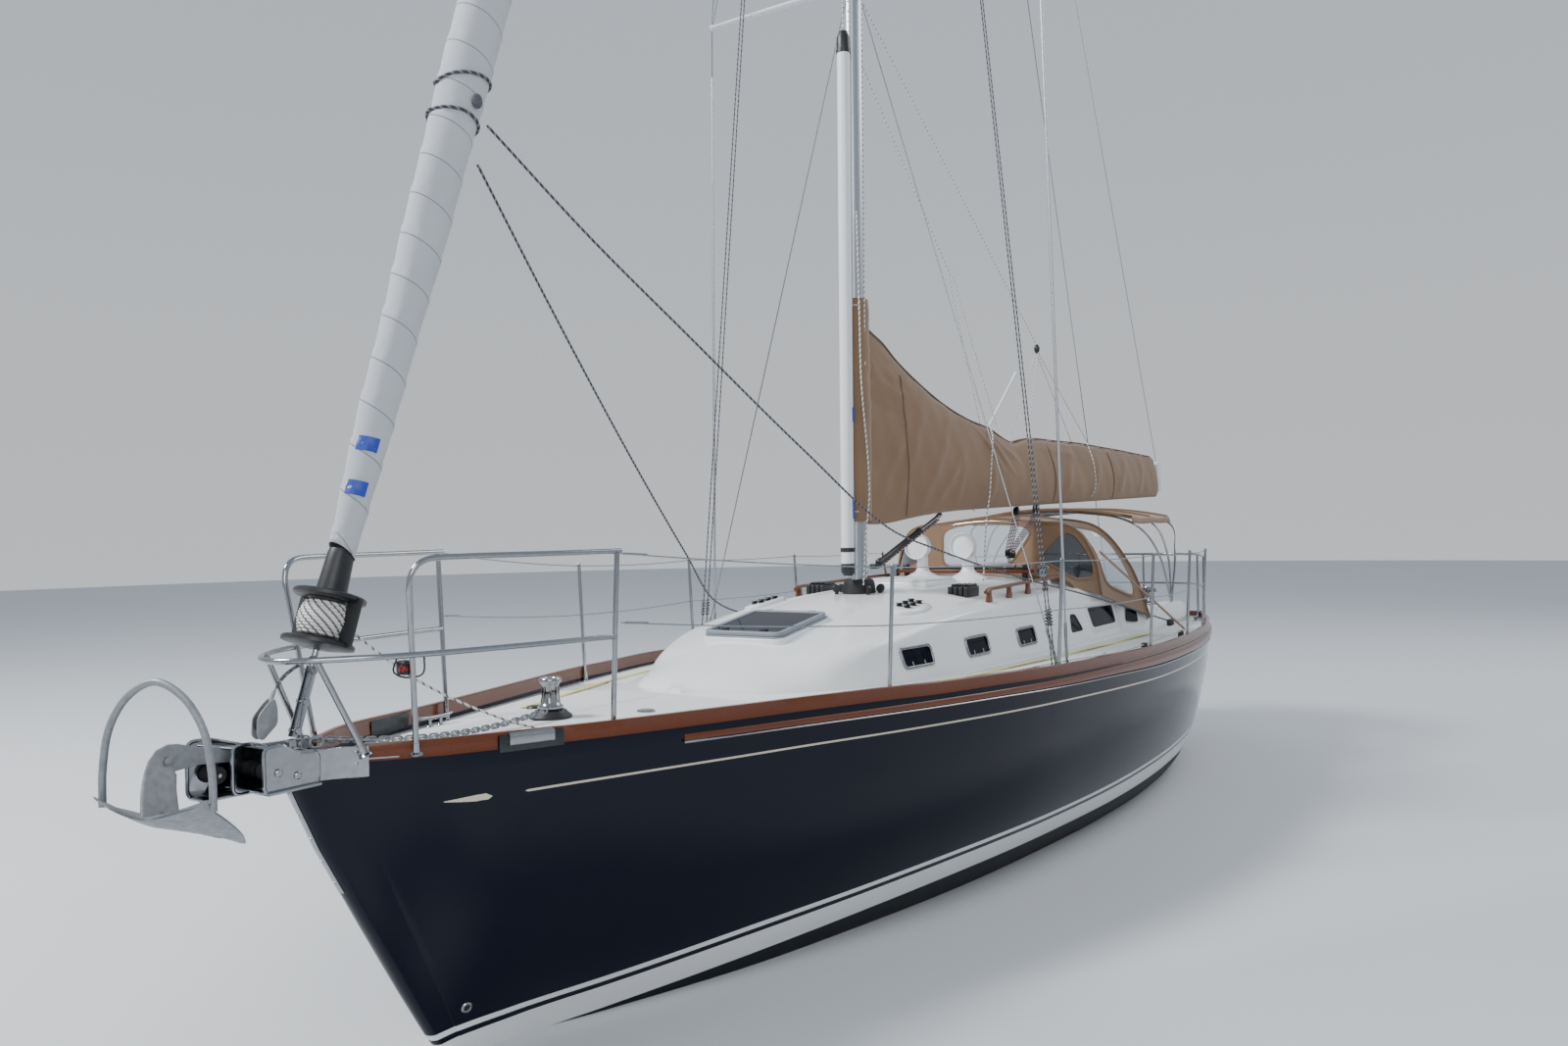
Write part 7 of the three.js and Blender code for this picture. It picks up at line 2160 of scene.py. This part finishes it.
        def crown(x, k):
            slack = 0.016 * np.sin(np.pi * np.clip((x + 3.42) / -1.25, 0, 1) * 2)**2 * (1 - k**2 * 0.6)
            return BIMINI_Z + BIMINI_CROWN * (1 - k**2) - slack
        drop = 0.050 * np.clip((np.abs(k) - 0.965) / 0.035, 0, 1)
        y = BIMINI_HALF * np.sign(k) * np.minimum(np.abs(k) / 0.985, 1.0) + 0 * x
        z = crown(x, k) - drop + 0.002 * np.sin(x * 40 + 3 * k)
        points = np.stack([x + 0 * k, y, z], -1)
        top = cloth("bimini_top", closed_up(grid(points)), "canvas", "bimini", thick)
        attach(top, "boat")
        hoops = []
        for a in (-3.42, -4.05, -4.67):
            leg = [(-4.05, 1.035, 1.425), ((a - 4.05) / 2, 1.0, 1.95), (a, 0.88, 2.235)]
            over = [(a, BIMINI_HALF * s, BIMINI_Z + BIMINI_CROWN * (1 - s * s) - 0.0275)
                    for s in (0.8, 0.45, 0, -0.45, -0.8)]
            path = leg + over + [(p, -q, h) for p, q, h in leg[::-1]]
            hoops.append(tube(smooth_path(path, 80), 0.011, 12))
        feet = [turned([(0.028, -0.01), (0.026, 0.006), (0.016, 0.014), (0.014, 0.05)], (-4.05, y, 1.425), sides=18)
                for y in (1.035, -1.035)]
        build("bimini_hoops", [*hoops, *feet], "stainless", node="bimini_frame")
        seams = []
        for a in (-3.36, -3.42, -4.05, -4.67, -4.73):
            s = np.linspace(-0.95, 0.95, 40)
            path = np.column_stack([np.full(40, a), BIMINI_HALF * s / 0.985, crown(a, s) + 0.002])
            seams.append(strip(path, 0.030, 0.004, 0.001, (1, 0, 0.001)))
        build("bimini_seams", seams, "binding")


class YACHT_OT_helm(bpy.types.Operator):
    """Makes the binnacle, the steering wheel and the locker lids."""
    bl_idname = "yacht.helm"
    bl_label = "Helm"
    bl_options = {"REGISTER", "UNDO"}

    def execute(self, context):
        post = turned([(0.110, 0.6004), (0.110, 0.612), (0.100, 0.632), (0.078, 0.652), (0.070, 0.68),
                       (0.066, 0.90), (0.066, 1.30), (0.03, 1.30)], (BINNACLE_X, 0, 0), sides=40)
        box = block((-3.96, -0.11, 1.22), (-3.80, 0.11, 1.40), 0.025, 5)
        dome = turned([(0.095, 1.395), (0.097, 1.405), (0.094, 1.43), (0.078, 1.462), (0.050, 1.483),
                       (0.020, 1.490), (0.002, 1.491)], (BINNACLE_X, 0, 0), sides=36)
        screen = block((-3.968, -0.085, 1.245), (-3.958, 0.085, 1.375), 0.004)
        build("binnacle_post", [post, box], "gelcoat", node="binnacle")
        build("compass_dome", [dome, screen], "smoked")
        guard = bent_path([(-3.80, 0.15, 0.62), (-3.76, 0.15, 1.52), (-3.76, -0.15, 1.52), (-3.80, -0.15, 0.62)],
                          0.12, 10)
        build("binnacle_guard", [tube(guard, 0.0125, 12)], "stainless")
        a = around(96)

        def at(radius, turn):
            y, z = radius * np.cos(turn), WHEEL_Z + radius * np.sin(turn)
            return np.stack([np.full_like(y, WHEEL_X), y, z], -1)
        rim = hoop(at(WHEEL_RADIUS, a), 0.014, 12, AHEAD)
        spokes = [rod(at(0.03, t), at(0.475, t), 0.0085, 0.006) for t in np.arange(6) * np.pi / 3]
        hub = turned([(0.010, -0.030), (0.036, -0.030), (0.040, -0.024), (0.040, 0.010), (0.034, 0.022),
                      (0.020, 0.030), (0.01, 0.031)], (WHEEL_X, 0, WHEEL_Z), (-1, 0, 0), 32)
        build("wheel_rim", [rim, *spokes, hub], "stainless", "helm", node="steering_wheel")
        for name, side, body in (("port", 1, "locker_port"), ("starboard", -1, "locker_starboard")):
            y0, y1 = (0.385, 0.86) if side > 0 else (-0.86, -0.385)
            lid = block((-3.74, y0, 1.0006), (-2.90, y1, 1.030), 0.010, 4)
            pad = [block((a, y0 + 0.03, 1.0295), (a + 0.235, y1 - 0.03, 1.0312), 0.0008, 2)
                   for a in (-3.70, -3.44, -3.18)]
            build(f"locker_{name}_lid", [lid, *numbered(pad, 1)], "gelcoat nonskid", body,
                  node=f"locker_lid_{name}")
        return {"FINISHED"}


class YACHT_OT_running_rigging(bpy.types.Operator):
    """Makes the halyards, the lazy jacks, the sheets, the furling line and the jackline."""
    bl_idname = "yacht.running_rigging"
    bl_label = "Running rigging"
    bl_options = {"REGISTER", "UNDO"}

    def execute(self, context):
        radius = context.scene.yacht_sizes.rope
        port = smooth_path([(4.346, 0.034, 4.277), (3.756, 0.141, 3.843), (3.09, 0.262, 3.402),
                            (2.135, 0.436, 2.777), (1.284, 0.59, 2.269), (0.803, 0.70, 2.120),
                            (-0.069, 0.90, 1.900), (-1.169, 1.10, 1.690), (-2.62, 1.40, 1.365)], 90)
        starboard = smooth_path([(4.306, -0.081, 4.118), (3.606, -0.29, 3.557), (2.616, -0.584, 2.801),
                                 (1.65, -0.871, 2.118), (1.07, -1.043, 1.740), (-0.2, -1.22, 1.52),
                                 (-2.62, -1.40, 1.365)], 90)
        build("headsail_sheets", [tube(port, radius * 1.1, 8), tube(starboard, radius * 1.1, 8)], "dark_rope")
        leads = []
        for side in (1, -1):
            leads.append(block((-2.68, side * 1.40 - 0.02, 1.325), (-2.56, side * 1.40 + 0.02, 1.385), 0.010))
        build("sheet_leads", leads, "black")
        self.halyards(radius)
        self.lazy_jacks(radius)
        self.deck_lines(radius)
        self.snatch_block()
        return {"FINISHED"}

    def halyards(self, radius):
        """Halyards down the mast, and one laid over the front of the sail cover."""
        foot = mast_x(1.9)
        lines = []
        for dx, dy, high in ((0.02, 0.075, 16.2), (-0.03, -0.074, 16.2), (0.05, -0.070, 15.6)):
            z = np.linspace(1.90, high, 40)
            lines.append(tube(np.column_stack([mast_x(z) + dx, dy * np.interp(z, [14.5, MAST_HEAD], [1.0, 0.75]),
                                               z]), radius * 0.8, 6))
        lines.append(tube(smooth_path([
            (0.79, 0.098, 4.6), (0.78, 0.100, 3.84), (0.775, 0.101, 3.39), (0.70, 0.110, 2.52),
            (0.755, 0.105, 2.23), (foot + 0.10, 0.09, 1.86)], 60), radius, 8))
        build("halyards", lines, "white_rope")

    def lazy_jacks(self, radius):
        """Lazy jacks from the mast to both sides of the boom, with their blocks and the strap
        that holds the cover up; the topping lift runs from the masthead to the boom's end."""
        def at(rows):
            return swung({"co": np.array([(-r, y, z) for r, y, z in rows], float)})["co"]
        runs = []
        for side in (1, -1):
            runs.append(at([(1.12, 0.02 * side, 4.345), (1.64, 0.08 * side, 3.115)]))
            if side < 0:
                runs.append(smooth_path(at([
                    (1.64, 0.08 * side, 3.115), (1.60, 0.176 * side, 2.95), (1.56, 0.190 * side, 2.70),
                    (1.52, 0.176 * side, 2.46), (1.50, 0.06 * side, 2.40)]), 30))
            for r, z in ((2.12, 3.06), (3.16, 3.05)):
                runs.append(at([(2.442, 0.01 * side, 3.83), (r, (0.09 if r < 3 else 0.08) * side, z)]))
            runs.append(smooth_path(at([
                (3.16, 0.08 * side, 3.05), (3.16, 0.158 * side, 2.80), (3.16, 0.148 * side, 2.56),
                (3.16, 0.05 * side, 2.48)]), 24))
        lines = [tube(run, radius * 0.75, 6) for run in runs]
        tail_foot = np.array([-0.65, 0.42, 1.80])
        tail = smooth_path([(-1.07, 0.31, 3.14), (-0.92, 0.412, 3.03), (-0.80, 0.449, 2.80), (-0.76, 0.446, 2.545),
                            (-0.72, 0.432, 2.35), (-0.695, 0.42, 2.09), tuple(tail_foot)], 50)
        hanging = build("lazy_jack_tail", [tube(tail, radius, 8)], "white_rope", None)
        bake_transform(hanging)
        block_at = at([(2.442, 0, 3.86)])[0]
        foot, top = at([(1.64, 0.0, 3.115), (2.093, 0.0, 3.619)])
        strut = turned([(0.008, 0.0), (0.0135, 0.02), (0.0135, 0.64), (0.017, 0.645), (0.017, 0.672),
                        (0.010, 0.678)],
                       foot, top - foot, 16)
        end = at([(4.74, 0, boom_low(4.74) + 0.33)])[0]
        build("lazy_jacks", lines, "white_rope", "boom_body")
        block_skin = ball(block_at, 0.036, (0.7, 0.7, 1.2), 16)
        build("lazy_jack_blocks", [block_skin, (strut, 1)], "black painted_alloy", "boom_body")
        mast = np.array([mast_x(6.3) - 0.09, 0.0, 6.30])
        ups = [tube(np.linspace(block_at + [0, 0, 0.03], mast, 20), radius * 0.6, 6)]
        ups += [tube(np.linspace(at([(1.12, 0.0, 4.345)])[0], mast + [0, 0, -0.5], 20), radius * 0.6, 6)]
        falls = build("lazy_jack_falls", ups, "white_rope", None)
        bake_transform(falls)
        head = np.array([mast_x(MAST_HEAD) - 0.14, 0.0, 16.42])
        lift = build("topping_lift", [tube(np.linspace(end, head, 40), 0.0035, 6)], "steel_wire", None)
        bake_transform(lift)

    def deck_lines(self, radius):
        """Furling line along the port rail, through a block near the bow, and the webbing
        jackline laid along both side decks."""
        x = np.linspace(4.4, -2.5, 60)
        y = deck_half(x) - 0.115
        z = deck_z(x, y) + 0.060 + 0.010 * np.sin(x * 2.4)
        lead = smooth_path([tuple(stay_point(0.50) + [-0.02, 0.085, -0.02]), (4.95, 0.20, 1.66), (4.62, 0.37, 1.46),
                            (4.45, deck_half(4.45) - 0.115, 1.395)], 24)
        furl = tube(np.concatenate([lead[:-1], np.column_stack([x, y, z])]), radius * 0.9, 6)
        build("furling_line", [furl], "white_rope")
        guides = []
        for a in (4.42, 2.36, 0.9, -1.15, -2.46):
            edge, z = deck_half(a), deck_z(a, deck_half(a) - 0.11)
            guides.append(block((a - 0.03, edge - 0.135, z - 0.004), (a + 0.03, edge - 0.095, z + 0.070), 0.008))
        build("line_guides", guides, "black")
        x = np.linspace(3.75, -2.6, 110)
        y = np.interp(x, [-2.6, -1.0, 0.15, 1.37, 1.99, 2.49, 3.0, 3.75],
                      [1.23, 1.22, 1.18, 1.10, 1.00, 0.86, 0.66, 0.40])
        band = strip(np.column_stack([x, y, deck_z(x, y) + 0.008 + 0.005 * np.sin(x * 5)]), 0.034, 0.004, 0.001, UP)
        build("jacklines", both([band]), "yellow_web")

    def snatch_block(self):
        """Grey snatch block that hangs by a cord ahead of the forestay's foot."""
        middle = np.array([5.60, 0.045, 1.580])
        way = unit(np.array([-0.42, 0.0, 1.0]))
        across = np.array([0.0, 1.0, 0.0])
        ahead = unit(np.cross(across, way))
        outline = rounded_ring(np.array([(-0.052, 0.0), (-0.030, 0.055), (0.0, 0.095), (0.022, 0.060), (0.044, 0.0),
                                         (0.020, -0.070), (-0.012, -0.080)]), 0.018, 4)
        plates = []
        for low, high in ((-0.020, -0.014), (0.014, 0.020)):
            rows = [middle + across * d + outline[:, :1] * k * ahead + outline[:, 1:] * k * way
                    for d, k in ((low, 0.97), (low + 0.001, 1.0), (high - 0.001, 1.0), (high, 0.97))]
            plates.append(solid(np.stack(rows)))
        wheel = turned([(0.006, -0.012), (0.034, -0.012), (0.026, 0.0), (0.034, 0.012), (0.006, 0.012)],
                       middle - way * 0.012, across, 24)
        ring = rod(middle + way * 0.075, middle + way * 0.12, 0.008, sides=10)
        build("snatch_block", [*plates, ring, (wheel, 1)], "galvanised black")
        cords = [tube(smooth_path([tuple(middle + way * 0.115), (5.50, 0.03 + d, 1.74),
                                   tuple(stay_point(0.345) + [0, d, 0])], 12), 0.004, 6) for d in (-0.008, 0.008)]
        build("snatch_cord", cords, "dark_rope")


class YACHT_PT_panel(bpy.types.Panel):
    """Lists the sizes, the colours and the pieces in the sidebar."""
    bl_idname = "YACHT_PT_panel"
    bl_label = "Yacht"
    bl_space_type = "VIEW_3D"
    bl_region_type = "UI"
    bl_category = "Yacht"

    def draw(self, context):
        for group in (context.scene.yacht_sizes, context.scene.yacht_colours, context.scene.yacht_stage):
            box = self.layout.box()
            for key in group.__annotations__:
                box.prop(group, key)
        for operator in OPERATORS:
            self.layout.operator(operator.bl_idname)


GROUPS = (("yacht_sizes", YachtSizes), ("yacht_colours", YachtColours), ("yacht_stage", YachtStage))
OPERATORS = (
    YACHT_OT_finishes, YACHT_OT_hull, YACHT_OT_rail, YACHT_OT_coachroof, YACHT_OT_hatches, YACHT_OT_underwater,
    YACHT_OT_bow, YACHT_OT_windlass, YACHT_OT_guardrails, YACHT_OT_headsail, YACHT_OT_mast,
    YACHT_OT_rigging, YACHT_OT_boom, YACHT_OT_cover, YACHT_OT_deck_fittings, YACHT_OT_shelter, YACHT_OT_helm,
    YACHT_OT_running_rigging, YACHT_OT_stage)


def register():
    """Registers the classes and hangs the property groups on the scene."""
    for made in [group for _, group in GROUPS] + [*OPERATORS, YACHT_PT_panel]:
        bpy.utils.register_class(made)
    for key, group in GROUPS:
        setattr(bpy.types.Scene, key, bpy.props.PointerProperty(type=group))


def unregister():
    """Takes the property groups and the classes away again."""
    for key, _ in GROUPS:
        delattr(bpy.types.Scene, key)
    for made in [YACHT_PT_panel, *reversed(OPERATORS)] + [group for _, group in GROUPS]:
        bpy.utils.unregister_class(made)


def main():
    """Makes the yacht and its stage."""
    register()
    for operator in OPERATORS:
        getattr(bpy.ops.yacht, operator.bl_idname.split(".")[1])()


if __name__ == "__main__":
    main()
